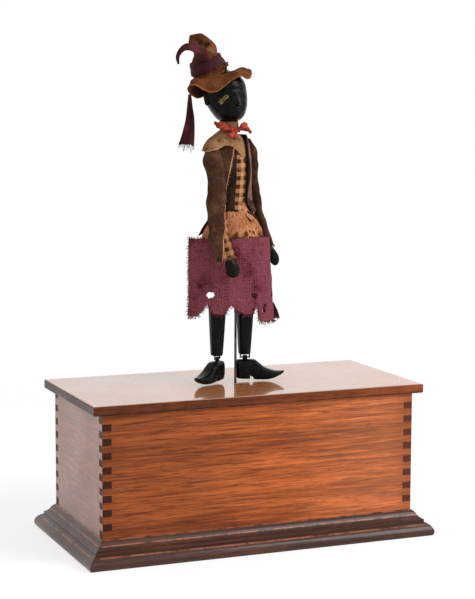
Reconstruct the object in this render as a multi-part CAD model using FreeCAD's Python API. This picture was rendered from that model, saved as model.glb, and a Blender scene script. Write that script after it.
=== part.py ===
import FreeCAD, Part
import math
import os

# A dancing figure on a rod above a wooden box that holds its clockwork.
# Millimetres. X runs along the box to the right, Y away from the viewer, Z up.
# The origin is the centre of the face that the plinth stands on.

# Box
CASE_LENGTH = 304.0
CASE_DEPTH = 143.0
CASE_HEIGHT = 143.0
BOARD_THICK = 8.7
LID_THICK = 8.7
LID_OVERHANG_SIDE = 9.0
LID_OVERHANG_FRONT = 4.8
LID_EDGE_ROUND = 1.6
BOARD_BOTTOM = 2.0
FINGER_HEIGHT = 6.35
FINGER_COUNT = 8
FIRST_FINGER_DROP = 8.3
FLOOR_THICK = 8.7
FLOOR_BOTTOM = 0.0
GLUE_BLOCK_LEG = 16.0
GLUE_BLOCK_HEIGHT = 45.0

# How far a cutting shape reaches past what it cuts
PAST = 1.0

# Plinth moulding, each size measured out from the wall of the box or up from the table
PLINTH_OUT = 17.0
PLINTH_HEIGHT = 23.2
PLINTH_NOSE_LOW = 2.0
PLINTH_NOSE_HIGH = 4.6
PLINTH_ARRIS = 1.2
PLINTH_ROUND_TOP = 11.8
PLINTH_ROUND_OUT = 10.6
PLINTH_LEDGE = 12.3
PLINTH_BEAD_OUT = 9.6
PLINTH_BEAD_TOP = 14.6
PLINTH_HOLLOW_OUT = 4.3
PLINTH_HOLLOW_TOP = 19.1
PLINTH_ROUND_MID_IN = 1.8
PLINTH_ROUND_MID_UP = 3.7
PLINTH_HOLLOW_MID_IN = 3.2
PLINTH_HOLLOW_MID_UP = 1.9
PLINTH_CROWN_MID_OUT = 2.55
PLINTH_CROWN_MID_UP = 2.4

# Clockwork frame
PLATE_THICK = 2.0
PLATE_GAP = 30.0
PLATE_LEFT = -76.0
PLATE_RIGHT = 40.0
PLATE_TOP = 100.0
PLATE_CHAMFER = 14.0
PILLAR_RADIUS = 3.0
PILLAR_INSET = 6.0
PILLAR_LOW = 22.0
FRAME_SCREW_RADIUS = 1.5
FRAME_SCREW_DEPTH = 3.0
FRAME_SCREW_HEAD_RADIUS = 3.0
FRAME_SCREW_HEAD_THICK = 1.6
SCREW_SLOT_WIDTH = 0.7
SCREW_SLOT_DEPTH = 0.7
BEARER_HEIGHT = 12.0
BEARER_DEPTH = 10.0
BEARER_INSET = 13.0
WOOD_SCREW_RADIUS = 1.4
WOOD_SCREW_HEAD_RADIUS = 2.8
WOOD_SCREW_HEAD_THICK = 1.4
WOOD_SCREW_LENGTH = 9.0
WOOD_SCREW_INSET = 20.0

# Train
GREAT_AXIS_X = -40.0
GREAT_AXIS_Z = 58.0
WHEEL_TEETH = 36
PINION_PINS = 6
GREAT_PINION_RADIUS = 5.0
SECOND_PINION_RADIUS = 3.5
SECOND_AXIS_DEG = 20.0
FLY_AXIS_DEG = -25.0
PIN_SHARE = 0.22
FLANK_CLEARANCE = 0.12
FLANK_STEPS = 3
FLANK_END_DEG = 10.5
ROOT_CLEARANCE = 0.5
WHEEL_THICK = 2.0
WHEEL_RIM = 4.5
WHEEL_HUB_RADIUS = 8.0
WHEEL_SPOKES = 4
SPOKE_WIDTH = 7.0
ARBOR_RADIUS = 1.6
FLY_ARBOR_RADIUS = 1.2
PIVOT_RADIUS = 1.0
GREAT_ARBOR_RADIUS = 3.0
GREAT_PIVOT_RADIUS = 2.2
RUNNING_CLEARANCE = 0.05
ARBOR_SHAKE = 0.3
SHROUD_THICK = 1.1
SHROUD_LIP = 0.8
SHROUD_GAP = 0.6
GREAT_WHEEL_BACK = 8.0
SECOND_WHEEL_BACK = 2.6
HALF_TURN_DEG = 180.0
RATCHET_TEETH = 12
RATCHET_RADIUS = 10.0
RATCHET_ROOT_RADIUS = 8.0
RATCHET_TOOTH = 2
CLICK_PIVOT_RADIUS = 18.0
CLICK_EYE_RADIUS = 2.6
CLICK_STUD_RADIUS = 1.0
CLICK_LEAD_DEG = 3.0
CLICK_NOSE_GAP = 0.55
CLICK_NOSE_WIDTH = 2.6
CLICK_NECK = 1.6
CLICK_TIP_LIFT = 1.0
CLICK_STUD_OUT = 0.5
CLICK_ANGLE_DEG = 90.0
TAPPER_TEETH = 5
TAPPER_RADIUS = 10.0
TAPPER_ROOT_RADIUS = 6.0
TAPPER_THICK = 3.0
TAPPER_TIP_SHARE = 0.06
TAPPER_ROOT_SHARE = 0.35
TAPPER_FIRST_DEG = 90.0
SPRING_HEIGHT = 11.0
SPRING_THICK = 0.6
SPRING_INNER_RADIUS = 5.2
SPRING_OUTER_RADIUS = 25.0
SPRING_TURNS = 5
SPRING_STEPS = 20
SPRING_FRONT = 2.0
SPRING_POST_DEG = 205.0
SPRING_POST_RADIUS = 2.0
FLY_SPAN = 26.0
FLY_WIDTH = 15.0
FLY_VANE_THICK = 0.8
FLY_HUB_RADIUS = 2.6
FLY_FRONT = 4.0
BRAKE_DISC_RADIUS = 5.0
BRAKE_DISC_THICK = 1.6

# Key, its hole and its plate
KEY_SQUARE = 3.6
KEY_SQUARE_LENGTH = 12.0
KEY_STEM_RADIUS = 4.2
KEY_STEM_LENGTH = 17.0
KEY_WING_RADIUS = 8.0
KEY_WING_SPREAD = 10.0
KEY_WING_THICK = 2.4
KEY_WING_HOLE_RADIUS = 3.6
KEY_STANDOFF = 1.2
KEY_HOLE_RADIUS = 4.5
KEY_PLATE_RADIUS = 11.0
KEY_PLATE_THICK = 1.2

# Rocker and stop lever
ROCKER_AXIS_X = 22.0
ROCKER_THICK = 3.0
ROCKER_WIDTH = 4.0
ROCKER_EYE_RADIUS = 4.2
ROCKER_TAIL = 13.0
TAP_CLEARANCE = 0.35
STOP_AXIS_X = 30.0
STOP_AXIS_Z = 38.0
STOP_LEVER_THICK = 1.6
STOP_EYE_RADIUS = 4.0
STOP_PAD_GAP = 0.3
STOP_PAD_WIDTH = 5.0
STOP_PAD_HEIGHT = 7.0
STOP_HANDLE_X = 52.0
STOP_HANDLE_Z = 48.0
STOP_HANDLE_RADIUS = 1.6
STOP_HANDLE_OUT = 12.0
STOP_KNOB_RADIUS = 3.2
STOP_RANGE_DEG = 8.0
STOP_SLOT_MARGIN = 1.2
STOP_ARM_HALF = 3.0
STOP_BOSS_RADIUS = 3.5
STOP_PAD_FOOT = 1.0

# Rod, and how the figure stands on it
ROD_X = 0.6
ROD_Y = -5.0
ROD_RADIUS = 1.15
ROD_TOP = 340.0
ROD_REST_GAP = 0.3
ROD_HOLE_RADIUS = 1.9
GUIDE_PLATE_LENGTH = 34.0
GUIDE_PLATE_WIDTH = 16.0
GUIDE_PLATE_THICK = 1.6
GUIDE_BOSS_RADIUS = 4.5
GUIDE_BOSS_LENGTH = 12.0
GUIDE_SCREW_INSET = 3.8
SHOE_CLEARANCE = 1.3

# Figure. Its heights here are those over a lid whose top is at FIGURE_DATUM, and it rises with the real lid
FIGURE_DATUM = 143.0
BODY_X = -1.7
BODY_Y = -3.0
HIP_Z = 284.0
NECK_Z = 378.0
LEAN = 3.5
HEAD_BOTTOM = 386.0
HEAD_HEIGHT = 46.5
HEAD_WIDTH = 39.5
HEAD_DEPTH = 41.0
HEAD_SHIFT = -1.6
HEAD_TURN_DEG = 8.0
RING_SIDES = 20
CLOTH = 0.9
CLOTH_GAP = 0.3
LEG_SPREAD = 14.0
LEG_Y = 0.0
LEG_SIDES = 16
THIGH_TOP = 274.0
THIGH_END = 232.8
THIGH_TOP_RADIUS = 8.6
KNEE_RADIUS = 8.2
KNEE_Z = 228.4
SHIN_TOP = 222.6
SHIN_END = 168.6
SHIN_END_RADIUS = 5.7
TONGUE_WIDTH = 5.6
TONGUE_CLEARANCE = 0.3
TONGUE_RADIUS = 5.0
HIP_WIRE_RADIUS = 1.1
PIN_CLEARANCE = 0.06
ANKLE_Z = 165.6
STAPLE_RADIUS = 0.7
STAPLE_DEPTH = 9.0
KNEE_STAPLE_SPAN = 7.0
ANKLE_STAPLE_SPAN = 8.6
EYE_WIDTH_GAP = 0.35
EYE_RADIUS = 1.9
EYE_THICK = 3.0
SHOULDER_WIRE_RADIUS = 1.0
RIGHT_SHOULDER = (-25.2, -7.0, 357.0)
LEFT_SHOULDER = (18.0, -1.0, 359.0)
# How far each shoulder wire rises and how far it runs back, going outwards
RIGHT_ARM_AIM = (0.0, 0.0)
LEFT_ARM_AIM = (9.4, 12.0)
SHOULDER_WIRE_IN = 15.0
SHOULDER_WIRE_OUT = 3.0
SLOT_DROP = 20.0
SLOT_REACH = 40.0
SLOT_ROOF_GAP = 1.0
LIMB_EDGE = 1.0
THIGH_FOOT_ROUND = 1.2
THIGH_TOP_ROUND = 2.0
SHIN_END_EDGE = 0.8
SHIN_FOOT_ROUND = 1.4
SHIN_TOP_EDGE = 1.6
SHIN_TOP_ROUND = 2.0
EYE_SINK = 1.0
CLOG_EYE_SINK = 4.0
ARM_BORE_REACH = 8.0
SLEEVE_BORE_REACH = 12.0
SLEEVE_BORE_GAP = 0.8
CUFF_LIP = 0.2
HAND_SIDES = 10
SLEEVE_SIDES = 14

# Clothes
END_LIP = 0.01
FELT = 1.3
BAND_GAP = 0.5
BOW_THICK = 1.3
BUTTON_RADIUS = 1.7
BUTTON_THICK = 1.1
BUTTON_PLACES = [(7.0, 351.0), (6.2, 314.0)]
COAT_LEFT_HIGH = -5.0
COAT_LEFT_LOW = -14.0
COAT_SLANT_LOW_Z = 316.0
COAT_SLANT_HIGH_Z = 364.0
COAT_RIGHT = 9.6
COAT_LEVELS = [303.0, 312.0, 335.0, 353.0, 365.0, 371.5, 374.0]
COAT_TAIL_FRONT_Y = 0.0
LINING_LOW = 302.0
LINING_HIGH = 352.0
LINING_TUCK = 1.0
STRIP_LEFT = -3.2
STRIP_RIGHT = 8.8
STRIP_TOP = 358.4
STRIP_SIDE_Y = -5.0
SHIRT_LOW = 358.7
SHIRT_HIGH = 374.0
SHIRT_LEFT = -5.2
SHIRT_RIGHT = 10.3
COLLAR_LEVELS = [(379.0, 8.6), (383.0, 8.4), (385.7, 9.0)]
CAPE_SHOULDER_DEG = 190.0
CAPE_ANGLES = [104.0, 120.0, 136.0, 152.0, 168.0, 180.0, 192.0, 206.0, 222.0, 238.0, 254.0, 268.0]
# The cape's rows from the neck out: radius and height, what the shoulder adds to each, and Y's share
CAPE_ROWS = [(8.0, 378.0, 0.0, 0.0, 1.0), (11.6, 375.4, 0.0, 0.0, 0.95), (14.6, 371.6, 1.4, 0.4, 0.93),
             (15.9, 367.2, 8.2, -0.4, 0.86), (16.6, 363.0, 11.2, -4.2, 0.80)]
# Level rings of the coat's tail and of the shirt's tail: height, half width and half depth
COAT_TAIL_RINGS = [(302.6, 18.6, 14.8), (296.0, 23.8, 17.6), (288.0, 29.6, 20.6), (281.6, 33.6, 22.6)]
WAIST_RINGS = [(302.6, 16.4, 13.2), (295.0, 21.9, 16.0), (287.0, 27.6, 18.4), (277.0, 31.4, 20.2)]
SKIRTING_SIDES = 24
SKIRT_TOP = 281.0
SKIRT_ROWS = 4
SKIRT_FOLDS = 3.5
SKIRT_FOLD_DEPTH = 1.3
SKIRT_FLARE_LEFT = 0.5
SKIRT_FLARE_RIGHT = 7.5
SKIRT_HOLES = [(-30.6, 228.2, 3.2), (20.2, 213.0, 1.2)]
ARM_EYE_RADIUS = 2.3
ARM_EYE_HALF = 2.0

# The curled ribbon end: its middle line, half width and lean; the hanging end: X, Z and half width
CURL_PATH = [
    (-33.6, -12.2, 440.8, 4.3, -0.45), (-35.3, -12.9, 443.4, 4.5, -0.3), (-38.8, -14.4, 447.7, 4.6, 0.1),
    (-42.7, -15.0, 451.0, 4.4, 0.4), (-47.3, -15.2, 452.7, 3.7, 0.55), (-52.7, -15.0, 452.6, 2.8, 0.6),
    (-56.6, -14.6, 450.2, 2.1, 0.6), (-59.2, -14.0, 446.4, 1.7, 0.6), (-59.8, -13.2, 442.6, 1.3, 0.6),
    (-58.8, -12.6, 437.5, 0.7, 0.6)]
TEAR_PLACE = (-21.0, 2.0, 453.0)
TEAR_HALF_X = 6.4
TEAR_HALF_Z = 3.4
TEAR_UP_DEG = 12.0
TEAR_TURN_DEG = 22.0
TEAR_SIDES = 10
TEAR_REACH = 40.0
BRIM_X = -11.5
BRIM_MIDDLE_SHARE = 0.6
BAND_EDGE_SHARE = 0.04
TAIL_PATH = [(-41.5, 410.6, 0.9), (-41.4, 400.0, 2.4), (-41.2, 389.0, 3.9), (-42.6, 377.0, 5.6),
             (-44.8, 365.0, 7.3)]

# The hanging end's crosswise fold: how far along its half width, Y, and how far it drops
TAIL_FOLD = [(-1.0, 5.0, 0.0), (-0.3, 3.4, 0.0), (0.3, 4.8, 0.0), (1.0, 3.6, 0.2)]

# Bow: places with a half width in X or a half height in Z
BOW_SIDES = 8
BOW_LEFT = [(-6.0, -14.6, 378.2, 0.0, 1.8), (-10.0, -14.2, 379.4, 0.0, 3.2),
            (-15.4, -12.6, 380.8, 0.0, 3.7), (-20.4, -10.6, 382.2, 0.0, 3.0)]
BOW_RIGHT = [(-3.0, -14.6, 378.4, 0.0, 1.8), (2.4, -13.6, 379.6, 0.0, 3.2), (8.0, -11.6, 381.0, 0.0, 4.5),
             (13.4, -9.6, 379.4, 0.0, 2.8)]
BOW_FALL = [(-6.0, -15.6, 377.4, 2.6, 0.0), (-8.1, -17.9, 374.4, 4.2, 0.0), (-8.0, -19.5, 371.6, 3.6, 0.0)]
BOW_KNOT = [(-5.0, -16.0, 375.8, 1.6, 0.0), (-4.8, -15.5, 377.4, 2.8, 0.0), (-4.6, -14.8, 379.4, 2.8, 0.0),
            (-4.6, -14.6, 381.0, 1.6, 0.0)]

# Head, in shares of its height: half width and depth shares, and how far its face stands out
HEAD_LEVELS = [
    (0.0, 0.38, 0.40, 0.00), (0.054, 0.56, 0.64, 0.03), (0.14, 0.72, 0.78, 0.05), (0.275, 0.88, 0.92, 0.04),
    (0.424, 0.97, 0.99, 0.02), (0.583, 1.0, 1.0, 0.0), (0.731, 0.97, 0.97, 0.0), (0.85, 0.84, 0.84, 0.0),
    (0.946, 0.58, 0.58, 0.0), (1.0, 0.28, 0.28, 0.0)]
HEAD_SHIFT_SHARE = 3.0
NOSE_LOW_SHARE = 0.37
NOSE_HIGH_SHARE = 0.58
NOSE_HALF_LOW = 3.0
NOSE_HALF_HIGH = 1.2
NOSE_SINK_LOW = 2.5
NOSE_SINK_HIGH = 1.5
NOSE_OUT = 2.4
NOSE_TIP_UP = 1.6

# Clogs: where the toes point, counted from +X towards +Y, and how far the wire is from the back
SHOE_RIGHT_DEG = 216.0
SHOE_LEFT_DEG = -17.0
SHOE_RIGHT_BACK = 7.4
SHOE_LEFT_BACK = 9.3
SHOE_FRONT = 37.0
SHOE_TOP = 19.2
SHOE_HEEL_FRONT = 4.6
SHOE_NOTCH = 3.8
SHOE_NOTCH_BACK = 0.9
SHOE_NOTCH_SLOPE = 0.7
SHOE_EDGE = 2.0
SHOE_EDGE_SHARE = 0.3
SHOE_INSET = 1.9
SHOE_INSET_SHARE = 0.35
SHOE_UPPER_SHARE = 0.94
SHOE_CREST_SHARE = 0.6
# The clog from its wire to its toe: how far along, half width, underside and top
SHOE_STATIONS = [
    (SHOE_HEEL_FRONT, 5.9, 0.8, SHOE_TOP), (10.2, 6.1, 0.2, 18.8), (14.2, 6.5, 0.0, 15.3),
    (19.0, 6.8, 0.0, 11.4), (24.0, 6.5, 0.6, 9.4), (30.0, 5.2, 2.6, 7.9), (34.5, 3.3, 4.9, 7.9),
    (SHOE_FRONT, 1.2, 6.9, 8.3)]
# The clog's heel, counted forwards from its back: how far along, half width, underside and top
SHOE_HEEL_STATIONS = [(0.0, 2.8, 5.5, 17.8), (1.2, 4.7, 2.0, 19.0), (3.4, 5.8, 1.0, SHOE_TOP)]

RIGHT_HIP_X = BODY_X - LEG_SPREAD
LEFT_HIP_X = BODY_X + LEG_SPREAD
CASE_HALF = CASE_LENGTH / 2
DEPTH_HALF = CASE_DEPTH / 2
INNER_HALF = CASE_HALF - BOARD_THICK
INNER_DEPTH = DEPTH_HALF - BOARD_THICK
BOARD_TOP = CASE_HEIGHT - LID_THICK
FLOOR_TOP = FLOOR_BOTTOM + FLOOR_THICK
FRONT_PLATE_INNER = -PLATE_GAP / 2
BACK_PLATE_INNER = PLATE_GAP / 2
GREAT_RADIUS = GREAT_PINION_RADIUS * WHEEL_TEETH / PINION_PINS
SECOND_RADIUS = SECOND_PINION_RADIUS * WHEEL_TEETH / PINION_PINS
SECOND_DISTANCE = GREAT_RADIUS + GREAT_PINION_RADIUS
FLY_DISTANCE = SECOND_RADIUS + SECOND_PINION_RADIUS
SECOND_AXIS_X = GREAT_AXIS_X + SECOND_DISTANCE * math.cos(math.radians(SECOND_AXIS_DEG))
SECOND_AXIS_Z = GREAT_AXIS_Z + SECOND_DISTANCE * math.sin(math.radians(SECOND_AXIS_DEG))
FLY_AXIS_X = SECOND_AXIS_X + FLY_DISTANCE * math.cos(math.radians(FLY_AXIS_DEG))
FLY_AXIS_Z = SECOND_AXIS_Z + FLY_DISTANCE * math.sin(math.radians(FLY_AXIS_DEG))
GREAT_WHEEL_Y = BACK_PLATE_INNER - GREAT_WHEEL_BACK - WHEEL_THICK
SECOND_WHEEL_Y = BACK_PLATE_INNER - SECOND_WHEEL_BACK - WHEEL_THICK
RATCHET_Y = GREAT_WHEEL_Y - WHEEL_THICK - CLOTH_GAP
ROCKER_BOTTOM = SECOND_AXIS_Z + TAPPER_RADIUS + TAP_CLEARANCE
ROCKER_AXIS_Z = ROCKER_BOTTOM + ROCKER_THICK / 2
ROD_FOOT = ROCKER_BOTTOM + ROCKER_THICK + ROD_REST_GAP
FIGURE_RISE = CASE_HEIGHT - FIGURE_DATUM
SHOE_BOTTOM = FIGURE_DATUM + SHOE_CLEARANCE


def vec(x, y, z):
    return FreeCAD.Vector(x, y, z)


def box(x0, x1, y0, y1, z0, z1):
    return Part.makeBox(x1 - x0, y1 - y0, z1 - z0, vec(x0, y0, z0))


def cylinder_y(radius, x, z, y0, y1):
    return Part.makeCylinder(radius, y1 - y0, vec(x, y0, z), vec(0, 1, 0))


def cylinder_z(radius, x, y, z0, z1):
    return Part.makeCylinder(radius, z1 - z0, vec(x, y, z0), vec(0, 0, 1))


def cylinder_between(radius, start, end):
    run = end.sub(start)
    return Part.makeCylinder(radius, run.Length, start, run)


def polar(x, z, radius, degrees):
    """A point of an XZ outline, at an angle counted from +X towards +Z."""
    turn = math.radians(degrees)
    return (x + radius * math.cos(turn), z + radius * math.sin(turn))


def slab_y(outline, y0, y1):
    """A flat piece with an outline in X and Z, from y0 to y1."""
    points = [vec(x, y0, z) for x, z in outline]
    face = Part.Face(Part.makePolygon(points + points[:1]))
    return face.extrude(vec(0, y1 - y0, 0))


def arc(start, middle, end):
    return Part.Arc(start, middle, end).toShape()


def line(start, end):
    return Part.makeLine(start, end)


def shell_solid(faces):
    """A closed solid from triangles that share their corners."""
    shell = Part.makeShell(faces)
    shell.sewShape()
    solid = Part.Solid(shell)
    if solid.Volume < 0:
        solid.reverse()
    return solid


def triangle(a, b, c):
    return Part.Face(Part.makePolygon([a, b, c, a]))


def skin(rings):
    """A solid through rings of as many points each, closed by a fan at each end."""
    faces = []
    for low, high in zip(rings, rings[1:]):
        count = len(low)
        for i in range(count):
            j = (i + 1) % count
            faces.append(triangle(low[i], low[j], high[j]))
            faces.append(triangle(low[i], high[j], high[i]))
    for ring in (rings[0], rings[-1]):
        centre = vec(0, 0, 0)
        for point in ring:
            centre = centre.add(point)
        centre = centre.multiply(1.0 / len(ring))
        for i in range(len(ring)):
            faces.append(triangle(ring[i], ring[(i + 1) % len(ring)], centre))
    return shell_solid(faces)


def oval(x, y, z, half_x, half_y, sides=RING_SIDES):
    """A level oval ring."""
    turns = [2 * math.pi * i / sides for i in range(sides)]
    return [vec(x + half_x * math.cos(t), y + half_y * math.sin(t), z) for t in turns]


def sheet(rows, thick):
    """A cloth-like solid through rows of points, half its thickness to each side."""
    last_row = len(rows) - 1
    last_col = len(rows[0]) - 1
    front = []
    back = []
    for i, row in enumerate(rows):
        front_row = []
        back_row = []
        for j, point in enumerate(row):
            along = row[min(j + 1, last_col)].sub(row[max(j - 1, 0)])
            across = rows[min(i + 1, last_row)][j].sub(rows[max(i - 1, 0)][j])
            normal = along.cross(across).normalize()
            front_row.append(point.add(normal * (thick / 2)))
            back_row.append(point.sub(normal * (thick / 2)))
        front.append(front_row)
        back.append(back_row)
    faces = []

    def patch(a, b, c, d):
        faces.append(triangle(a, b, c))
        faces.append(triangle(a, c, d))

    for side in (front, back):
        for i in range(last_row):
            for j in range(last_col):
                patch(side[i][j], side[i][j + 1], side[i + 1][j + 1], side[i + 1][j])
    for j in range(last_col):
        for i in (0, last_row):
            patch(front[i][j], front[i][j + 1], back[i][j + 1], back[i][j])
    for i in range(last_row):
        for j in (0, last_col):
            patch(front[i][j], front[i + 1][j], back[i + 1][j], back[i][j])
    return shell_solid(faces)


def spine_x(z):
    """The middle of the figure at a height: it leans more towards the head."""
    rise = (z - HIP_Z) / (NECK_Z - HIP_Z)
    return BODY_X - LEAN * max(rise, 0.0) ** 2


def finger_levels():
    """The lowest and highest level of each finger of the side boards."""
    top = BOARD_TOP - FIRST_FINGER_DROP
    return [(top - 2 * FINGER_HEIGHT * i - FINGER_HEIGHT, top - 2 * FINGER_HEIGHT * i)
            for i in range(FINGER_COUNT)]


def long_board(y0, y1):
    """The front or back board, notched at both ends for the side boards' fingers."""
    board = box(-CASE_HALF, CASE_HALF, y0, y1, BOARD_BOTTOM, BOARD_TOP)
    notches = []
    for low, high in finger_levels():
        notches.append(box(-CASE_HALF, -INNER_HALF, y0, y1, low, high))
        notches.append(box(INNER_HALF, CASE_HALF, y0, y1, low, high))
    return board.cut(notches)


def side_board(x0, x1):
    """A side board with its fingers through the front and back boards."""
    board = box(x0, x1, -INNER_DEPTH, INNER_DEPTH, BOARD_BOTTOM, BOARD_TOP)
    fingers = [box(x0, x1, -DEPTH_HALF, DEPTH_HALF, low, high) for low, high in finger_levels()]
    return board.fuse(fingers).removeSplitter()


def lid():
    """The overhanging top, rounded along its edges, with a hole for the rod."""
    reach_x = CASE_HALF + LID_OVERHANG_SIDE
    reach_y = DEPTH_HALF + LID_OVERHANG_FRONT
    board = box(-reach_x, reach_x, -reach_y, reach_y, BOARD_TOP, CASE_HEIGHT)
    level_edges = [edge for edge in board.Edges if edge.BoundBox.ZLength < LID_EDGE_ROUND]
    board = board.makeFillet(LID_EDGE_ROUND, level_edges)
    return board.cut(cylinder_z(ROD_HOLE_RADIUS, ROD_X, ROD_Y, BOARD_TOP, CASE_HEIGHT))


def plinth_wire(place):
    """The moulding's section; place puts a distance from the wall and a height in space."""
    foot = place(PLINTH_OUT - PLINTH_ARRIS, 0)
    nose_low = place(PLINTH_OUT, PLINTH_NOSE_LOW)
    nose_high = place(PLINTH_OUT, PLINTH_NOSE_HIGH)
    round_mid = place(PLINTH_OUT - PLINTH_ROUND_MID_IN, PLINTH_NOSE_HIGH + PLINTH_ROUND_MID_UP)
    round_top = place(PLINTH_ROUND_OUT, PLINTH_ROUND_TOP)
    ledge = place(PLINTH_BEAD_OUT, PLINTH_LEDGE)
    bead = place(PLINTH_BEAD_OUT, PLINTH_BEAD_TOP)
    hollow_mid = place(PLINTH_BEAD_OUT - PLINTH_HOLLOW_MID_IN, PLINTH_BEAD_TOP + PLINTH_HOLLOW_MID_UP)
    hollow_top = place(PLINTH_HOLLOW_OUT, PLINTH_HOLLOW_TOP)
    crown_mid = place(PLINTH_CROWN_MID_OUT, PLINTH_HOLLOW_TOP + PLINTH_CROWN_MID_UP)
    wall_top = place(0, PLINTH_HEIGHT)
    wall_foot = place(0, 0)
    edges = [line(wall_foot, foot), line(foot, nose_low), line(nose_low, nose_high),
             arc(nose_high, round_mid, round_top), line(round_top, ledge), line(ledge, bead),
             arc(bead, hollow_mid, hollow_top), arc(hollow_top, crown_mid, wall_top),
             line(wall_top, wall_foot)]
    return Part.Wire(edges)


def plinth_strip(along_x, side):
    """One mitred length of moulding along a wall; side is -1 or 1."""
    if along_x:
        half = CASE_HALF + PLINTH_OUT
        wire = plinth_wire(lambda out, z: vec(-half, side * (DEPTH_HALF + out), z))
        run = vec(2 * half, 0, 0)
    else:
        half = DEPTH_HALF + PLINTH_OUT
        wire = plinth_wire(lambda out, z: vec(side * (CASE_HALF + out), -half, z))
        run = vec(0, 2 * half, 0)
    strip = Part.Face(wire).extrude(run)
    for end in (-1, 1):
        inner = (end * CASE_HALF, side * DEPTH_HALF) if along_x else (side * CASE_HALF, end * DEPTH_HALF)
        outer = (inner[0] + math.copysign(2 * PLINTH_OUT, inner[0]),
                 inner[1] + math.copysign(2 * PLINTH_OUT, inner[1]))
        past = (outer[0], inner[1]) if along_x else (inner[0], outer[1])
        corners = [vec(x, y, -PAST) for x, y in (inner, outer, past)]
        mitre = Part.Face(Part.makePolygon(corners + corners[:1]))
        mitre = mitre.extrude(vec(0, 0, PLINTH_HEIGHT + 2 * PAST))
        strip = strip.cut(mitre)
    return strip


def glue_blocks():
    """Three-cornered blocks glued into the corners under the lid."""
    blocks = []
    for sx in (-1, 1):
        for sy in (-1, 1):
            corner = (sx * INNER_HALF, sy * INNER_DEPTH)
            points = [vec(corner[0], corner[1], BOARD_TOP - GLUE_BLOCK_HEIGHT),
                      vec(corner[0] - sx * GLUE_BLOCK_LEG, corner[1], BOARD_TOP - GLUE_BLOCK_HEIGHT),
                      vec(corner[0], corner[1] - sy * GLUE_BLOCK_LEG, BOARD_TOP - GLUE_BLOCK_HEIGHT)]
            face = Part.Face(Part.makePolygon(points + points[:1]))
            blocks.append(face.extrude(vec(0, 0, GLUE_BLOCK_HEIGHT)))
    return blocks


def pillar_places():
    """The frame's pillars, in X and Z."""
    top = PLATE_TOP - PILLAR_INSET
    return [(PLATE_LEFT + PILLAR_INSET, PILLAR_LOW), (PLATE_RIGHT - PILLAR_INSET, PILLAR_LOW),
            (PLATE_LEFT + PILLAR_INSET, top - PLATE_CHAMFER), (PLATE_RIGHT - PILLAR_INSET, top)]


def plate_outline():
    """A movement plate standing on the floor, its top left corner cut off."""
    return [(PLATE_LEFT, FLOOR_TOP), (PLATE_RIGHT, FLOOR_TOP), (PLATE_RIGHT, PLATE_TOP),
            (PLATE_LEFT + PLATE_CHAMFER, PLATE_TOP), (PLATE_LEFT, PLATE_TOP - PLATE_CHAMFER)]


def bearer_screw_places():
    """Where each plate is screwed to its bearer, in X, at half the bearer's height."""
    z = FLOOR_TOP + BEARER_HEIGHT / 2
    return [(PLATE_LEFT + WOOD_SCREW_INSET, z), (PLATE_RIGHT - WOOD_SCREW_INSET, z)]


def plate(y0, y1):
    """A brass plate with the pivot holes and the screw holes."""
    body = slab_y(plate_outline(), y0, y1)
    great_hole = GREAT_PIVOT_RADIUS + RUNNING_CLEARANCE
    small_hole = PIVOT_RADIUS + RUNNING_CLEARANCE
    holes = [cylinder_y(great_hole, GREAT_AXIS_X, GREAT_AXIS_Z, y0, y1),
             cylinder_y(small_hole, SECOND_AXIS_X, SECOND_AXIS_Z, y0, y1),
             cylinder_y(small_hole, FLY_AXIS_X, FLY_AXIS_Z, y0, y1),
             cylinder_y(small_hole, ROCKER_AXIS_X, ROCKER_AXIS_Z, y0, y1)]
    for x, z in pillar_places():
        holes.append(cylinder_y(FRAME_SCREW_RADIUS, x, z, y0, y1))
    for x, z in bearer_screw_places():
        holes.append(cylinder_y(WOOD_SCREW_RADIUS, x, z, y0, y1))
    return body.cut(holes)


def spring_post_place():
    return polar(GREAT_AXIS_X, GREAT_AXIS_Z, SPRING_OUTER_RADIUS + SPRING_THICK + SPRING_POST_RADIUS,
                 SPRING_POST_DEG)


def plate_pillars():
    """Round pillars between the plates, and the post that holds the spring's outer end."""
    pillars = []
    for x, z in pillar_places():
        pillar = cylinder_y(PILLAR_RADIUS, x, z, FRONT_PLATE_INNER, BACK_PLATE_INNER)
        bores = [cylinder_y(FRAME_SCREW_RADIUS, x, z, FRONT_PLATE_INNER,
                            FRONT_PLATE_INNER + FRAME_SCREW_DEPTH),
                 cylinder_y(FRAME_SCREW_RADIUS, x, z, BACK_PLATE_INNER - FRAME_SCREW_DEPTH,
                            BACK_PLATE_INNER)]
        pillars.append(pillar.cut(bores))
    x, z = spring_post_place()
    pillars.append(cylinder_y(SPRING_POST_RADIUS, x, z, FRONT_PLATE_INNER,
                              FRONT_PLATE_INNER + SPRING_FRONT + SPRING_HEIGHT))
    return pillars


def screw_y(x, z, face_y, out, shank_radius, length, head_radius, head_thick):
    """A slotted screw along Y; out is the side that its head stands on, -1 or 1."""
    head_end = face_y + out * head_thick
    head = cylinder_y(head_radius, x, z, min(face_y, head_end), max(face_y, head_end))
    tip = face_y - out * length
    shank = cylinder_y(shank_radius, x, z, min(face_y, tip), max(face_y, tip))
    slot_floor = head_end - out * SCREW_SLOT_DEPTH
    slot = box(x - head_radius, x + head_radius, min(slot_floor, head_end), max(slot_floor, head_end),
               z - SCREW_SLOT_WIDTH / 2, z + SCREW_SLOT_WIDTH / 2)
    return head.fuse(shank).removeSplitter().cut(slot)


def plate_screws():
    screws = []
    front = FRONT_PLATE_INNER - PLATE_THICK
    back = BACK_PLATE_INNER + PLATE_THICK
    length = PLATE_THICK + FRAME_SCREW_DEPTH
    for x, z in pillar_places():
        for face_y, out in ((front, -1), (back, 1)):
            screws.append(screw_y(x, z, face_y, out, FRAME_SCREW_RADIUS, length,
                                  FRAME_SCREW_HEAD_RADIUS, FRAME_SCREW_HEAD_THICK))
    return screws


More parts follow.
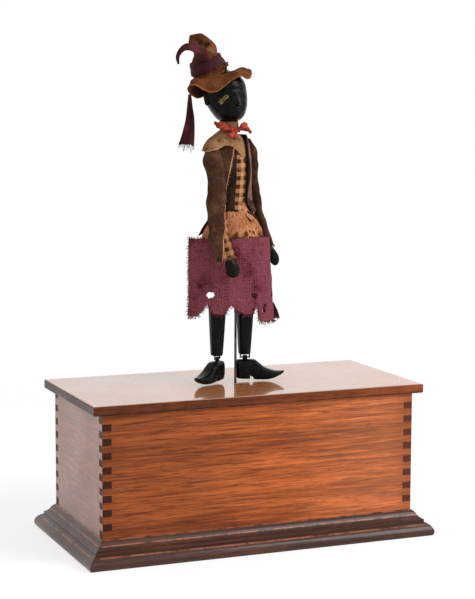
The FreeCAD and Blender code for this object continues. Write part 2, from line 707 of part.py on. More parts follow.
def wood_screws():
    """The screws that hold the plates to their bearers and the rod guide to the lid."""
    screws = []
    length = PLATE_THICK + WOOD_SCREW_LENGTH
    for x, z in bearer_screw_places():
        screws.append(screw_y(x, z, FRONT_PLATE_INNER, 1, WOOD_SCREW_RADIUS, length,
                              WOOD_SCREW_HEAD_RADIUS, WOOD_SCREW_HEAD_THICK))
        screws.append(screw_y(x, z, BACK_PLATE_INNER, -1, WOOD_SCREW_RADIUS, length,
                              WOOD_SCREW_HEAD_RADIUS, WOOD_SCREW_HEAD_THICK))
    plate_foot = BOARD_TOP - GUIDE_PLATE_THICK
    for x, y in guide_screw_places():
        head = cylinder_z(WOOD_SCREW_HEAD_RADIUS, x, y, plate_foot - WOOD_SCREW_HEAD_THICK, plate_foot)
        shank = cylinder_z(WOOD_SCREW_RADIUS, x, y, plate_foot, CASE_HEIGHT - LID_THICK / 2)
        screws.append(head.fuse(shank).removeSplitter())
    return screws


def bearers():
    """Wooden strips on the floor that the plates are screwed to."""
    strips = []
    x0 = PLATE_LEFT + BEARER_INSET
    x1 = PLATE_RIGHT - BEARER_INSET
    top = FLOOR_TOP + BEARER_HEIGHT
    front = FRONT_PLATE_INNER - PLATE_THICK
    back = BACK_PLATE_INNER + PLATE_THICK
    strips.append(box(x0, x1, front - BEARER_DEPTH, front, FLOOR_TOP, top))
    strips.append(box(x0, x1, back, back + BEARER_DEPTH, FLOOR_TOP, top))
    holes = []
    for x, z in bearer_screw_places():
        front = FRONT_PLATE_INNER - PLATE_THICK - WOOD_SCREW_LENGTH
        back = BACK_PLATE_INNER + PLATE_THICK + WOOD_SCREW_LENGTH
        holes.append(cylinder_y(WOOD_SCREW_RADIUS, x, z, front, back))
    return [strip.cut(holes) for strip in strips]


def wheel_flank(radius, pinion_radius, pin_radius):
    """One flank of a tooth that drives a lantern pinion, as angles and radii from the wheel.

    The pin's centre runs on an epicycloid seen from the wheel, and the flank
    keeps the pin's radius from that path along the line to the pitch point.
    """
    points = [((pin_radius + FLANK_CLEARANCE) / radius, radius - pin_radius - ROOT_CLEARANCE)]
    for step in range(FLANK_STEPS + 1):
        roll = math.radians(FLANK_END_DEG) * step / FLANK_STEPS
        spin = (radius + pinion_radius) * roll / pinion_radius
        pin_x = (radius + pinion_radius) * math.cos(roll) - pinion_radius * math.cos(spin)
        pin_y = (radius + pinion_radius) * math.sin(roll) - pinion_radius * math.sin(spin)
        if step == 0:
            points.append(((pin_radius + FLANK_CLEARANCE) / radius, radius))
            continue
        to_x = radius * math.cos(roll) - pin_x
        to_y = radius * math.sin(roll) - pin_y
        reach = (pin_radius + FLANK_CLEARANCE) / math.hypot(to_x, to_y)
        x = pin_x + to_x * reach
        y = pin_y + to_y * reach
        points.append((math.atan2(y, x), math.hypot(x, y)))
    return points


def pin_radius_of(pinion_radius):
    """The pins' radius, as a share of their spacing round the pinion."""
    return PIN_SHARE * 2 * math.pi * pinion_radius / PINION_PINS


def wheel(x, z, radius, pinion_radius, y0, bore_radius, gap_deg, open_arms):
    """A toothed wheel with a gap between teeth at gap_deg."""
    flank = wheel_flank(radius, pinion_radius, pin_radius_of(pinion_radius))
    pitch = 2 * math.pi / WHEEL_TEETH
    outline = []
    for tooth in range(WHEEL_TEETH):
        start = math.radians(gap_deg) + tooth * pitch
        rising = [(start + turn, reach) for turn, reach in flank]
        falling = [(start + pitch - turn, reach) for turn, reach in reversed(flank)]
        for turn, reach in rising + falling:
            outline.append((x + reach * math.cos(turn), z + reach * math.sin(turn)))
    y1 = y0 + WHEEL_THICK
    body = slab_y(outline, y0, y1)
    cuts = [cylinder_y(bore_radius, x, z, y0, y1)]
    if open_arms:
        rim_inner = radius - pin_radius_of(pinion_radius) - ROOT_CLEARANCE - WHEEL_RIM
        ring = cylinder_y(rim_inner, x, z, y0, y1).cut(cylinder_y(WHEEL_HUB_RADIUS, x, z, y0, y1))
        arms = []
        for k in range(WHEEL_SPOKES):
            arm = box(x, x + radius, y0, y1, z - SPOKE_WIDTH / 2, z + SPOKE_WIDTH / 2)
            arm.rotate(vec(x, 0, z), vec(0, -1, 0), CLICK_ANGLE_DEG + 360.0 * k / WHEEL_SPOKES)
            arms.append(arm)
        cuts.append(ring.cut(arms))
    return body.cut(cuts)


def lantern(x, z, pinion_radius, wheel_y, bore_radius, pin_deg):
    """A lantern pinion: pins between two discs, one pin at pin_deg."""
    pin_radius = pin_radius_of(pinion_radius)
    disc_radius = pinion_radius + pin_radius + SHROUD_LIP
    inner0 = wheel_y - SHROUD_GAP
    inner1 = wheel_y + WHEEL_THICK + SHROUD_GAP
    parts = [cylinder_y(disc_radius, x, z, inner0 - SHROUD_THICK, inner0),
             cylinder_y(disc_radius, x, z, inner1, inner1 + SHROUD_THICK)]
    for k in range(PINION_PINS):
        px, pz = polar(x, z, pinion_radius, pin_deg + 360.0 * k / PINION_PINS)
        parts.append(cylinder_y(pin_radius, px, pz, inner0, inner1))
    body = parts[0].fuse(parts[1:]).removeSplitter()
    return body.cut(cylinder_y(bore_radius, x, z, inner0 - SHROUD_THICK, inner1 + SHROUD_THICK))


def arbor(x, z, radius, pivot_radius, y_back):
    """An arbor with a pivot through each plate; y_back is where its back pivot ends."""
    body = cylinder_y(radius, x, z, FRONT_PLATE_INNER + ARBOR_SHAKE, BACK_PLATE_INNER - ARBOR_SHAKE)
    pivot = cylinder_y(pivot_radius, x, z, FRONT_PLATE_INNER - PLATE_THICK, y_back)
    return body.fuse(pivot).removeSplitter()


def winding_arbor():
    """The mainspring's arbor, with a square end behind the box for the key."""
    square_start = DEPTH_HALF + KEY_STANDOFF
    body = arbor(GREAT_AXIS_X, GREAT_AXIS_Z, GREAT_ARBOR_RADIUS, GREAT_PIVOT_RADIUS, square_start)
    half = KEY_SQUARE / 2
    square = box(GREAT_AXIS_X - half, GREAT_AXIS_X + half, square_start,
                 square_start + KEY_SQUARE_LENGTH, GREAT_AXIS_Z - half, GREAT_AXIS_Z + half)
    return body.fuse(square).removeSplitter()


def ratchet_wheel():
    outline = []
    pitch = 360.0 / RATCHET_TEETH
    for tooth in range(RATCHET_TEETH):
        outline.append(polar(GREAT_AXIS_X, GREAT_AXIS_Z, RATCHET_ROOT_RADIUS, tooth * pitch))
        outline.append(polar(GREAT_AXIS_X, GREAT_AXIS_Z, RATCHET_RADIUS, tooth * pitch))
    body = slab_y(outline, RATCHET_Y, RATCHET_Y + WHEEL_THICK)
    return body.cut(cylinder_y(GREAT_ARBOR_RADIUS, GREAT_AXIS_X, GREAT_AXIS_Z, RATCHET_Y,
                               RATCHET_Y + WHEEL_THICK))


def click_pivot():
    return polar(GREAT_AXIS_X, GREAT_AXIS_Z, CLICK_PIVOT_RADIUS, CLICK_ANGLE_DEG)


def click():
    """The pawl on the great wheel, its nose in a tooth of the ratchet wheel."""
    x, z = click_pivot()
    tooth_deg = RATCHET_TOOTH * 360.0 / RATCHET_TEETH
    nose_deg = tooth_deg - CLICK_LEAD_DEG
    nose_radius = RATCHET_ROOT_RADIUS + CLICK_NOSE_GAP + CLICK_LEAD_DEG * RATCHET_TEETH / 180.0
    nose = polar(GREAT_AXIS_X, GREAT_AXIS_Z, nose_radius, nose_deg)
    heel = (nose[0] + CLICK_NOSE_WIDTH, nose[1] + CLICK_NOSE_WIDTH)
    shoulder = polar(GREAT_AXIS_X, GREAT_AXIS_Z, RATCHET_RADIUS + CLICK_TIP_LIFT, nose_deg)
    left = (x - CLICK_NECK, z)
    right = (x + CLICK_EYE_RADIUS, z)
    arm = slab_y([nose, heel, right, left, shoulder], RATCHET_Y, RATCHET_Y + WHEEL_THICK)
    eye = cylinder_y(CLICK_EYE_RADIUS, x, z, RATCHET_Y, RATCHET_Y + WHEEL_THICK)
    hole = cylinder_y(CLICK_STUD_RADIUS + RUNNING_CLEARANCE, x, z, RATCHET_Y, RATCHET_Y + WHEEL_THICK)
    return arm.fuse(eye).removeSplitter().cut(hole)


def great_wheel():
    """The first wheel, with the stud that the click turns on."""
    body = wheel(GREAT_AXIS_X, GREAT_AXIS_Z, GREAT_RADIUS, GREAT_PINION_RADIUS, GREAT_WHEEL_Y,
                 GREAT_ARBOR_RADIUS, SECOND_AXIS_DEG, True)
    x, z = click_pivot()
    stud = cylinder_y(CLICK_STUD_RADIUS, x, z, RATCHET_Y - CLICK_STUD_OUT, GREAT_WHEEL_Y)
    return body.fuse(stud).removeSplitter()


def tapping_wheel():
    """The star that knocks the rocker up as it turns."""
    outline = []
    pitch = 360.0 / TAPPER_TEETH
    for tooth in range(TAPPER_TEETH):
        middle = TAPPER_FIRST_DEG + tooth * pitch
        for radius, share in ((TAPPER_RADIUS, -TAPPER_TIP_SHARE), (TAPPER_RADIUS, TAPPER_TIP_SHARE),
                              (TAPPER_ROOT_RADIUS, TAPPER_ROOT_SHARE),
                              (TAPPER_ROOT_RADIUS, 1 - TAPPER_ROOT_SHARE)):
            outline.append(polar(SECOND_AXIS_X, SECOND_AXIS_Z, radius, middle + share * pitch))
    y0 = ROD_Y - TAPPER_THICK / 2
    body = slab_y(outline, y0, y0 + TAPPER_THICK)
    return body.cut(cylinder_y(ARBOR_RADIUS, SECOND_AXIS_X, SECOND_AXIS_Z, y0, y0 + TAPPER_THICK))


def mainspring():
    """The coiled ribbon, hooked at its outer end behind the post."""
    outer = []
    inner = []
    steps = SPRING_TURNS * SPRING_STEPS
    for i in range(steps + 1):
        share = i / steps
        turn = SPRING_POST_DEG - 360.0 * SPRING_TURNS * (1 - share)
        reach = SPRING_INNER_RADIUS + (SPRING_OUTER_RADIUS - SPRING_INNER_RADIUS) * share
        outer.append(polar(GREAT_AXIS_X, GREAT_AXIS_Z, reach + SPRING_THICK / 2, turn))
        inner.append(polar(GREAT_AXIS_X, GREAT_AXIS_Z, reach - SPRING_THICK / 2, turn))
    y0 = FRONT_PLATE_INNER + SPRING_FRONT
    return slab_y(outer + inner[::-1], y0, y0 + SPRING_HEIGHT)


def fly():
    """A two-bladed fan that the air holds back, with its hub."""
    y0 = FRONT_PLATE_INNER + FLY_FRONT
    half = FLY_SPAN / 2
    vane = box(FLY_AXIS_X - half, FLY_AXIS_X + half, y0, y0 + FLY_WIDTH,
               FLY_AXIS_Z - FLY_VANE_THICK / 2, FLY_AXIS_Z + FLY_VANE_THICK / 2)
    hub = cylinder_y(FLY_HUB_RADIUS, FLY_AXIS_X, FLY_AXIS_Z, y0, y0 + FLY_WIDTH)
    bore = cylinder_y(FLY_ARBOR_RADIUS, FLY_AXIS_X, FLY_AXIS_Z, y0, y0 + FLY_WIDTH)
    return vane.fuse(hub).removeSplitter().cut(bore)


def fly_arbor():
    """The last arbor, with the brake disc behind the back plate."""
    disc_y = BACK_PLATE_INNER + PLATE_THICK + PLATE_THICK
    body = arbor(FLY_AXIS_X, FLY_AXIS_Z, FLY_ARBOR_RADIUS, PIVOT_RADIUS, disc_y + BRAKE_DISC_THICK)
    disc = cylinder_y(BRAKE_DISC_RADIUS, FLY_AXIS_X, FLY_AXIS_Z, disc_y, disc_y + BRAKE_DISC_THICK)
    return body.fuse(disc).removeSplitter()


def winding_key():
    """A two-winged key on the square end of the winding arbor."""
    y0 = DEPTH_HALF + KEY_PLATE_THICK + KEY_STANDOFF
    y1 = y0 + KEY_STEM_LENGTH
    stem = cylinder_y(KEY_STEM_RADIUS, GREAT_AXIS_X, GREAT_AXIS_Z, y0, y1)
    wings = []
    holes = []
    middle_y = y1 + KEY_WING_RADIUS - KEY_WING_THICK
    z0 = GREAT_AXIS_Z - KEY_WING_THICK / 2
    for side in (-1, 1):
        x = GREAT_AXIS_X + side * KEY_WING_SPREAD
        wings.append(cylinder_z(KEY_WING_RADIUS, x, middle_y, z0, z0 + KEY_WING_THICK))
        holes.append(cylinder_z(KEY_WING_HOLE_RADIUS, x, middle_y, z0, z0 + KEY_WING_THICK))
    wings.append(box(GREAT_AXIS_X - KEY_WING_SPREAD, GREAT_AXIS_X + KEY_WING_SPREAD, y1 - KEY_WING_THICK,
                     middle_y + KEY_WING_THICK, z0, z0 + KEY_WING_THICK))
    body = stem.fuse(wings).removeSplitter().cut(holes)
    half = KEY_SQUARE / 2
    socket = box(GREAT_AXIS_X - half, GREAT_AXIS_X + half, y0,
                 DEPTH_HALF + KEY_STANDOFF + KEY_SQUARE_LENGTH, GREAT_AXIS_Z - half, GREAT_AXIS_Z + half)
    return body.cut(socket)


def key_escutcheon():
    """The brass ring round the winding hole."""
    ring = cylinder_y(KEY_PLATE_RADIUS, GREAT_AXIS_X, GREAT_AXIS_Z, DEPTH_HALF,
                      DEPTH_HALF + KEY_PLATE_THICK)
    return ring.cut(cylinder_y(KEY_HOLE_RADIUS, GREAT_AXIS_X, GREAT_AXIS_Z, DEPTH_HALF,
                               DEPTH_HALF + KEY_PLATE_THICK))


def rocker_lever():
    """The lever that the star knocks and the rod stands on, with its own arbor."""
    y0 = ROD_Y - ROCKER_WIDTH / 2
    y1 = ROD_Y + ROCKER_WIDTH / 2
    bar = box(SECOND_AXIS_X - ROCKER_TAIL / 2, ROCKER_AXIS_X, y0, y1, ROCKER_BOTTOM,
              ROCKER_BOTTOM + ROCKER_THICK)
    eye = cylinder_y(ROCKER_EYE_RADIUS, ROCKER_AXIS_X, ROCKER_AXIS_Z, y0, y1)
    bore = cylinder_y(ARBOR_RADIUS, ROCKER_AXIS_X, ROCKER_AXIS_Z, y0, y1)
    lever = bar.fuse(eye).removeSplitter().cut(bore)
    pin = arbor(ROCKER_AXIS_X, ROCKER_AXIS_Z, ARBOR_RADIUS, PIVOT_RADIUS, BACK_PLATE_INNER + PLATE_THICK)
    return [lever, pin]


def stop_lever_y():
    return BACK_PLATE_INNER + PLATE_THICK + PLATE_THICK


def stop_slot():
    """The slot in the back board that the stop lever's handle moves in."""
    turn = math.radians(STOP_RANGE_DEG)
    arm_x = STOP_HANDLE_X - STOP_AXIS_X
    arm_z = STOP_HANDLE_Z - STOP_AXIS_Z
    end_x = STOP_AXIS_X + arm_x * math.cos(turn) + arm_z * math.sin(turn)
    end_z = STOP_AXIS_Z + arm_z * math.cos(turn) - arm_x * math.sin(turn)
    margin = STOP_HANDLE_RADIUS + STOP_SLOT_MARGIN
    return box(min(STOP_HANDLE_X, end_x) - margin, max(STOP_HANDLE_X, end_x) + margin, INNER_DEPTH,
               DEPTH_HALF, min(STOP_HANDLE_Z, end_z) - margin, max(STOP_HANDLE_Z, end_z) + margin)


def stop_lever():
    """The brake lever: an eye, a pad beside the brake disc and a handle out of the back."""
    y0 = stop_lever_y()
    y1 = y0 + STOP_LEVER_THICK
    pad_x = FLY_AXIS_X + BRAKE_DISC_RADIUS + STOP_PAD_GAP
    pad_z = FLY_AXIS_Z - STOP_PAD_HEIGHT / 2
    pad = box(pad_x, pad_x + STOP_PAD_WIDTH, y0, y1, pad_z, pad_z + STOP_PAD_HEIGHT)
    half = STOP_ARM_HALF
    arm = slab_y([(STOP_AXIS_X - half, STOP_AXIS_Z), (STOP_AXIS_X + half, STOP_AXIS_Z),
                  (pad_x + STOP_PAD_WIDTH, pad_z + STOP_PAD_FOOT), (pad_x, pad_z + STOP_PAD_FOOT)], y0, y1)
    reach = slab_y([(STOP_AXIS_X, STOP_AXIS_Z - half), (STOP_HANDLE_X, STOP_HANDLE_Z - half),
                    (STOP_HANDLE_X, STOP_HANDLE_Z + half), (STOP_AXIS_X, STOP_AXIS_Z + half)], y0, y1)
    eye = cylinder_y(STOP_EYE_RADIUS, STOP_AXIS_X, STOP_AXIS_Z, y0, y1)
    boss = cylinder_y(STOP_BOSS_RADIUS, STOP_HANDLE_X, STOP_HANDLE_Z, y0, y1)
    handle_end = DEPTH_HALF + STOP_HANDLE_OUT
    handle = cylinder_y(STOP_HANDLE_RADIUS, STOP_HANDLE_X, STOP_HANDLE_Z, y0, handle_end)
    knob = cylinder_y(STOP_KNOB_RADIUS, STOP_HANDLE_X, STOP_HANDLE_Z, handle_end,
                      handle_end + 2 * STOP_KNOB_RADIUS)
    body = pad.fuse([arm, reach, eye, boss, handle, knob]).removeSplitter()
    return body.cut(cylinder_y(PIVOT_RADIUS + RUNNING_CLEARANCE, STOP_AXIS_X, STOP_AXIS_Z, y0, y1))


def stop_stud():
    """The stud on the back plate that the stop lever turns on."""
    return cylinder_y(PIVOT_RADIUS, STOP_AXIS_X, STOP_AXIS_Z, BACK_PLATE_INNER + PLATE_THICK,
                      stop_lever_y() + STOP_LEVER_THICK + ARBOR_SHAKE)


def guide_screw_places():
    offset = GUIDE_PLATE_LENGTH / 2 - GUIDE_SCREW_INSET
    return [(ROD_X - offset, ROD_Y), (ROD_X + offset, ROD_Y)]


def rod_guide():
    """The brass guide under the lid that the rod slides through."""
    half_x = GUIDE_PLATE_LENGTH / 2
    half_y = GUIDE_PLATE_WIDTH / 2
    body = box(ROD_X - half_x, ROD_X + half_x, ROD_Y - half_y, ROD_Y + half_y,
               BOARD_TOP - GUIDE_PLATE_THICK, BOARD_TOP)
    boss = cylinder_z(GUIDE_BOSS_RADIUS, ROD_X, ROD_Y, BOARD_TOP - GUIDE_BOSS_LENGTH, BOARD_TOP)
    bores = [cylinder_z(ROD_RADIUS + RUNNING_CLEARANCE, ROD_X, ROD_Y, BOARD_TOP - GUIDE_BOSS_LENGTH,
                        BOARD_TOP)]
    for x, y in guide_screw_places():
        bores.append(cylinder_z(WOOD_SCREW_RADIUS, x, y, BOARD_TOP - GUIDE_PLATE_THICK, BOARD_TOP))
    return body.fuse(boss).removeSplitter().cut(bores)


def dancing_rod():
    """The steel rod, with a round foot on the rocker."""
    shaft = cylinder_z(ROD_RADIUS, ROD_X, ROD_Y, ROD_FOOT + ROD_RADIUS, ROD_TOP + FIGURE_RISE)
    foot = Part.makeSphere(ROD_RADIUS, vec(ROD_X, ROD_Y, ROD_FOOT + ROD_RADIUS))
    return shaft.fuse(foot).removeSplitter()


# Half widths of the wooden body, from the hips to the neck, in X and in Y
TORSO_LEVELS = [
    (278.0, 22.5, 12.0), (289.0, 23.0, 12.5), (298.0, 15.0, 11.0), (312.0, 11.5, 9.5),
    (335.0, 12.8, 10.5), (353.0, 13.2, 10.0), (365.0, 13.0, 9.0), (371.5, 10.0, 8.0),
    (376.0, 6.6, 6.6), (HEAD_BOTTOM, 6.0, 6.0)]


def torso_half(z):
    """Half widths of the wooden body at a height, between its levels."""
    for (z0, x0, y0), (z1, x1, y1) in zip(TORSO_LEVELS, TORSO_LEVELS[1:]):
        if z <= z1:
            share = (z - z0) / (z1 - z0)
            return (x0 + (x1 - x0) * share, y0 + (y1 - y0) * share)
    return TORSO_LEVELS[-1][1:]


def torso_ring(z, offset, lift=0.0):
    half_x, half_y = torso_half(z)
    return oval(spine_x(z), BODY_Y, z + lift, half_x + offset, half_y + offset)


def around_torso(levels, inner, outer):
    """A layer of cloth round the body between two offsets."""
    outside = skin([torso_ring(z, outer) for z in levels])
    lifts = [-END_LIP] + [0.0] * (len(levels) - 2) + [END_LIP]
    inside = skin([torso_ring(z, inner, lift) for z, lift in zip(levels, lifts)])
    return outside.cut(inside)


def hollow(rings_out, rings_in):
    """A tube of cloth, open at both ends, between two sets of rings."""
    rings_in[0] = [p - vec(0, 0, math.copysign(END_LIP, rings_in[-1][0].z - p.z)) for p in rings_in[0]]
    rings_in[-1] = [p + vec(0, 0, math.copysign(END_LIP, p.z - rings_in[0][0].z)) for p in rings_in[-1]]
    return skin(rings_out).cut(skin(rings_in))


def arm_axis(aim, outward):
    """The direction of a shoulder wire, outwards; outward is -1 or 1 in X."""
    rise, back = [math.radians(degrees) for degrees in aim]
    return vec(outward * math.cos(rise) * math.cos(back), math.cos(rise) * math.sin(back), math.sin(rise))


def shoulder_wire(place, aim, outward, gap):
    """A wire from inside the body out through an arm."""
    run = arm_axis(aim, outward)
    middle = vec(*place)
    return cylinder_between(SHOULDER_WIRE_RADIUS + gap, middle - run * SHOULDER_WIRE_IN,
                            middle + run * SHOULDER_WIRE_OUT)


def shoulder_wires(gap):
    return [shoulder_wire(RIGHT_SHOULDER, RIGHT_ARM_AIM, -1, gap),
            shoulder_wire(LEFT_SHOULDER, LEFT_ARM_AIM, 1, gap)]


def hip_wire():
    reach = LEG_SPREAD + TONGUE_WIDTH
    return cylinder_between(HIP_WIRE_RADIUS, vec(BODY_X - reach, LEG_Y, HIP_Z),
                            vec(BODY_X + reach, LEG_Y, HIP_Z))


def torso_block():
    """The carved body, slotted for the legs and bored for the rod and the wires."""
    body = skin([torso_ring(z, 0.0) for z, _, _ in TORSO_LEVELS])
    half = TONGUE_WIDTH / 2 + TONGUE_CLEARANCE
    foot = HIP_Z - SLOT_DROP
    cuts = shoulder_wires(0.0) + [hip_wire(), cylinder_z(ROD_RADIUS, ROD_X, ROD_Y, foot, ROD_TOP)]
    for x in (RIGHT_HIP_X, LEFT_HIP_X):
        cuts.append(box(x - half, x + half, -SLOT_REACH, SLOT_REACH, foot,
                        HIP_Z + TONGUE_RADIUS + SLOT_ROOF_GAP))
    return body.cut(cuts)


def along_x(radius, x, half, y, z):
    """A round bar or hole along X, centred at x."""
    return Part.makeCylinder(radius, 2 * half, vec(x - half, y, z), vec(1, 0, 0))


def staple(x, z, along_deg, span):
    """A wire staple driven up into a limb; its bar carries the next piece."""
    wire = along_x(STAPLE_RADIUS, 0.0, span / 2, 0.0, 0.0)
    ends = [cylinder_z(STAPLE_RADIUS, side * span / 2, 0.0, -STAPLE_RADIUS, STAPLE_DEPTH)
            for side in (-1, 1)]
    wire = wire.fuse(ends).removeSplitter()
    wire.rotate(vec(0, 0, 0), vec(0, 0, 1), along_deg)
    wire.translate(vec(x, LEG_Y, z))
    return wire


def eye(span, below):
    """The bored tongue that hangs on a staple's bar, along X at the origin."""
    half = span / 2 - STAPLE_RADIUS - EYE_WIDTH_GAP
    round_top = along_x(EYE_RADIUS, 0.0, half, 0.0, 0.0)
    neck = box(-half, half, -EYE_RADIUS, EYE_RADIUS, -below, 0.0)
    hole = along_x(STAPLE_RADIUS + PIN_CLEARANCE, 0.0, half, 0.0, 0.0)
    return round_top.fuse(neck).removeSplitter().cut(hole)


def leg_ring(x, z, radius):
    return oval(x, LEG_Y, z, radius, radius, LEG_SIDES)


def thigh(x, knee_staple):
    """An upper leg: a tongue on the hip wire above, a wire staple in its end below."""
    half = TONGUE_WIDTH / 2
    tongue = along_x(TONGUE_RADIUS, x, half, LEG_Y, HIP_Z)
    neck = box(x - half, x + half, LEG_Y - TONGUE_RADIUS, LEG_Y + TONGUE_RADIUS,
               THIGH_TOP - EYE_SINK, HIP_Z)
    leg = skin([leg_ring(x, THIGH_END, KNEE_RADIUS - LIMB_EDGE),
                leg_ring(x, THIGH_END + THIGH_FOOT_ROUND, KNEE_RADIUS),
                leg_ring(x, THIGH_TOP - THIGH_TOP_ROUND, THIGH_TOP_RADIUS),
                leg_ring(x, THIGH_TOP, THIGH_TOP_RADIUS - THIGH_TOP_ROUND)])
    hole = along_x(HIP_WIRE_RADIUS + PIN_CLEARANCE, x, half, LEG_Y, HIP_Z)
    return leg.fuse([tongue, neck]).removeSplitter().cut([hole, knee_staple])


def shin(x, ankle_staple):
    """A lower leg: a bored tongue on the knee's staple, a wire staple in its end below."""
    leg = skin([leg_ring(x, SHIN_END, SHIN_END_RADIUS - SHIN_END_EDGE),
                leg_ring(x, SHIN_END + SHIN_FOOT_ROUND, SHIN_END_RADIUS),
                leg_ring(x, SHIN_TOP - SHIN_TOP_ROUND, KNEE_RADIUS),
                leg_ring(x, SHIN_TOP, KNEE_RADIUS - SHIN_TOP_EDGE)])
    top = eye(KNEE_STAPLE_SPAN, KNEE_Z - SHIN_TOP + EYE_SINK)
    top.translate(vec(x, LEG_Y, KNEE_Z))
    return leg.fuse(top).removeSplitter().cut(ankle_staple)


def clog_stations(back):
    """The clog's stations from its back to its toe, along a line through the wire."""
    heel = [(along - back, half, low, high) for along, half, low, high in SHOE_HEEL_STATIONS]
    return heel + SHOE_STATIONS


def clog(x, toe_deg, back):
    """A carved clog hung from the ankle's staple by a bored tongue."""
    rings = []
    for along, half, low, high in clog_stations(back):
        edge = min(SHOE_EDGE, (high - low) * SHOE_EDGE_SHARE)
        inset = min(SHOE_INSET, half * SHOE_INSET_SHARE)
        side = [(half - inset, low), (half, low + edge), (half * SHOE_UPPER_SHARE, high - edge),
                (half * SHOE_CREST_SHARE, high)]
        points = side + [(-y, z) for y, z in reversed(side)]
        rings.append([vec(along, y, z) for y, z in points])
    body = skin(rings)
    slope = SHOE_NOTCH * SHOE_NOTCH_SLOPE
    notch = [(SHOE_HEEL_FRONT, -PAST), (SHOE_HEEL_FRONT + SHOE_NOTCH, -PAST),
             (SHOE_HEEL_FRONT + slope, slope), (SHOE_HEEL_FRONT + SHOE_NOTCH_BACK, SHOE_NOTCH)]
    body = body.cut(slab_y(notch, -SHOE_TOP, SHOE_TOP))
    top = eye(ANKLE_STAPLE_SPAN, CLOG_EYE_SINK)
    top = top.common(box(-SHOE_TOP, SHOE_TOP, -EYE_THICK / 2, EYE_THICK / 2, -SHOE_TOP, SHOE_TOP))
    top.translate(vec(0, 0, ANKLE_Z - SHOE_BOTTOM))
    body = body.fuse(top).removeSplitter()
    body.rotate(vec(0, 0, 0), vec(0, 0, 1), toe_deg)
    body.translate(vec(x, LEG_Y, SHOE_BOTTOM))
    return body


# Arms and sleeves from top to bottom: the middle of each section and its half widths
RIGHT_ARM = [
    (-25.2, -6.9, 355.0, 3.0, 3.0), (-25.2, -7.0, 347.0, 3.0, 2.8), (-23.4, -11.6, 331.0, 3.2, 3.6),
    (-26.0, -17.0, 306.0, 3.6, 3.6),
    (-25.0, -28.4, 283.5, 3.4, 3.0), (-18.2, -34.4, 264.5, 3.2, 2.6), (-16.1, -35.4, 258.0, 4.6, 3.0),
    (-14.7, -35.7, 252.5, 5.9, 3.2), (-13.9, -35.9, 248.0, 4.8, 2.6), (-13.3, -36.0, 245.4, 2.2, 1.6)]
RIGHT_SLEEVE = [
    (-25.2, -7.0, 364.0, 2.0, 2.2), (-25.2, -7.0, 362.6, 3.2, 3.8), (-25.3, -6.7, 358.4, 4.2, 4.1),
    (-26.4, -6.6, 350.5, 6.7, 5.2), (-23.6, -11.4, 332.0, 5.2, 6.8), (-24.9, -14.0, 318.0, 6.4, 6.6),
    (-26.2, -17.4, 305.0, 7.8, 6.4), (-25.9, -25.5, 289.0, 7.9, 6.0), (-24.3, -31.5, 279.0, 7.8, 5.8),
    (-19.4, -34.5, 262.6, 7.6, 5.2)]
LEFT_ARM = [
    (18.1, -1.0, 357.0, 3.0, 3.6), (18.7, -0.5, 340.0, 3.0, 3.6), (22.2, 1.6, 319.0, 3.0, 3.6),
    (26.2, 3.4, 305.0, 3.0, 3.4), (36.0, 7.4, 279.0, 2.2, 2.8), (41.3, 8.3, 268.0, 2.0, 2.2),
    (43.6, 8.6, 263.0, 3.4, 2.8), (45.4, 8.4, 257.4, 4.8, 3.0), (46.2, 8.2, 253.0, 4.0, 2.6),
    (46.4, 8.2, 250.4, 1.8, 1.4)]
LEFT_SLEEVE = [
    (15.7, -1.0, 371.2, 2.0, 3.0), (16.3, -1.0, 369.4, 3.5, 5.0), (17.2, -1.0, 365.0, 4.6, 6.4),
    (18.6, -0.8, 355.0, 5.6, 7.0), (18.7, -0.4, 340.0, 5.1, 6.6), (22.2, 1.6, 319.0, 4.8, 6.2),
    (26.2, 3.4, 305.0, 4.6, 5.8), (31.2, 5.6, 290.0, 4.2, 5.4), (40.9, 8.2, 269.4, 3.4, 4.6)]


def limb(sections, sides, thinner=0.0):
    """A solid through sections of an arm or a sleeve, made thinner all round by a wall."""
    points = [vec(x, y, z) for x, y, z, _, _ in sections]
    last = len(points) - 1
    rings = []
    for i, (point, section) in enumerate(zip(points, sections)):
        run = points[min(i + 1, last)].sub(points[max(i - 1, 0)]).normalize()
        side = vec(1, 0, 0).sub(run * run.x).normalize()
        front = run.cross(side)
        half_x = section[3] - thinner
        half_y = section[4] - thinner
        turns = [2 * math.pi * k / sides for k in range(sides)]
        rings.append([point + side * (half_x * math.cos(t)) + front * (half_y * math.sin(t))
                      for t in turns])
    return rings


def arm(sections, shoulder, aim, outward):
    """A carved arm with its eye on the shoulder wire and a mitten hand."""
    run = arm_axis(aim, outward)
    middle = vec(*shoulder)
    boss = cylinder_between(ARM_EYE_RADIUS, middle - run * ARM_EYE_HALF, middle + run * ARM_EYE_HALF)
    bore = cylinder_between(SHOULDER_WIRE_RADIUS + PIN_CLEARANCE, middle - run * ARM_BORE_REACH,
                            middle + run * ARM_BORE_REACH)
    return skin(limb(sections, HAND_SIDES)).fuse(boss).removeSplitter().cut(bore)


def sleeve(sections, shoulder, aim, outward):
    """A cloth sleeve, closed over the shoulder and open at the cuff."""
    outside = limb(sections, SLEEVE_SIDES)
    inside = limb(sections, SLEEVE_SIDES, CLOTH)
    inside[0] = [p - vec(0, 0, CLOTH) for p in inside[0]]
    inside[-1] = [p + (inside[-1][k] - inside[-2][k]).normalize() * CUFF_LIP
                  for k, p in enumerate(inside[-1])]
    run = arm_axis(aim, outward)
    middle = vec(*shoulder)
    opening = cylinder_between(SHOULDER_WIRE_RADIUS + SLEEVE_BORE_GAP, middle - run * SLEEVE_BORE_REACH,
                               middle)
    return skin(outside).cut([skin(inside), opening])


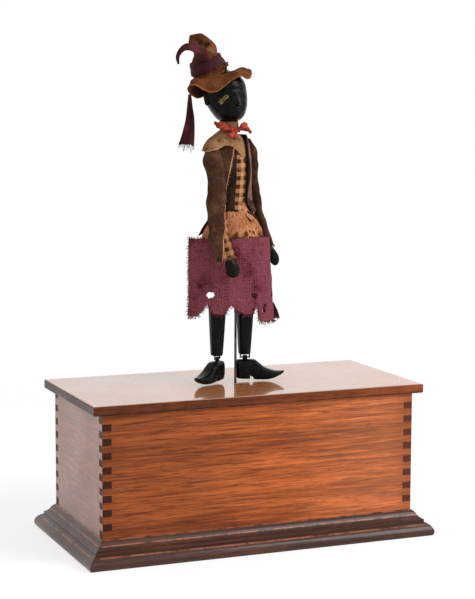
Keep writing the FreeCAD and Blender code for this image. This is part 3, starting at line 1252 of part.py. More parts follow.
def coat_shell():
    """The coat's body, open in front and wider towards its foot."""
    inner = CLOTH + 2 * CLOTH_GAP
    layer = around_torso(COAT_LEVELS, inner, inner + CLOTH)
    low = COAT_LEVELS[0] - PAST
    high = COAT_LEVELS[-1] + PAST
    opening = slab_y([(COAT_LEFT_LOW, low), (COAT_RIGHT, low), (COAT_RIGHT, high), (COAT_LEFT_HIGH, high),
                      (COAT_LEFT_HIGH, COAT_SLANT_HIGH_Z), (COAT_LEFT_LOW, COAT_SLANT_LOW_Z)],
                     BODY_Y - SLOT_REACH, BODY_Y)
    return layer.cut([opening] + shoulder_wires(CLOTH_GAP))


def coat_tail():
    """The coat's tail, spread over the hips at the back."""
    front = box(-CASE_HALF, CASE_HALF, BODY_Y - SLOT_REACH, COAT_TAIL_FRONT_Y,
                COAT_TAIL_RINGS[-1][0] - PAST, COAT_TAIL_RINGS[0][0] + PAST)
    return flared(COAT_TAIL_RINGS).cut(front)


def coat_lining():
    """The dark inner flap between the coat's raw edge and the checked strip."""
    return front_strip(LINING_LOW, LINING_HIGH, COAT_LEFT_LOW - LINING_TUCK, STRIP_LEFT - CLOTH_GAP)


def jacket():
    return [coat_shell(), coat_tail(), coat_lining()]


def front_strip(low, high, left, right):
    """Part of the inner layer of cloth, seen in the coat's opening."""
    levels = [low] + [z for z, _, _ in TORSO_LEVELS if low < z < high] + [high]
    layer = around_torso(levels, CLOTH_GAP, CLOTH_GAP + CLOTH)
    return layer.common(box(left, right, BODY_Y - SLOT_REACH, STRIP_SIDE_Y, low - PAST, high + PAST))


def vest_strip():
    return front_strip(LINING_LOW, STRIP_TOP, STRIP_LEFT, STRIP_RIGHT)


def shirt_front():
    return front_strip(SHIRT_LOW, SHIRT_HIGH, SHIRT_LEFT, SHIRT_RIGHT)


def jacket_buttons():
    """Two round buttons at the right edge of the checked strip."""
    buttons = []
    for x, z in BUTTON_PLACES:
        half_x, half_y = torso_half(z)
        off = (x - spine_x(z) - BUTTON_RADIUS) / (half_x + CLOTH_GAP + CLOTH)
        back = BODY_Y - (half_y + CLOTH_GAP + CLOTH) * math.sqrt(1 - off ** 2) - CLOTH_GAP
        buttons.append(cylinder_y(BUTTON_RADIUS, x, z, back - BUTTON_THICK, back))
    return buttons


def cape_side(degrees):
    """How much a place round the collar belongs to the shoulder, from 0 to 1."""
    return max(0.0, math.cos(math.radians(degrees - CAPE_SHOULDER_DEG))) ** 2


def shirt_cape():
    """The linen collar spread over the figure's right shoulder."""
    rows = []
    for near, height, more, rise, flat in CAPE_ROWS:
        row = []
        for degrees in CAPE_ANGLES:
            turn = math.radians(degrees)
            side = cape_side(degrees)
            radius = near + more * side
            z = height + rise * side
            x = spine_x(z) + radius * math.cos(turn)
            y = BODY_Y + radius * flat * math.sin(turn)
            row.append(vec(x, y, z))
        rows.append(row)
    return sheet(rows, CLOTH)


def shirt_collar():
    """The standing collar round the neck, under the chin."""
    out = [oval(spine_x(z), BODY_Y, z, r, r) for z, r in COLLAR_LEVELS]
    inside = [oval(spine_x(z), BODY_Y, z, r - CLOTH, r - CLOTH) for z, r in COLLAR_LEVELS]
    return hollow(out, inside)


def flared(rings):
    """Cloth that flares over the hips through level rings."""
    out = [oval(spine_x(z), BODY_Y, z, hx, hy, SKIRTING_SIDES) for z, hx, hy in rings]
    inside = [oval(spine_x(z), BODY_Y, z, hx - CLOTH, hy - CLOTH, SKIRTING_SIDES) for z, hx, hy in rings]
    return hollow(out, inside)


def waist_cloth():
    """The linen shirt tail that flares over the hips."""
    return flared(WAIST_RINGS)


# The skirt's columns, from its raw left edge round to the back: X and Y at its top, then its hem
SKIRT_COLUMNS = [
    (-45.0, -4.0, 208.4), (-42.6, -9.0, 208.0), (-39.2, -13.6, 209.5), (-35.4, -17.0, 215.0),
    (-32.2, -19.0, 219.6), (-28.6, -20.8, 211.8), (-23.0, -22.3, 210.4), (-17.4, -23.2, 211.2),
    (-14.2, -23.5, 217.0), (-11.2, -23.7, 218.4), (-7.6, -23.7, 215.4), (-2.6, -23.6, 211.6),
    (2.6, -23.4, 209.6), (8.2, -23.0, 211.0), (10.4, -22.7, 215.5), (12.2, -22.3, 204.0),
    (17.6, -20.8, 202.4), (23.0, -18.4, 201.6), (28.0, -14.8, 202.8), (31.6, -9.6, 201.2),
    (32.6, -4.2, 200.8), (31.2, 0.8, 202.4), (28.0, 5.6, 199.0)]


def skirt():
    """A hanging rectangle of coarse cloth with a worn hem, open at the back."""
    rows = []
    count = len(SKIRT_COLUMNS)
    for i in range(SKIRT_ROWS + 1):
        drop = i / SKIRT_ROWS
        row = []
        for k, (x, y, hem) in enumerate(SKIRT_COLUMNS):
            out = vec(x - BODY_X, (y - BODY_Y) * 2.0, 0).normalize()
            wave = SKIRT_FOLD_DEPTH * math.sin(2 * math.pi * SKIRT_FOLDS * k / count)
            push = (SKIRT_FLARE_LEFT + (SKIRT_FLARE_RIGHT - SKIRT_FLARE_LEFT) * k / count + wave) * drop
            row.append(vec(x + out.x * push, y + out.y * push, SKIRT_TOP + (hem - SKIRT_TOP) * drop))
        rows.append(row)
    holes = [cylinder_y(r, x, z, -SLOT_REACH, 0) for x, z, r in SKIRT_HOLES]
    return sheet(rows, CLOTH).cut(holes)


def head_centre_x():
    return spine_x(HEAD_BOTTOM + HEAD_HEIGHT / 2) + HEAD_SHIFT


def head_rings(gap):
    """The head's level rings, with room round them."""
    rings = []
    for share, wide, deep, face in HEAD_LEVELS:
        z = HEAD_BOTTOM + HEAD_HEIGHT * share
        ring_x = spine_x(z) + HEAD_SHIFT * min(1.0, share * HEAD_SHIFT_SHARE)
        rings.append(oval(ring_x, BODY_Y - face * HEAD_DEPTH, z, wide * HEAD_WIDTH / 2 + gap,
                          deep * HEAD_DEPTH / 2 + gap))
    rings[-1] = [p + vec(0, 0, gap) for p in rings[-1]]
    return rings


def turned(shape):
    """Turned with the head about its own upright line."""
    shape.rotate(vec(head_centre_x(), BODY_Y, 0), vec(0, 0, 1), HEAD_TURN_DEG)
    return shape


def head():
    """The carved head: an egg with a nose, set on the neck."""
    x = head_centre_x()
    front = BODY_Y - HEAD_DEPTH / 2
    z0 = HEAD_BOTTOM + HEAD_HEIGHT * NOSE_LOW_SHARE
    z1 = HEAD_BOTTOM + HEAD_HEIGHT * NOSE_HIGH_SHARE
    low_y = front + NOSE_SINK_LOW
    high_y = front + NOSE_SINK_HIGH
    base = [vec(x - NOSE_HALF_LOW, low_y, z0), vec(x + NOSE_HALF_LOW, low_y, z0),
            vec(x + NOSE_HALF_HIGH, high_y, z1), vec(x - NOSE_HALF_HIGH, high_y, z1)]
    tip = vec(x, front - NOSE_OUT, z0 + NOSE_TIP_UP)
    nose = shell_solid([triangle(base[0], base[1], base[2]), triangle(base[0], base[2], base[3]),
                        triangle(base[0], base[1], tip), triangle(base[1], base[2], tip),
                        triangle(base[2], base[3], tip), triangle(base[3], base[0], tip)])
    return turned(skin(head_rings(0.0)).fuse(nose))


# The hat's crown from its foot to its top: middle, half widths, and its tilt
CROWN_RINGS = [
    ((-21.5, 0.5, 427.5), 17.4, 16.6, 14.0), ((-24.0, 0.6, 432.3), 16.0, 15.0, 21.0),
    ((-28.0, 1.2, 443.2), 12.9, 12.4, 21.0), ((-27.4, 1.6, 449.6), 11.0, 10.6, 10.0),
    ((-30.4, 2.2, 456.4), 12.2, 10.6, 0.0), ((-32.9, 2.6, 461.4), 9.2, 8.2, -4.0),
    ((-36.0, 3.0, 465.2), 4.4, 4.0, -10.0)]


# The brim's outer edge: angle round the head, distance from its middle, height, and its middle's height
BRIM_EDGE = [
    (0.0, 23.5, 432.4, 433.0), (28.0, 23.3, 429.0, 431.0), (55.0, 23.0, 425.0, 428.6),
    (91.0, 23.0, 416.0, 423.6), (118.0, 23.0, 409.0, 418.0), (140.0, 25.5, 407.0, 415.0),
    (160.0, 30.0, 410.5, 417.0), (175.0, 33.0, 414.0, 420.0), (187.0, 35.0, 417.6, 422.6),
    (204.0, 36.2, 418.8, 423.8), (217.0, 36.4, 414.8, 421.6), (228.0, 34.8, 412.0, 420.4),
    (238.0, 31.0, 413.4, 421.4), (250.0, 26.4, 417.8, 424.6), (266.0, 23.6, 422.6, 427.6),
    (282.0, 22.6, 425.8, 430.2), (298.0, 22.6, 426.6, 431.4), (316.0, 23.8, 424.8, 432.4),
    (330.0, 25.0, 426.0, 433.6), (342.0, 25.2, 431.2, 434.2)]


def hat_ring(centre, half_x, half_y, tilt_deg):
    """An oval ring tilted sideways about its own middle, with a point for each of the brim's."""
    tilt = math.radians(tilt_deg)
    ring = []
    for degrees, _, _, _ in BRIM_EDGE:
        around = math.radians(degrees)
        across = half_x * math.cos(around)
        ring.append(vec(centre[0] + across * math.cos(tilt), centre[1] + half_y * math.sin(around),
                        centre[2] + across * math.sin(tilt)))
    return ring


def crown_rings(thinner):
    """The crown's rings from its top to its foot, made thinner all round by a wall."""
    rings = []
    for centre, half_x, half_y, tilt in CROWN_RINGS:
        rings.append(hat_ring(centre, half_x - thinner, half_y - thinner, tilt))
    rings[-1] = [p - vec(0, 0, thinner) for p in rings[-1]]
    return rings[::-1]


def brim_rings():
    """The middle and the edge of the brim's lower face."""
    middles = []
    edges = []
    for foot, (degrees, radius, edge_z, middle_z) in zip(crown_rings(0.0)[-1], BRIM_EDGE):
        turn = math.radians(degrees)
        edge = vec(BRIM_X + radius * math.cos(turn), BODY_Y + radius * math.sin(turn), edge_z)
        middle = foot + (edge - foot) * BRIM_MIDDLE_SHARE
        middles.append(vec(middle.x, middle.y, middle_z))
        edges.append(edge)
    return middles, edges


def felt_hat():
    """Crown and brim in one thickness of felt, torn open in front and hollowed for the head."""
    middles, edges = brim_rings()
    high = [[p + vec(0, 0, FELT) for p in ring] for ring in (middles, edges)]
    inside = crown_rings(FELT)[::-1]
    inside[0] = [p - vec(0, 0, FELT) for p in inside[0]]
    felt = skin(crown_rings(0.0) + high + [edges, middles] + inside)
    tear = skin([oval(0, 0, z, TEAR_HALF_X, TEAR_HALF_Z, TEAR_SIDES) for z in (0, TEAR_REACH)])
    tear.rotate(vec(0, 0, 0), vec(1, 0, 0), 90.0 - TEAR_UP_DEG)
    tear.rotate(vec(0, 0, 0), vec(0, 0, 1), -TEAR_TURN_DEG)
    tear.translate(vec(*TEAR_PLACE))
    room = turned(skin(head_rings(CLOTH_GAP)))
    return felt.cut([tear, room])


def hat_band():
    """The wide ribbon wound round the foot of the crown."""
    (low, low_x, low_y, low_tilt), (high, high_x, high_y, high_tilt) = CROWN_RINGS[1:3]
    out = []
    inside = []
    for share in (1 - BAND_EDGE_SHARE, BAND_EDGE_SHARE):
        centre = tuple(low[n] + (high[n] - low[n]) * share for n in range(3))
        half_x = low_x + (high_x - low_x) * share + BAND_GAP
        half_y = low_y + (high_y - low_y) * share + BAND_GAP
        tilt = low_tilt + (high_tilt - low_tilt) * share
        out.append(hat_ring(centre, half_x + CLOTH, half_y + CLOTH, tilt))
        inside.append(hat_ring(centre, half_x, half_y, tilt))
    return hollow(out, inside)


def band_curl():
    """The ribbon's stiff end, curling up and over to the left."""
    rows = []
    last = len(CURL_PATH) - 1
    for i, (x, y, z, half, lean) in enumerate(CURL_PATH):
        before = CURL_PATH[max(i - 1, 0)]
        after = CURL_PATH[min(i + 1, last)]
        run = vec(after[0] - before[0], 0, after[2] - before[2]).normalize()
        across = vec(run.z, lean, -run.x) * half
        point = vec(x, y, z)
        rows.append([point - across, point, point + across])
    return sheet(rows, CLOTH)


def hanging_tail():
    """The ribbon's long end, hanging behind the ear and widening downwards."""
    rows = []
    for x, z, half in TAIL_PATH:
        rows.append([vec(x + half * share, y, z - half * drop) for share, y, drop in TAIL_FOLD])
    return sheet(rows, CLOTH)


def hat_ribbons():
    """The band round the crown, its curled end and the hanging tail."""
    return [hat_band(), band_curl(), hanging_tail()]


def bow_piece(path):
    """One loop or fall of the bow through level ovals: a place, a half width and a half height."""
    rings = []
    for x, y, z, half_x, half_z in path:
        turns = [2 * math.pi * k / BOW_SIDES for k in range(BOW_SIDES)]
        if half_x:
            rings.append([vec(x + half_x * math.cos(t), y + BOW_THICK * math.sin(t), z) for t in turns])
        else:
            rings.append([vec(x, y + BOW_THICK * math.cos(t), z + half_z * math.sin(t)) for t in turns])
    return skin(rings)


def bow():
    """The neckerchief: a knot, two loops and a pointed fall."""
    return bow_piece(BOW_KNOT).fuse([bow_piece(path) for path in (BOW_LEFT, BOW_RIGHT, BOW_FALL)])


def risen(shape):
    """A part of the figure, raised with the lid that it dances over."""
    if isinstance(shape, list):
        shape = Part.makeCompound(shape)
    shape.translate(vec(0, 0, FIGURE_RISE))
    return shape


def save(name, shape):
    """Writes a sub-part to its own file."""
    if isinstance(shape, list):
        shape = Part.makeCompound(shape)
    shape.exportStep(os.path.join("parts", name + ".step"))


def case_parts():
    """The box, its lid and its plinth."""
    screws = wood_screws()
    key_hole = cylinder_y(KEY_HOLE_RADIUS, GREAT_AXIS_X, GREAT_AXIS_Z, INNER_DEPTH, DEPTH_HALF)
    return {
        "front_board": long_board(-DEPTH_HALF, -INNER_DEPTH),
        "back_board": long_board(INNER_DEPTH, DEPTH_HALF).cut([stop_slot(), key_hole]),
        "left_board": side_board(-CASE_HALF, -INNER_HALF),
        "right_board": side_board(INNER_HALF, CASE_HALF),
        "bottom_board": box(-INNER_HALF, INNER_HALF, -INNER_DEPTH, INNER_DEPTH, FLOOR_BOTTOM, FLOOR_TOP),
        "lid": lid().cut(screws),
        "plinth_front": plinth_strip(True, -1),
        "plinth_back": plinth_strip(True, 1),
        "plinth_left": plinth_strip(False, -1),
        "plinth_right": plinth_strip(False, 1),
        "glue_blocks": glue_blocks(),
        "wood_screws": screws,
        "key_escutcheon": key_escutcheon()}


def movement_parts():
    """The clockwork, its frame, its levers and the rod."""
    plate_back = BACK_PLATE_INNER + PLATE_THICK
    return {
        "front_plate": plate(FRONT_PLATE_INNER - PLATE_THICK, FRONT_PLATE_INNER),
        "back_plate": plate(BACK_PLATE_INNER, plate_back).fuse(stop_stud()),
        "plate_pillars": plate_pillars(),
        "plate_screws": plate_screws(),
        "movement_bearers": bearers(),
        "rod_guide": rod_guide(),
        "mainspring": mainspring(),
        "winding_arbor": winding_arbor(),
        "great_wheel": great_wheel(),
        "ratchet_wheel": ratchet_wheel(),
        "winding_key": winding_key(),
        "click": click(),
        "second_arbor": arbor(SECOND_AXIS_X, SECOND_AXIS_Z, ARBOR_RADIUS, PIVOT_RADIUS, plate_back),
        "second_pinion": lantern(SECOND_AXIS_X, SECOND_AXIS_Z, GREAT_PINION_RADIUS, GREAT_WHEEL_Y,
                                 ARBOR_RADIUS, SECOND_AXIS_DEG + HALF_TURN_DEG),
        "second_wheel": wheel(SECOND_AXIS_X, SECOND_AXIS_Z, SECOND_RADIUS, SECOND_PINION_RADIUS,
                              SECOND_WHEEL_Y, ARBOR_RADIUS, FLY_AXIS_DEG, False),
        "tapping_wheel": tapping_wheel(),
        "fly_arbor": fly_arbor(),
        "fly_pinion": lantern(FLY_AXIS_X, FLY_AXIS_Z, SECOND_PINION_RADIUS, SECOND_WHEEL_Y,
                              FLY_ARBOR_RADIUS, FLY_AXIS_DEG + HALF_TURN_DEG),
        "fly": fly(),
        "rocker_lever": rocker_lever(),
        "stop_lever": stop_lever(),
        "dancing_rod": dancing_rod()}


def figure_parts():
    """The jointed doll, its clothes and its hat."""
    right_ankle = staple(RIGHT_HIP_X, ANKLE_Z, SHOE_RIGHT_DEG, ANKLE_STAPLE_SPAN)
    left_ankle = staple(LEFT_HIP_X, ANKLE_Z, SHOE_LEFT_DEG, ANKLE_STAPLE_SPAN)
    right_knee = staple(RIGHT_HIP_X, KNEE_Z, 0.0, KNEE_STAPLE_SPAN)
    left_knee = staple(LEFT_HIP_X, KNEE_Z, 0.0, KNEE_STAPLE_SPAN)
    return {
        "torso_block": torso_block(),
        "pivot_wires": shoulder_wires(0.0) + [hip_wire()],
        "head": head(),
        "felt_hat": felt_hat(),
        "hat_ribbons": hat_ribbons(),
        "bow": bow(),
        "linen_shirt": [shirt_cape(), shirt_collar(), shirt_front()],
        "vest_strip": vest_strip(),
        "jacket": jacket(),
        "jacket_buttons": jacket_buttons(),
        "waist_cloth": waist_cloth(),
        "skirt": skirt(),
        "right_arm": arm(RIGHT_ARM, RIGHT_SHOULDER, RIGHT_ARM_AIM, -1),
        "right_sleeve": sleeve(RIGHT_SLEEVE, RIGHT_SHOULDER, RIGHT_ARM_AIM, -1),
        "left_arm": arm(LEFT_ARM, LEFT_SHOULDER, LEFT_ARM_AIM, 1),
        "left_sleeve": sleeve(LEFT_SLEEVE, LEFT_SHOULDER, LEFT_ARM_AIM, 1),
        "right_thigh": [thigh(RIGHT_HIP_X, right_knee), right_knee],
        "left_thigh": [thigh(LEFT_HIP_X, left_knee), left_knee],
        "right_shin": shin(RIGHT_HIP_X, right_ankle),
        "left_shin": shin(LEFT_HIP_X, left_ankle),
        "right_ankle_wire": right_ankle,
        "left_ankle_wire": left_ankle,
        "right_clog": clog(RIGHT_HIP_X, SHOE_RIGHT_DEG, SHOE_RIGHT_BACK),
        "left_clog": clog(LEFT_HIP_X, SHOE_LEFT_DEG, SHOE_LEFT_BACK)}


def build():
    """Every sub-part by name."""
    figure = {name: risen(shape) for name, shape in figure_parts().items()}
    return {**case_parts(), **movement_parts(), **figure}


os.makedirs("parts", exist_ok=True)
PARTS = build()
for part_name, part_shape in PARTS.items():
    save(part_name, part_shape)
print(len(PARTS), "sub-parts")
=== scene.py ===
import logging
import math
from contextlib import contextmanager
from dataclasses import dataclass
from enum import Enum
from typing import Callable, Iterator, Sequence

import bmesh
import bpy
import numpy as np
from mathutils import Matrix, Vector, noise


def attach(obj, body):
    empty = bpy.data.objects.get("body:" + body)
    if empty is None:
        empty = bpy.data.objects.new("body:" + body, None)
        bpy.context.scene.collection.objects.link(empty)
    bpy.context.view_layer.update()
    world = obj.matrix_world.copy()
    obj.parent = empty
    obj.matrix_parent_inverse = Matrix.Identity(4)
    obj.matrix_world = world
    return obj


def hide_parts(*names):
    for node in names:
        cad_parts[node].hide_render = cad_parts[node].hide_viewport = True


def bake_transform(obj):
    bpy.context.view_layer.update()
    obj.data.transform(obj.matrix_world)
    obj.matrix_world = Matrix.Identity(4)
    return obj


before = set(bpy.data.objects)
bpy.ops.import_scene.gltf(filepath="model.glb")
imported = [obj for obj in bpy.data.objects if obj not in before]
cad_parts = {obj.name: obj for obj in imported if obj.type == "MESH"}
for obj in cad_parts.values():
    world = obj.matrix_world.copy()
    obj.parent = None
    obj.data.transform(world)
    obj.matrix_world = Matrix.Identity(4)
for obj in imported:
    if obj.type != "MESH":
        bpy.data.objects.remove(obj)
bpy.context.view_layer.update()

MM = 0.001
TAU = 2 * math.pi
LOG = logging.getLogger("dancer")

Points = Sequence[Sequence[float]]
Place = tuple[float, float, float]
Object = bpy.types.Object
Material = bpy.types.Material
Node = bpy.types.Node
NodeTree = bpy.types.NodeTree
Socket = bpy.types.NodeSocket


class Body(Enum):
    """The moving bodies that the pieces ride on."""

    DANCER = "dancer"
    RIGHT_ARM = "right_arm"
    LEFT_ARM = "left_arm"
    RIGHT_THIGH = "right_thigh"
    LEFT_THIGH = "left_thigh"
    RIGHT_SHIN = "right_shin"
    LEFT_SHIN = "left_shin"
    RIGHT_CLOG = "right_clog"
    LEFT_CLOG = "left_clog"


class Grain(Enum):
    """The way a board's grain runs."""

    ALONG_X = 0
    ALONG_Y = 1


# ---- lines, nets and meshes; all the sizes below are millimetres until a mesh is made


def wobble(x: float, y: float, z: float) -> float:
    """The smooth noise at a place, about from -1 to 1."""
    return noise.noise(Vector((x, y, z)))


def around(sides: int) -> tuple[np.ndarray, np.ndarray]:
    """The cosines and sines of a full turn."""
    turns = np.arange(sides) * TAU / sides
    return np.cos(turns), np.sin(turns)


def squared(values: np.ndarray, power: float) -> np.ndarray:
    """Cosines or sines that make an oval squarer, the more so the lower the power."""
    return np.sign(values) * np.abs(values) ** power


def ringed(grid: np.ndarray) -> np.ndarray:
    """A net of rings with its first column again at the end."""
    return np.concatenate([grid, grid[:, :1]], axis=1)


def fray(grid: np.ndarray, rows: int, *waves: Sequence[float], inmost: float = 1.0) -> None:
    """Waves a net's edge up and down, as worn cloth lies.

    Args:
        grid: the net, which is changed.
        rows: how many of its last rows move, or of its first ones if below nought.
        waves: each wave's depth, its pace from point to point and its place in the noise.
        inmost: the share of the waves that the inmost of these rows gets.
    """
    place = slice(-rows) if rows < 0 else slice(-rows, None)
    shares = np.linspace(1, inmost, -rows) if rows < 0 else np.linspace(inmost, 1, rows)
    for j in range(grid.shape[1]):
        grid[place, j, 2] += sum(depth * wobble(j * pace, y, z) for depth, pace, y, z in waves) * shares


@contextmanager
def editing(mesh: bpy.types.Mesh) -> Iterator[bmesh.types.BMesh]:
    """Opens a mesh for changes, and keeps them."""
    work = bmesh.new()
    work.from_mesh(mesh)
    yield work
    work.to_mesh(mesh)
    work.free()


def through(points: Points, count: int, closed: bool = False) -> np.ndarray:
    """Lays a smooth line through points.

    Args:
        points: the places or values that it passes through.
        count: how many points it is made of.
        closed: whether it ends where it starts.

    Returns:
        The line's points, one row each.
    """
    given = np.asarray(points, float)
    total = len(given)
    spans = total if closed else total - 1
    place = np.linspace(0, spans, count, endpoint=not closed)
    span = np.minimum(place.astype(int), spans - 1)
    share = (place - span)[:, None]

    def at(index: np.ndarray) -> np.ndarray:
        """The given point with that number."""
        return given[index % total] if closed else given[np.clip(index, 0, total - 1)]

    a, b, c, d = at(span - 1), at(span), at(span + 1), at(span + 2)
    return 0.5 * (2 * b + (c - a) * share + (2 * a - 5 * b + 4 * c - d) * share ** 2
                  + (3 * b - a - 3 * c + d) * share ** 3)


def net(rows: Sequence[Points], across: int, down: int, closed: bool = False) -> np.ndarray:
    """Lays a smooth surface through rows of points.

    Args:
        rows: rows of as many points each.
        across: how many points each new row has.
        down: how many new rows there are.
        closed: whether each row is a ring.

    Returns:
        An array of down by across points.
    """
    wide = np.array([through(row, across, closed) for row in rows])
    return np.array([through(wide[:, k], down) for k in range(across)]).transpose(1, 0, 2)


def normals(grid: np.ndarray, closed: bool = False) -> np.ndarray:
    """The unit normal at each point of a net."""
    along = np.roll(grid, -1, axis=1) - np.roll(grid, 1, axis=1) if closed else np.gradient(grid, axis=1)
    cross = np.cross(along, np.gradient(grid, axis=0))
    return cross / np.maximum(np.linalg.norm(cross, axis=2, keepdims=True), 1e-9)


def crumple(grid: np.ndarray, size: float, depth: float, seed: float, closed: bool = False,
            stretch: Place = (1.0, 1.0, 1.0)) -> np.ndarray:
    """Pushes a net in and out along its normals, as worn cloth lies.

    Args:
        grid: the net.
        size: how wide a crease is.
        depth: how far it moves a point at most.
        seed: which creases.
        closed: whether the rows are rings.
        stretch: how much longer a crease is along each axis.

    Returns:
        The moved net.
    """
    off = normals(grid, closed)
    moved = grid.copy()
    for spot in np.ndindex(grid.shape[:2]):
        x, y, z = grid[spot] / stretch
        moved[spot] += off[spot] * depth * noise.noise(Vector((x + seed, y - seed, z)) / size)
    return moved


def link(name: str, mesh: bpy.types.Mesh, smooth: bool = True) -> Object:
    """Puts a mesh in the scene, shaded smooth unless told otherwise."""
    for polygon in mesh.polygons:
        polygon.use_smooth = smooth
    piece = bpy.data.objects.new(name, mesh)
    bpy.context.scene.collection.objects.link(piece)
    return piece


def quads(down: int, across: int, columns: int) -> list[tuple[int, int, int, int]]:
    """The faces between the points of a net, that many to a row."""
    return [(i * across + j, i * across + (j + 1) % across, (i + 1) * across + (j + 1) % across,
             (i + 1) * across + j) for i in range(down - 1) for j in range(columns)]


def surface(name: str, grid: np.ndarray, closed: bool = False,
            gone: Callable[[np.ndarray], bool] | None = None) -> Object:
    """Makes a mesh of a net, with a UV map in decimetres along the cloth.

    Args:
        name: the piece's name.
        grid: the net, in millimetres.
        closed: whether its rows are rings.
        gone: says of a face's middle whether the face is worn away.

    Returns:
        The new piece.
    """
    down, across, _ = grid.shape
    mesh = bpy.data.meshes.new(name)
    wrapped = ringed(grid) if closed else grid
    steps_u = np.linalg.norm(np.diff(wrapped, axis=1), axis=2).mean(axis=0)
    steps_v = np.linalg.norm(np.diff(grid, axis=0), axis=2).mean(axis=1)
    u, v = (np.concatenate([[0], np.cumsum(steps)]) * 0.01 for steps in (steps_u, steps_v))
    faces, uvs = [], []
    for face in quads(down, across, wrapped.shape[1] - 1):
        i, j = divmod(face[0], across)
        if gone and gone((grid[i, j] + grid[i + 1, (j + 1) % across]) / 2):
            continue
        faces.append(face)
        uvs += [(u[j], v[i]), (u[j + 1], v[i]), (u[j + 1], v[i + 1]), (u[j], v[i + 1])]
    mesh.from_pydata([tuple(p * MM) for p in grid.reshape(-1, 3)], [], faces)
    mesh.uv_layers.new(name="cloth").data.foreach_set("uv", np.array(uvs).ravel())
    with editing(mesh) as work:
        loose = [vert for vert in work.verts if not vert.link_faces]
        bmesh.ops.delete(work, geom=loose, context="VERTS")
    return link(name, mesh)


def thicken(piece: Object, thick: float = 0.8, offset: float = 0.0) -> None:
    """Gives a sheet its thickness, inside it where the offset is -1."""
    solid = piece.modifiers.new("thickness", "SOLIDIFY")
    solid.thickness = thick * MM
    solid.offset = offset
    solid.use_even_offset = False


def loft(name: str, rings: np.ndarray) -> Object:
    """Makes a closed body through rings, with a fan at each end."""
    down, across, _ = rings.shape
    mesh = bpy.data.meshes.new(name)
    verts = [tuple(p * MM) for p in rings.reshape(-1, 3)]
    faces = quads(down, across, across)
    for row in (0, down - 1):
        middle = len(verts)
        verts.append(tuple(rings[row].mean(axis=0) * MM))
        for j in range(across):
            faces.append((row * across + j, row * across + (j + 1) % across, middle))
    mesh.from_pydata(verts, [], faces)
    with editing(mesh) as work:
        bmesh.ops.remove_doubles(work, verts=work.verts, dist=1e-6)
        bmesh.ops.recalc_face_normals(work, faces=work.faces)
    return link(name, mesh)


def tube(name: str, path: Points, radius: float, sides: int, count: int) -> Object:
    """Makes a round strand along a smooth line.

    Args:
        name: the piece's name.
        path: points that the line passes through.
        radius: its radius.
        sides: how many faces it has round.
        count: how many rings it has.

    Returns:
        The new piece.
    """
    line = through(path, count)
    cos, sin = around(sides)
    side = np.array([0.31, 0.52, 0.79])
    rings = []
    for spot, run in zip(line, np.gradient(line, axis=0)):
        run = run / np.linalg.norm(run)
        side = side - run * side.dot(run)
        side = side / np.linalg.norm(side)
        rings.append(spot + radius * (np.outer(cos, side) + np.outer(sin, np.cross(run, side))))
    return loft(name, np.array(rings))


def join(name: str, parts: Sequence[Object]) -> Object:
    """Makes one piece of several plain meshes."""
    work = bmesh.new()
    for part in parts:
        work.from_mesh(part.data)
    mesh = bpy.data.meshes.new(name)
    work.to_mesh(mesh)
    work.free()
    for part in parts:
        bpy.data.objects.remove(part)
    return link(name, mesh)


def oval(x: float, y: float, z: float, half_x: float, half_y: float, sides: int = 32,
         power: float = 1.0) -> np.ndarray:
    """A level oval ring, squarer where the power is below one."""
    cos, sin = around(sides)
    return np.stack([x + half_x * squared(cos, power), y + half_y * squared(sin, power), np.full(sides, z)],
                    axis=1)


# ---- node trees


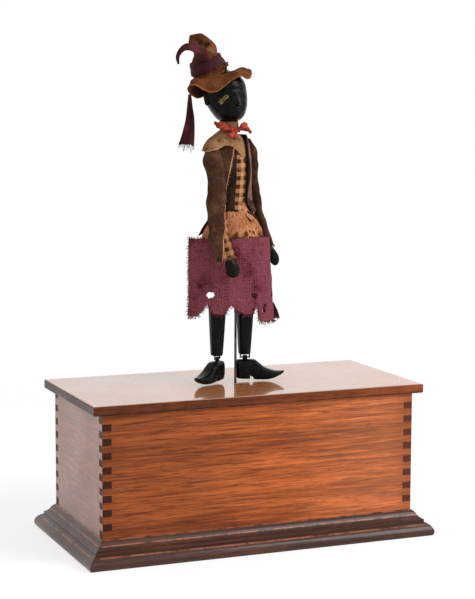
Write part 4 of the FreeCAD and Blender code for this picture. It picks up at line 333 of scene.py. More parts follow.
class Graph:
    """Adds and joins the nodes of one tree."""

    def __init__(self, tree: NodeTree) -> None:
        """Args: tree: the tree that the nodes go into."""
        self.tree = tree

    def add(self, kind: str, feeds: dict | None = None, **settings: object) -> Node:
        """Adds a node.

        Args:
            kind: the node's type.
            feeds: a socket or a value for each named or numbered input.
            settings: the node's own options.

        Returns:
            The new node.
        """
        node = self.tree.nodes.new(kind)
        for key, value in settings.items():
            setattr(node, key, value)
        self.feed(node, feeds or {})
        return node

    def feed(self, node: Node, feeds: dict) -> None:
        """Sets or joins a node's inputs; an underscore in a name stands for a space."""
        for key, value in feeds.items():
            socket = node.inputs[key.replace("_", " ") if isinstance(key, str) else key]
            if isinstance(value, Socket):
                self.tree.links.new(value, socket)
            else:
                socket.default_value = (*value, 1.0) if socket.type == "RGBA" else value

    def math(self, operation: str, *values: object) -> Socket:
        """The result of a Math node."""
        return self.add("ShaderNodeMath", dict(enumerate(values)), operation=operation).outputs[0]

    def times(self, first: object, second: object) -> Socket:
        """The product of two values."""
        return self.math("MULTIPLY", first, second)

    def plus(self, first: object, second: object) -> Socket:
        """The sum of two values."""
        return self.math("ADD", first, second)

    def minus(self, first: object, second: object) -> Socket:
        """The difference of two values."""
        return self.math("SUBTRACT", first, second)

    def vector(self, operation: str, *values: object) -> Socket:
        """The result of a Vector Math node."""
        return self.add("ShaderNodeVectorMath", dict(enumerate(values)), operation=operation).outputs[0]

    def scale(self, vector: object, factor: object) -> Socket:
        """A vector or colour times a value."""
        return self.add("ShaderNodeVectorMath", {0: vector, "Scale": factor}, operation="SCALE").outputs[0]

    def same(self, value: object) -> Socket:
        """A vector of one value thrice."""
        return self.add("ShaderNodeCombineXYZ", {0: value, 1: value, 2: value}).outputs[0]

    def split(self, vector: object) -> Sequence[Socket]:
        """The three parts of a vector."""
        return self.add("ShaderNodeSeparateXYZ", {0: vector}).outputs

    def away(self, spot: Socket, place: Place) -> Socket:
        """The distance from a place."""
        return self.vector("DISTANCE", spot, place).node.outputs["Value"]

    def noise(self, vector: object, scale: object, detail: float = 2.0, rough: float = 0.5,
              output: str = "Fac") -> Socket:
        """A noise texture."""
        feeds = {"Vector": vector, "Scale": scale, "Detail": detail, "Roughness": rough}
        return self.add("ShaderNodeTexNoise", feeds).outputs[output]

    def bump(self, height: object, depth: float, strength: float) -> Socket:
        """A normal from a height; depth is in millimetres."""
        feeds = {"Height": height, "Distance": depth * MM, "Strength": strength}
        return self.add("ShaderNodeBump", feeds).outputs[0]

    def seen(self) -> Socket:
        """One for camera, glossy and transmission rays, else nought."""
        path = self.add("ShaderNodeLightPath").outputs
        return self.math("MAXIMUM", path["Is Camera Ray"],
                         self.math("MAXIMUM", path["Is Glossy Ray"], path["Is Transmission Ray"]))

    def ramp(self, value: object, low: float, high: float, start: float = 0.0,
             end: float = 1.0) -> Socket:
        """A value stretched smoothly from one range to another."""
        feeds = {"Value": value, "From Min": low, "From Max": high, "To Min": start, "To Max": end}
        return self.add("ShaderNodeMapRange", feeds, interpolation_type="SMOOTHSTEP").outputs[0]

    def mix(self, share: object, first: object, second: object) -> Socket:
        """A colour between two others."""
        feeds = {0: share, 6: first, 7: second}
        return self.add("ShaderNodeMix", feeds, data_type="RGBA").outputs[2]


class Kit:
    """The shader groups that the finishes share, each built once."""

    made: dict[str, NodeTree] = {}

    @classmethod
    def use(cls, graph: Graph, name: str, fill: Callable[[Graph, Sequence[Socket]], dict],
            **feeds: object) -> Sequence[Socket]:
        """Places a group in a material, and builds it first if it is new.

        Args:
            graph: the material's graph.
            name: the group's name.
            fill: builds the inside from the group's inputs and returns a socket for each output.
            feeds: a socket or a value for each input.

        Returns:
            The group's outputs.
        """
        if name not in cls.made:
            tree = bpy.data.node_groups.new(name, "ShaderNodeTree")
            for key in feeds:
                kind = "NodeSocketVector" if key == "Vector" else "NodeSocketFloat"
                tree.interface.new_socket(key, in_out="INPUT", socket_type=kind)
            inside = Graph(tree)
            made = fill(inside, inside.add("NodeGroupInput").outputs)
            for key in made:
                tree.interface.new_socket(key, in_out="OUTPUT", socket_type="NodeSocketFloat")
            inside.add("NodeGroupOutput", made)
            cls.made[name] = tree
        return graph.add("ShaderNodeGroup", feeds, node_tree=cls.made[name]).outputs

    @staticmethod
    def grain(g: Graph, given: Sequence[Socket]) -> dict:
        """Wood grain along X: broad bands, fine dark pores and their height."""
        across = given["Across"]
        sizes = g.add("ShaderNodeCombineXYZ", {0: given["Along"], 1: across, 2: across}).outputs[0]
        spot = g.vector("MULTIPLY", given["Vector"], sizes)
        spot = g.vector("ADD", spot, g.scale(g.noise(spot, 0.16, output="Color"), 2.4))
        bands = g.noise(spot, 0.22, 3.0, 0.55)
        streaks = g.noise(spot, 0.75, 4.0, 0.6)
        pores = g.ramp(g.noise(spot, 3.4, 2.0, 0.7), 0.54, 0.68)
        lines = g.times(g.ramp(g.noise(spot, 1.9, 2.0, 0.6), 0.52, 0.63), 0.72)
        pores = g.math("MAXIMUM", pores, lines)
        tone = g.ramp(g.plus(g.times(bands, 0.42), g.times(streaks, 0.58)), 0.36, 0.64)
        return {"Tone": tone, "Pores": pores, "Height": g.minus(g.times(tone, 0.3), pores)}

    @staticmethod
    def weave(g: Graph, given: Sequence[Socket]) -> dict:
        """A plain weave on a UV map in decimetres: thread height and tone."""
        shift = g.vector("SUBTRACT", g.noise(given["Vector"], 9.0, 3.0, output="Color"), (0.5, 0.5, 0.5))
        spot = g.vector("ADD", given["Vector"], g.scale(shift, given["Waver"]))
        turn = g.times(given["Threads"], TAU / 2)
        u, v = (g.times(g.split(spot)[n], turn) for n in (0, 1))
        over = g.math("GREATER_THAN", g.math("SINE", g.plus(u, v)), 0.0)
        warp, weft = (g.times(g.math("ABSOLUTE", g.math("SINE", way)), g.plus(g.times(lift, 0.5), 0.5))
                      for way, lift in ((u, over), (v, g.minus(1.0, over))))
        height = g.plus(warp, weft)
        slub = g.plus(*(g.noise(g.vector("MULTIPLY", spot, pull), 1.0)
                        for pull in ((60.0, 6.0, 1.0), (6.0, 60.0, 1.0))))
        return {"Tone": g.plus(g.times(height, 0.25), g.times(slub, 0.4)), "Height": height}

    @staticmethod
    def fibres(g: Graph, given: Sequence[Socket]) -> dict:
        """Matted fibres, as in felt: tone and height."""
        spot = given["Vector"]
        spot = g.vector("ADD", spot, g.scale(g.noise(spot, 240.0, output="Color"), 0.012))
        fine, broad = g.noise(spot, 1400.0, 4.0, 0.7), g.noise(spot, 150.0, 4.0, 0.6)
        return {"Tone": g.plus(g.times(fine, 0.45), g.times(broad, 0.55)), "Height": g.plus(fine, broad)}

    @staticmethod
    def cloud(g: Graph, given: Sequence[Socket]) -> dict:
        """Noise cut at a level."""
        noisy = g.noise(given["Vector"], given["Scale"], 5.0, 0.65)
        return {"Mask": g.ramp(noisy, g.minus(given["Level"], given["Softness"]), given["Level"])}

    @classmethod
    def patches(cls, g: Graph, spot: Socket, scale: float, level: float, softness: float) -> Socket:
        """The mask of worn or stained patches."""
        made = cls.use(g, "patches", cls.cloud, Vector=spot, Scale=scale, Level=level, Softness=softness)
        return made["Mask"]


def finish_material(name: str) -> tuple[Material, Graph, Node, Sequence[Socket]]:
    """A new material, its graph, its shader and the places on a piece."""
    material = bpy.data.materials.new(name)
    material.use_nodes = True
    material.node_tree.nodes.clear()
    graph = Graph(material.node_tree)
    shader = graph.add("ShaderNodeBsdfPrincipled")
    graph.add("ShaderNodeOutputMaterial", {"Surface": shader.outputs[0]})
    return material, graph, shader, graph.add("ShaderNodeTexCoord").outputs


@dataclass(frozen=True)
class Timber:
    """Polished or waxed wood with its grain along a board."""

    name: str
    pale: tuple
    dark: tuple
    pore: tuple
    rough: float
    coat: float
    grain: Grain = Grain.ALONG_X
    end: tuple | None = None
    along: float = 26.0
    across: float = 430.0
    worn: tuple | None = None
    wear_and_highlight_levels: tuple = ()
    gloss: float = 0.3
    coat_rough: float = 0.12
    coat_ior: float = 1.5
    top_reflection_gain: float = 1.0
    nicks: tuple[float, float] = (85.0, 0.735)
    top_reflection_share: float = 0.64
    lit_side_haze_share: float = 0.14
    dark_ends: tuple[float, float] = (0.128, 0.152)
    facing: float = 0.7
    faded_and_lit: tuple | None = None
    lit_side_haze: tuple | None = None
    top_reflection_colour: tuple | None = None
    blotches: float = 0.4
    end_lit: float = 1.0

    def build(self) -> Material:
        """Builds the finish."""
        material, g, shader, places = finish_material(self.name)
        spot = places["Object"]
        x, y, z = g.split(spot)
        face = g.split(places["Normal"])
        board = spot
        if self.grain is Grain.ALONG_Y:
            board = g.add("ShaderNodeCombineXYZ", {0: y, 1: x, 2: z}).outputs[0]
        grain = Kit.use(g, "wood grain", Kit.grain, Vector=board, Along=self.along, Across=self.across)
        base = g.mix(grain["Tone"], self.dark, self.pale)
        base = g.mix(g.times(grain["Pores"], 0.75), base, self.pore)
        blotch = g.noise(spot, 14.0, 3.0)
        base = g.mix(g.ramp(blotch, 0.35, 0.7, 0.0, self.blotches), base, self.dark)
        rough = g.ramp(blotch, 0.3, 0.7, self.rough * 0.8, self.rough * 1.3)
        # Painted light: the board's colour is scaled paler towards +X, the side the key light falls on, and where set
        # a pale haze is mixed in there; the darker board ends are staining.
        if self.faded_and_lit:
            start, end, low, high = self.faded_and_lit
            base = g.scale(base, g.ramp(x, start * MM, end * MM, low, high))
            if self.lit_side_haze:
                base = g.mix(g.ramp(x, 0.0, end * MM, 0.0, self.lit_side_haze_share), base, self.lit_side_haze)
                base = g.mix(g.ramp(g.math("ABSOLUTE", x), *self.dark_ends, 0.0, 0.4), base, self.dark)
        coat = self.coat
        # Painted reflection: upward faces are scaled paler and mixed with a pale colour, for the polished top's
        # reflection of the white backdrop.
        if self.top_reflection_colour:
            is_top = g.math("GREATER_THAN", face[2], self.facing)
            base = g.mix(is_top, base, g.mix(self.top_reflection_share, g.scale(base, self.top_reflection_gain), self.top_reflection_colour))
            coat = g.times(is_top, self.coat)
        if self.end:
            is_end = g.math("GREATER_THAN", g.math("ABSOLUTE", face[self.grain.value]), self.facing)
            end = g.mix(g.ramp(g.noise(spot, 900.0, 3.0, 0.7), 0.35, 0.65), self.end, self.pore)
            if self.end_lit != 1.0:
                end = g.scale(end, g.ramp(x, -0.14, 0.14, 1.0, self.end_lit))
            base = g.mix(is_end, base, end)
            if not self.top_reflection_colour:
                coat = g.times(g.minus(1.0, is_end), self.coat)
        base = g.mix(g.times(Kit.patches(g, spot, *self.nicks, 0.02), 0.8), base, self.pore)
        # Lines at set heights: on the lid they are dark edge wear; on the mouldings they are pale painted highlights
        # along the rounded edges, partly edge wear.
        if self.worn:
            scuffs_and_highlights = g.ramp(g.noise(spot, 70.0, 4.0, 0.7), 0.36, 0.58)
            for level, width in self.wear_and_highlight_levels:
                away = g.math("ABSOLUTE", g.minus(z, level * MM))
                mask = g.times(g.ramp(away, 0.0, width * MM, 1.0, 0.0), scuffs_and_highlights)
                if self.top_reflection_colour:
                    mask = g.times(mask, g.math("LESS_THAN", face[2], self.facing))
                base = g.mix(mask, base, self.worn)
        g.feed(shader, dict(
            Base_Color=base, Roughness=rough, Coat_Weight=coat, Coat_Roughness=self.coat_rough,
            Coat_IOR=self.coat_ior, Specular_IOR_Level=self.gloss, Normal=g.bump(grain["Height"], 0.05, 0.6)))
        return material


@dataclass(frozen=True)
class Metal:
    """Worn metal with fine scratches and tarnish."""

    name: str
    base: tuple
    tarnish: tuple
    rough: float

    def build(self) -> Material:
        """Builds the finish."""
        material, g, shader, places = finish_material(self.name)
        spot = places["Object"]
        dull = Kit.patches(g, spot, 130.0, 0.62, 0.2)
        scratches = g.noise(g.vector("MULTIPLY", spot, (300.0, 2500.0, 2500.0)), 1.0, 3.0, 0.7)
        base = g.mix(dull, self.base, self.tarnish)
        rough = g.plus(g.times(dull, 0.25),
                       g.ramp(scratches, 0.3, 0.7, self.rough, self.rough + 0.12))
        g.feed(shader, dict(Base_Color=base, Metallic=1.0, Roughness=rough,
             Normal=g.bump(scratches, 0.01, 0.4)))
        return material


@dataclass(frozen=True)
class Paint:
    """Old black paint on carved wood, rubbed through in places."""

    name: str
    base: tuple
    rubbed: tuple
    wood: tuple
    rough: float
    bare: float = 0.80
    gloss: float = 0.10
    bare_places: tuple = ()

    def build(self) -> Material:
        """Builds the finish."""
        material, g, shader, places = finish_material(self.name)
        spot = places["Object"]
        rubs = Kit.patches(g, spot, 190.0, 0.72, 0.25)
        base = g.mix(rubs, self.base, self.rubbed)
        bare = Kit.patches(g, spot, 260.0, self.bare, 0.02)
        ragged = g.times(g.noise(spot, 420.0, 3.0), 2.2 * MM)
        for x, y, z, radius in self.bare_places:
            near = g.math("LESS_THAN", g.away(spot, (x * MM, y * MM, z * MM)), g.minus(radius * MM, ragged))
            bare = g.math("MAXIMUM", bare, near)
        mottle = g.mix(g.ramp(g.noise(spot, 500.0, 3.0), 0.3, 0.7), self.wood, self.rubbed)
        base = g.mix(bare, base, mottle)
        strokes = g.noise(g.vector("MULTIPLY", spot, (900.0, 900.0, 240.0)), 1.0, 4.0, 0.6)
        rough = g.ramp(rubs, 0.0, 1.0, self.rough, self.rough + 0.2)
        height = g.minus(g.times(strokes, 0.6), bare)
        g.feed(shader, dict(Base_Color=base, Roughness=rough, Specular_IOR_Level=self.gloss,
             Normal=g.bump(height, 0.12, 0.7)))
        return material


def marked(g: Graph, spot: Socket, base: Socket,
           places: tuple) -> Socket:
    """Lays ragged marks over a colour.

    Args:
        g: the finish's graph.
        spot: the place on the piece.
        base: the colour so far.
        places: each mark's middle and radius in millimetres and its colour.

    Returns:
        The colour with its marks.
    """
    if not places:
        return base
    ragged = g.times(g.minus(g.noise(spot, 420.0, 3.0), 0.5), 6.0 * MM)
    flattened = (1.0, 0.3, 1.0)
    pressed = g.vector("MULTIPLY", spot, flattened)
    for x, y, z, radius, tone in places:
        mark = (x * MM, y * MM * flattened[1], z * MM)
        away = g.away(pressed, mark)
        near = g.ramp(g.plus(away, ragged), radius * MM, (radius + 1.2) * MM, 0.92, 0.0)
        base = g.mix(near, base, tone)
    return base


@dataclass(frozen=True)
class Cloth:
    """Woven cloth on the piece's own UV map, with fading and stains, and where set a side painted paler as if lit."""

    name: str
    base: tuple
    faded_and_lit: tuple
    stain: tuple
    threads: float = 150.0
    depth: float = 0.25
    fade: float = 0.5
    stain_level: float = 0.66
    check: tuple | None = None
    check_size: float = 0.078
    contrast: float = 0.3
    flecks: float = 0.0
    fleck_scale: Place = (950.0, 950.0, 950.0)
    painted_lit_side: tuple | None = None
    places: tuple = ()

    def build(self) -> Material:
        """Builds the finish."""
        material, g, shader, places = finish_material(self.name)
        spot = places["Object"]
        flat = g.add("ShaderNodeUVMap", uv_map="cloth").outputs[0]
        weave = Kit.use(g, "plain weave", Kit.weave, Vector=flat, Threads=self.threads, Waver=0.012)
        base = g.mix(Kit.patches(g, spot, 45.0, 0.5 + self.fade * 0.2, 0.3), self.base, self.faded_and_lit)
        # Painted light: across this span of X the cloth turns to its paler colour, for the side the key light falls
        # on.
        if self.painted_lit_side:
            start, end = self.painted_lit_side
            base = g.mix(g.ramp(g.split(spot)[0], start * MM, end * MM), base, self.faded_and_lit)
        if self.check:
            bars = (g.ramp(g.math("SINE", g.times(g.split(flat)[n], TAU / self.check_size)), -0.15, 0.15)
                    for n in (0, 1))
            base = g.mix(g.math("POWER", g.times(g.plus(*bars), 0.5), 1.3), base, self.check)
        base = g.mix(Kit.patches(g, spot, 110.0, self.stain_level, 0.12), base, self.stain)
        base = marked(g, spot, base, self.places)
        shade = g.ramp(weave["Tone"], 0.2, 0.75, 1.0 - self.contrast, 1.0 + self.contrast)
        if self.flecks:
            fleck = g.noise(g.vector("MULTIPLY", spot, self.fleck_scale), 1.0, 3.0, 0.7)
            shade = g.times(shade, g.ramp(fleck, 0.36, 0.64, 1.0 - self.flecks, 1.0 + self.flecks))
        g.feed(shader, dict(
            Base_Color=g.vector("MULTIPLY", base, g.same(shade)), Roughness=0.92, Sheen_Weight=0.03,
            Sheen_Tint=self.faded_and_lit, Specular_IOR_Level=0.06, Normal=g.bump(weave["Height"], self.depth, 0.8)))
        return material


@dataclass(frozen=True)
class Felt:
    """Matted felt or napped cloth, from the piece's place."""

    name: str
    base: tuple
    worn: tuple
    dark: tuple
    rough: float = 0.9
    depth: float = 0.3
    sheen: float = 0.2
    places: tuple = ()
    spread: float = 0.0

    def build(self) -> Material:
        """Builds the finish."""
        material, g, shader, places = finish_material(self.name)
        spot = places["Object"]
        fibres = Kit.use(g, "matted fibres", Kit.fibres, Vector=spot)
        more = self.spread
        worn = Kit.patches(g, spot, 70.0 + 900.0 * more, 0.62 - more, 0.25)
        dark = Kit.patches(g, g.vector("ADD", spot, (1.0, 2.0, 3.0)), 55.0 + 1300.0 * more, 0.64 - more, 0.22)
        base = g.mix(worn, self.base, self.worn)
        base = marked(g, spot, g.mix(g.times(dark, 0.7), base, self.dark), self.places)
        shade = g.ramp(fibres["Tone"], 0.25, 0.7, 0.6, 1.3)
        g.feed(shader, dict(
            Base_Color=g.vector("MULTIPLY", base, g.same(shade)), Roughness=self.rough,
            Sheen_Weight=self.sheen, Sheen_Tint=self.worn, Specular_IOR_Level=0.12,
            Normal=g.bump(fibres["Height"], self.depth, 0.7)))
        return material


def marks(tone: tuple, *spots: Sequence[float]) -> tuple:
    """Marks of one colour, from each one's middle and radius."""
    return tuple((*spot, tone) for spot in spots)


def dress(material: Material, *names: str) -> None:
    """Gives CAD nodes a finish."""
    for name in names:
        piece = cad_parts[name]
        piece.data.materials.clear()
        piece.data.materials.append(material)


def settle(piece: Object, body: Body, slot: str, *materials: Material,
           stands_for: Sequence[str] = (), bends: Sequence[Sequence[float]] = ()) -> Object:
    """Finishes a piece, sets it on its body unless bends are given, and hides the CAD nodes that it stands for.

    Args:
        piece: the new piece.
        body: the moving body that carries it.
        slot: the record's material slot; not used.
        materials: its finishes.
        stands_for: the CAD nodes that it replaces.
        bends: where the piece leaves the dancer and where it fully joins its body, or nothing; when given, the
            piece's transform is baked in and it is set on no body, and the places themselves are not used.

    Returns:
        The piece.
    """
    if len(materials) == 1:
        piece.data.materials.clear()
    for material in materials:
        piece.data.materials.append(material)
    if bends:
        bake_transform(piece)
    else:
        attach(piece, body.value)
    if stands_for:
        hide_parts(*stands_for)
    LOG.info("%s rides on %s", piece.name, body.value)
    return piece


def lay(piece: Object, grid: np.ndarray, slot: str, finish: Material, held: str, rests_on: str,
        *extra: Object, stands_for: Sequence[str] = ()) -> None:
    """Args:
        piece: the sheet.
        grid: its net; not used.
        slot: the record's material slot.
        finish: its finish.
        held: how it is held; not used.
        rests_on: the CAD nodes that it rests on, with a space between them; not used.
        extra: the pieces that go with it; not used.
        stands_for: the CAD nodes that it replaces.
    """
    settle(piece, Body.DANCER, slot, finish, stands_for=stands_for)
    rests_on.split()


# ---- threads, made by Geometry Nodes


def thread_tree() -> NodeTree:
    """Builds the tree that grows loose threads along an edge, once."""
    if "loose threads" in bpy.data.node_groups:
        return bpy.data.node_groups["loose threads"]
    tree = bpy.data.node_groups.new("loose threads", "GeometryNodeTree")
    face = tree.interface
    face.new_socket("Edge", in_out="INPUT", socket_type="NodeSocketGeometry")
    for key, usual in (("Count", 40), ("Seed", 1)):
        face.new_socket(key, in_out="INPUT", socket_type="NodeSocketInt").default_value = usual
    for key, usual in (("Length", 0.004), ("Thickness", 0.0002), ("Curl", 0.5)):
        face.new_socket(key, in_out="INPUT", socket_type="NodeSocketFloat").default_value = usual
    face.new_socket("Fall", in_out="INPUT", socket_type="NodeSocketVector").default_value = (0, 0, -1)
    face.new_socket("Finish", in_out="INPUT", socket_type="NodeSocketMaterial")
    face.new_socket("Threads", in_out="OUTPUT", socket_type="NodeSocketGeometry")
    g = Graph(tree)
    given = g.add("NodeGroupInput").outputs
    edge = g.add("GeometryNodeMeshToCurve", {0: given["Edge"]})
    spots = g.add("GeometryNodeCurveToPoints", {"Curve": edge.outputs[0], "Count": given["Count"]},
                  mode="COUNT")
    chance = {"Min": (-1, -1, -1), "Max": (1, 1, 1), "Seed": given["Seed"]}
    stray = g.add("FunctionNodeRandomValue", chance, data_type="FLOAT_VECTOR").outputs[0]
    loose = g.scale(stray, given["Curl"])
    aim = g.vector("ADD", given["Fall"], loose)
    turn = g.add("FunctionNodeAlignEulerToVector", {"Vector": aim}, axis="Z").outputs[0]
    size = g.add("FunctionNodeRandomValue", {"Min": 0.35, "Max": 1.0, "Seed": given["Seed"]},
                 data_type="FLOAT")
    size = g.times(size.outputs["Value"], given["Length"])
    strand = g.add("GeometryNodeCurveQuadraticBezier", {
        "Resolution": 7, "Start": (0, 0, 0), "Middle": (0.22, 0.1, 0.55), "End": (-0.18, 0.25, 1.0)})
    bundle = g.add("GeometryNodeInstanceOnPoints", {
        "Points": spots.outputs["Points"], "Instance": strand.outputs[0], "Rotation": turn,
        "Scale": g.same(size)})
    real = g.add("GeometryNodeRealizeInstances", {0: bundle.outputs[0]})
    ring = g.add("GeometryNodeCurvePrimitiveCircle", {"Resolution": 4, "Radius": given["Thickness"]})
    solid = g.add("GeometryNodeCurveToMesh", {"Curve": real.outputs[0], "Profile Curve": ring.outputs[0],
                                              "Fill Caps": True})
    real = g.add("GeometryNodeRealizeInstances", {0: solid.outputs[0]})
    dressed = g.add("GeometryNodeSetMaterial", {"Geometry": real.outputs[0], "Material": given["Finish"]})
    g.add("NodeGroupOutput", {"Threads": dressed.outputs[0]})
    return tree


def threads(name: str, edge: np.ndarray, finish: Material, slot: str, body: Body = Body.DANCER,
            **inputs: object) -> Object:
    """Grows loose threads along an edge.

    Args:
        name: the piece's name.
        edge: the edge's points, in millimetres.
        finish: the threads' material.
        slot: the record's material slot.
        body: the body that carries them.
        inputs: values for the tree's named inputs.

    Returns:
        The threads as one plain mesh.
    """
    mesh = bpy.data.meshes.new(name + " edge")
    mesh.from_pydata([tuple(p * MM) for p in edge], [(k, k + 1) for k in range(len(edge) - 1)], [])
    maker = bpy.data.objects.new(name + " edge", mesh)
    bpy.context.scene.collection.objects.link(maker)
    grow = maker.modifiers.new("threads", "NODES")
    grow.node_group = thread_tree()
    values = dict(inputs, Finish=finish)
    for item in grow.node_group.interface.items_tree:
        if item.in_out == "INPUT" and item.name in values:
            grow[item.identifier] = values[item.name]
    seen = maker.evaluated_get(bpy.context.evaluated_depsgraph_get())
    made = bpy.data.meshes.new_from_object(seen)
    maker.modifiers.clear()
    bpy.data.objects.remove(maker)
    made.name = name
    with editing(made) as work:
        bmesh.ops.recalc_face_normals(work, faces=work.faces)
    return settle(link(name, made), body, slot)


# ---- the finishes


class Finishes:
    """Every finish, each built once."""

    def __init__(self) -> None:
        """Builds them."""
        reds = dict(pale=(0.47, 0.120, 0.034), dark=(0.235, 0.054, 0.014), pore=(0.050, 0.012, 0.006))
        # The front's side-to-side scaling and its pale haze are painted light.
        self.front = Timber("front mahogany", rough=0.42, coat=0.12, end=(0.045, 0.014, 0.008),
            gloss=0.10, faded_and_lit=(-130.0, 130.0, 0.90, 1.80), blotches=0.2, along=15.0, lit_side_haze=(0.62, 0.34, 0.20),
            pale=(0.50, 0.122, 0.030), dark=(0.185, 0.040, 0.010), pore=(0.045, 0.010, 0.005))
        self.side = Timber("side mahogany", rough=0.40, coat=0.85, grain=Grain.ALONG_Y, coat_rough=0.2,
            end=(0.040, 0.0095, 0.0045), end_lit=2.6, gloss=0.14, **reds)
        # The lid's top colour and its gain are painted reflection; its side-to-side scaling is painted light.
        self.lid = Timber("polished lid", rough=0.26, coat=1.0, coat_rough=0.05, gloss=0.14,
            end=(0.085, 0.024, 0.010), top_reflection_gain=2.6, coat_ior=2.2,
            pale=(0.25, 0.058, 0.016), dark=(0.12, 0.028, 0.009),
            pore=(0.03, 0.009, 0.005), worn=(0.030, 0.010, 0.006),
            top_reflection_colour=(0.62, 0.240, 0.070), faded_and_lit=(-150.0, 150.0, 0.64, 1.42), nicks=(170.0, 0.715),
            wear_and_highlight_levels=((134.6, 1.6), (142.6, 1.0)))
        # The mouldings' pale worn colour at these heights is painted highlight on the rounded edges, partly real edge
        # wear.
        edges = dict(gloss=0.16, pale=(0.105, 0.034, 0.018), dark=(0.040, 0.013, 0.008),
            pore=(0.015, 0.006, 0.004), worn=(0.36, 0.13, 0.065),
            wear_and_highlight_levels=((23.0, 0.9), (18.6, 1.0), (10.4, 0.9)))
        self.moulding = Timber("dark moulding", rough=0.4, coat=0.3, **edges)
        self.moulding_side = Timber("dark side moulding", rough=0.38, coat=0.4, grain=Grain.ALONG_Y, **edges)
        self.deal = Timber("plain deal", rough=0.7, coat=0.0, pale=(0.56, 0.36, 0.18),
            dark=(0.38, 0.21, 0.09), pore=(0.20, 0.10, 0.04))
        self.brass = Metal("movement brass", (0.72, 0.50, 0.20), (0.30, 0.19, 0.08), 0.28)
        self.steel = Metal("steel", (0.46, 0.45, 0.44), (0.16, 0.12, 0.10), 0.30)
        self.iron = Metal("dark wire", (0.115, 0.090, 0.072), (0.045, 0.028, 0.020), 0.38)
        self.spring = Metal("blued spring", (0.16, 0.20, 0.32), (0.10, 0.09, 0.09), 0.32)
        self.paint = Paint("black paint", (0.0030, 0.0028, 0.0027), (0.012, 0.010, 0.0085),
            (0.095, 0.042, 0.020), 0.26)
        painted_dent_shadow, lining = (0.020, 0.008, 0.004), (0.20, 0.090, 0.042)
        self.head = Paint("worn head paint", (0.0030, 0.0028, 0.0027), (0.012, 0.010, 0.0085),
            (0.40, 0.27, 0.095), 0.22, gloss=0.08, bare=0.775, bare_places=HEAD_WEAR)
        # The dark marks in the crown's front dents are painted shadow.
        self.felt = Felt("brown felt", (0.112, 0.033, 0.010), (0.20, 0.064, 0.018),
            (0.028, 0.009, 0.004), sheen=0.06, places=marks(
                painted_dent_shadow, (-36.8, -5.0, 460.0, 0.9), (-34.0, -7.5, 456.6, 1.6), (-30.5, -9.0, 454.8, 1.6),
                (-28.0, -9.4, 455.6, 1.2)) + marks(
                lining, (-26.4, -9.8, 451.6, 2.0), (-23.8, -10.0, 450.4, 2.0), (-28.6, -9.8, 451.0, 1.2)))
        self.ribbon = Felt("maroon ribbon", (0.033, 0.0034, 0.0056), (0.080, 0.0125, 0.0170),
            (0.012, 0.0024, 0.004), rough=0.62, depth=0.12, sheen=0.02)
        self.red = Felt("red cloth", (0.50, 0.032, 0.018), (0.64, 0.092, 0.054),
            (0.050, 0.004, 0.003), rough=0.85, depth=0.3, sheen=0.0, spread=0.10)
        self.linen = Cloth("tan linen", (0.222, 0.094, 0.042), (0.355, 0.182, 0.090),
            (0.085, 0.034, 0.016), flecks=0.18)
        hairy = (0.085, 0.026, 0.012)
        self.waist = Cloth("mottled linen", (0.34, 0.120, 0.050), (0.50, 0.215, 0.100),
            (0.16, 0.052, 0.022), stain_level=0.64, flecks=0.32, fleck_scale=(700.0, 700.0, 150.0),
            places=marks(hairy, (4.0, -25.5, 283.0, 2.2), (12.0, -24.0, 284.5, 1.8),
                         (-6.0, -26.0, 284.0, 1.6), (19.0, -21.0, 283.0, 2.0), (8.0, -24.0, 286.0, 0.8)))
        self.checked = Cloth("checked cotton", (0.50, 0.215, 0.095), (0.55, 0.26, 0.12),
            (0.22, 0.075, 0.035), threads=180.0, check=(0.050, 0.018, 0.010), stain_level=0.7)
        # Painted shade: the checked cloth made darker for the cuff on the forearm.
        self.cuff = Cloth("painted shade checked cloth", (0.385, 0.158, 0.070), (0.42, 0.19, 0.088),
            (0.17, 0.055, 0.026), threads=180.0, check=(0.040, 0.014, 0.008), stain_level=0.7)
        # Paler patches down the coat's +X front: painted light on the side the key light falls on, partly rubbed
        # cloth.
        rubbed = (0.215, 0.105, 0.074)
        self.sleeve = Felt("brown sleeve cloth", (0.058, 0.022, 0.012), (0.110, 0.049, 0.029),
            (0.026, 0.010, 0.007), rough=0.95, depth=0.4, sheen=0.05)
        self.coat = Felt("brown coat cloth", (0.066, 0.028, 0.017), (0.125, 0.062, 0.040),
            (0.024, 0.009, 0.006), rough=0.95, depth=0.4, sheen=0.05,
            places=marks(rubbed, (14.0, -13.0, 360.0, 6.0), (13.0, -14.0, 348.0, 9.5),
                         (13.0, -14.0, 334.0, 9.0), (14.0, -14.0, 321.0, 6.5)))
        # Painted shade: a darker copy of the coat cloth, for the inner flap in the coat's opening and the dark line
        # along its front edge.
        self.under = Felt("painted shade coat cloth", (0.022, 0.009, 0.006), (0.045, 0.020, 0.013),
            (0.008, 0.004, 0.003), sheen=0.03)
        self.tan_thread = Felt("tan thread", (0.44, 0.20, 0.09), (0.62, 0.34, 0.17),
            (0.22, 0.08, 0.04))
        soaked = (0.030, 0.006, 0.010)
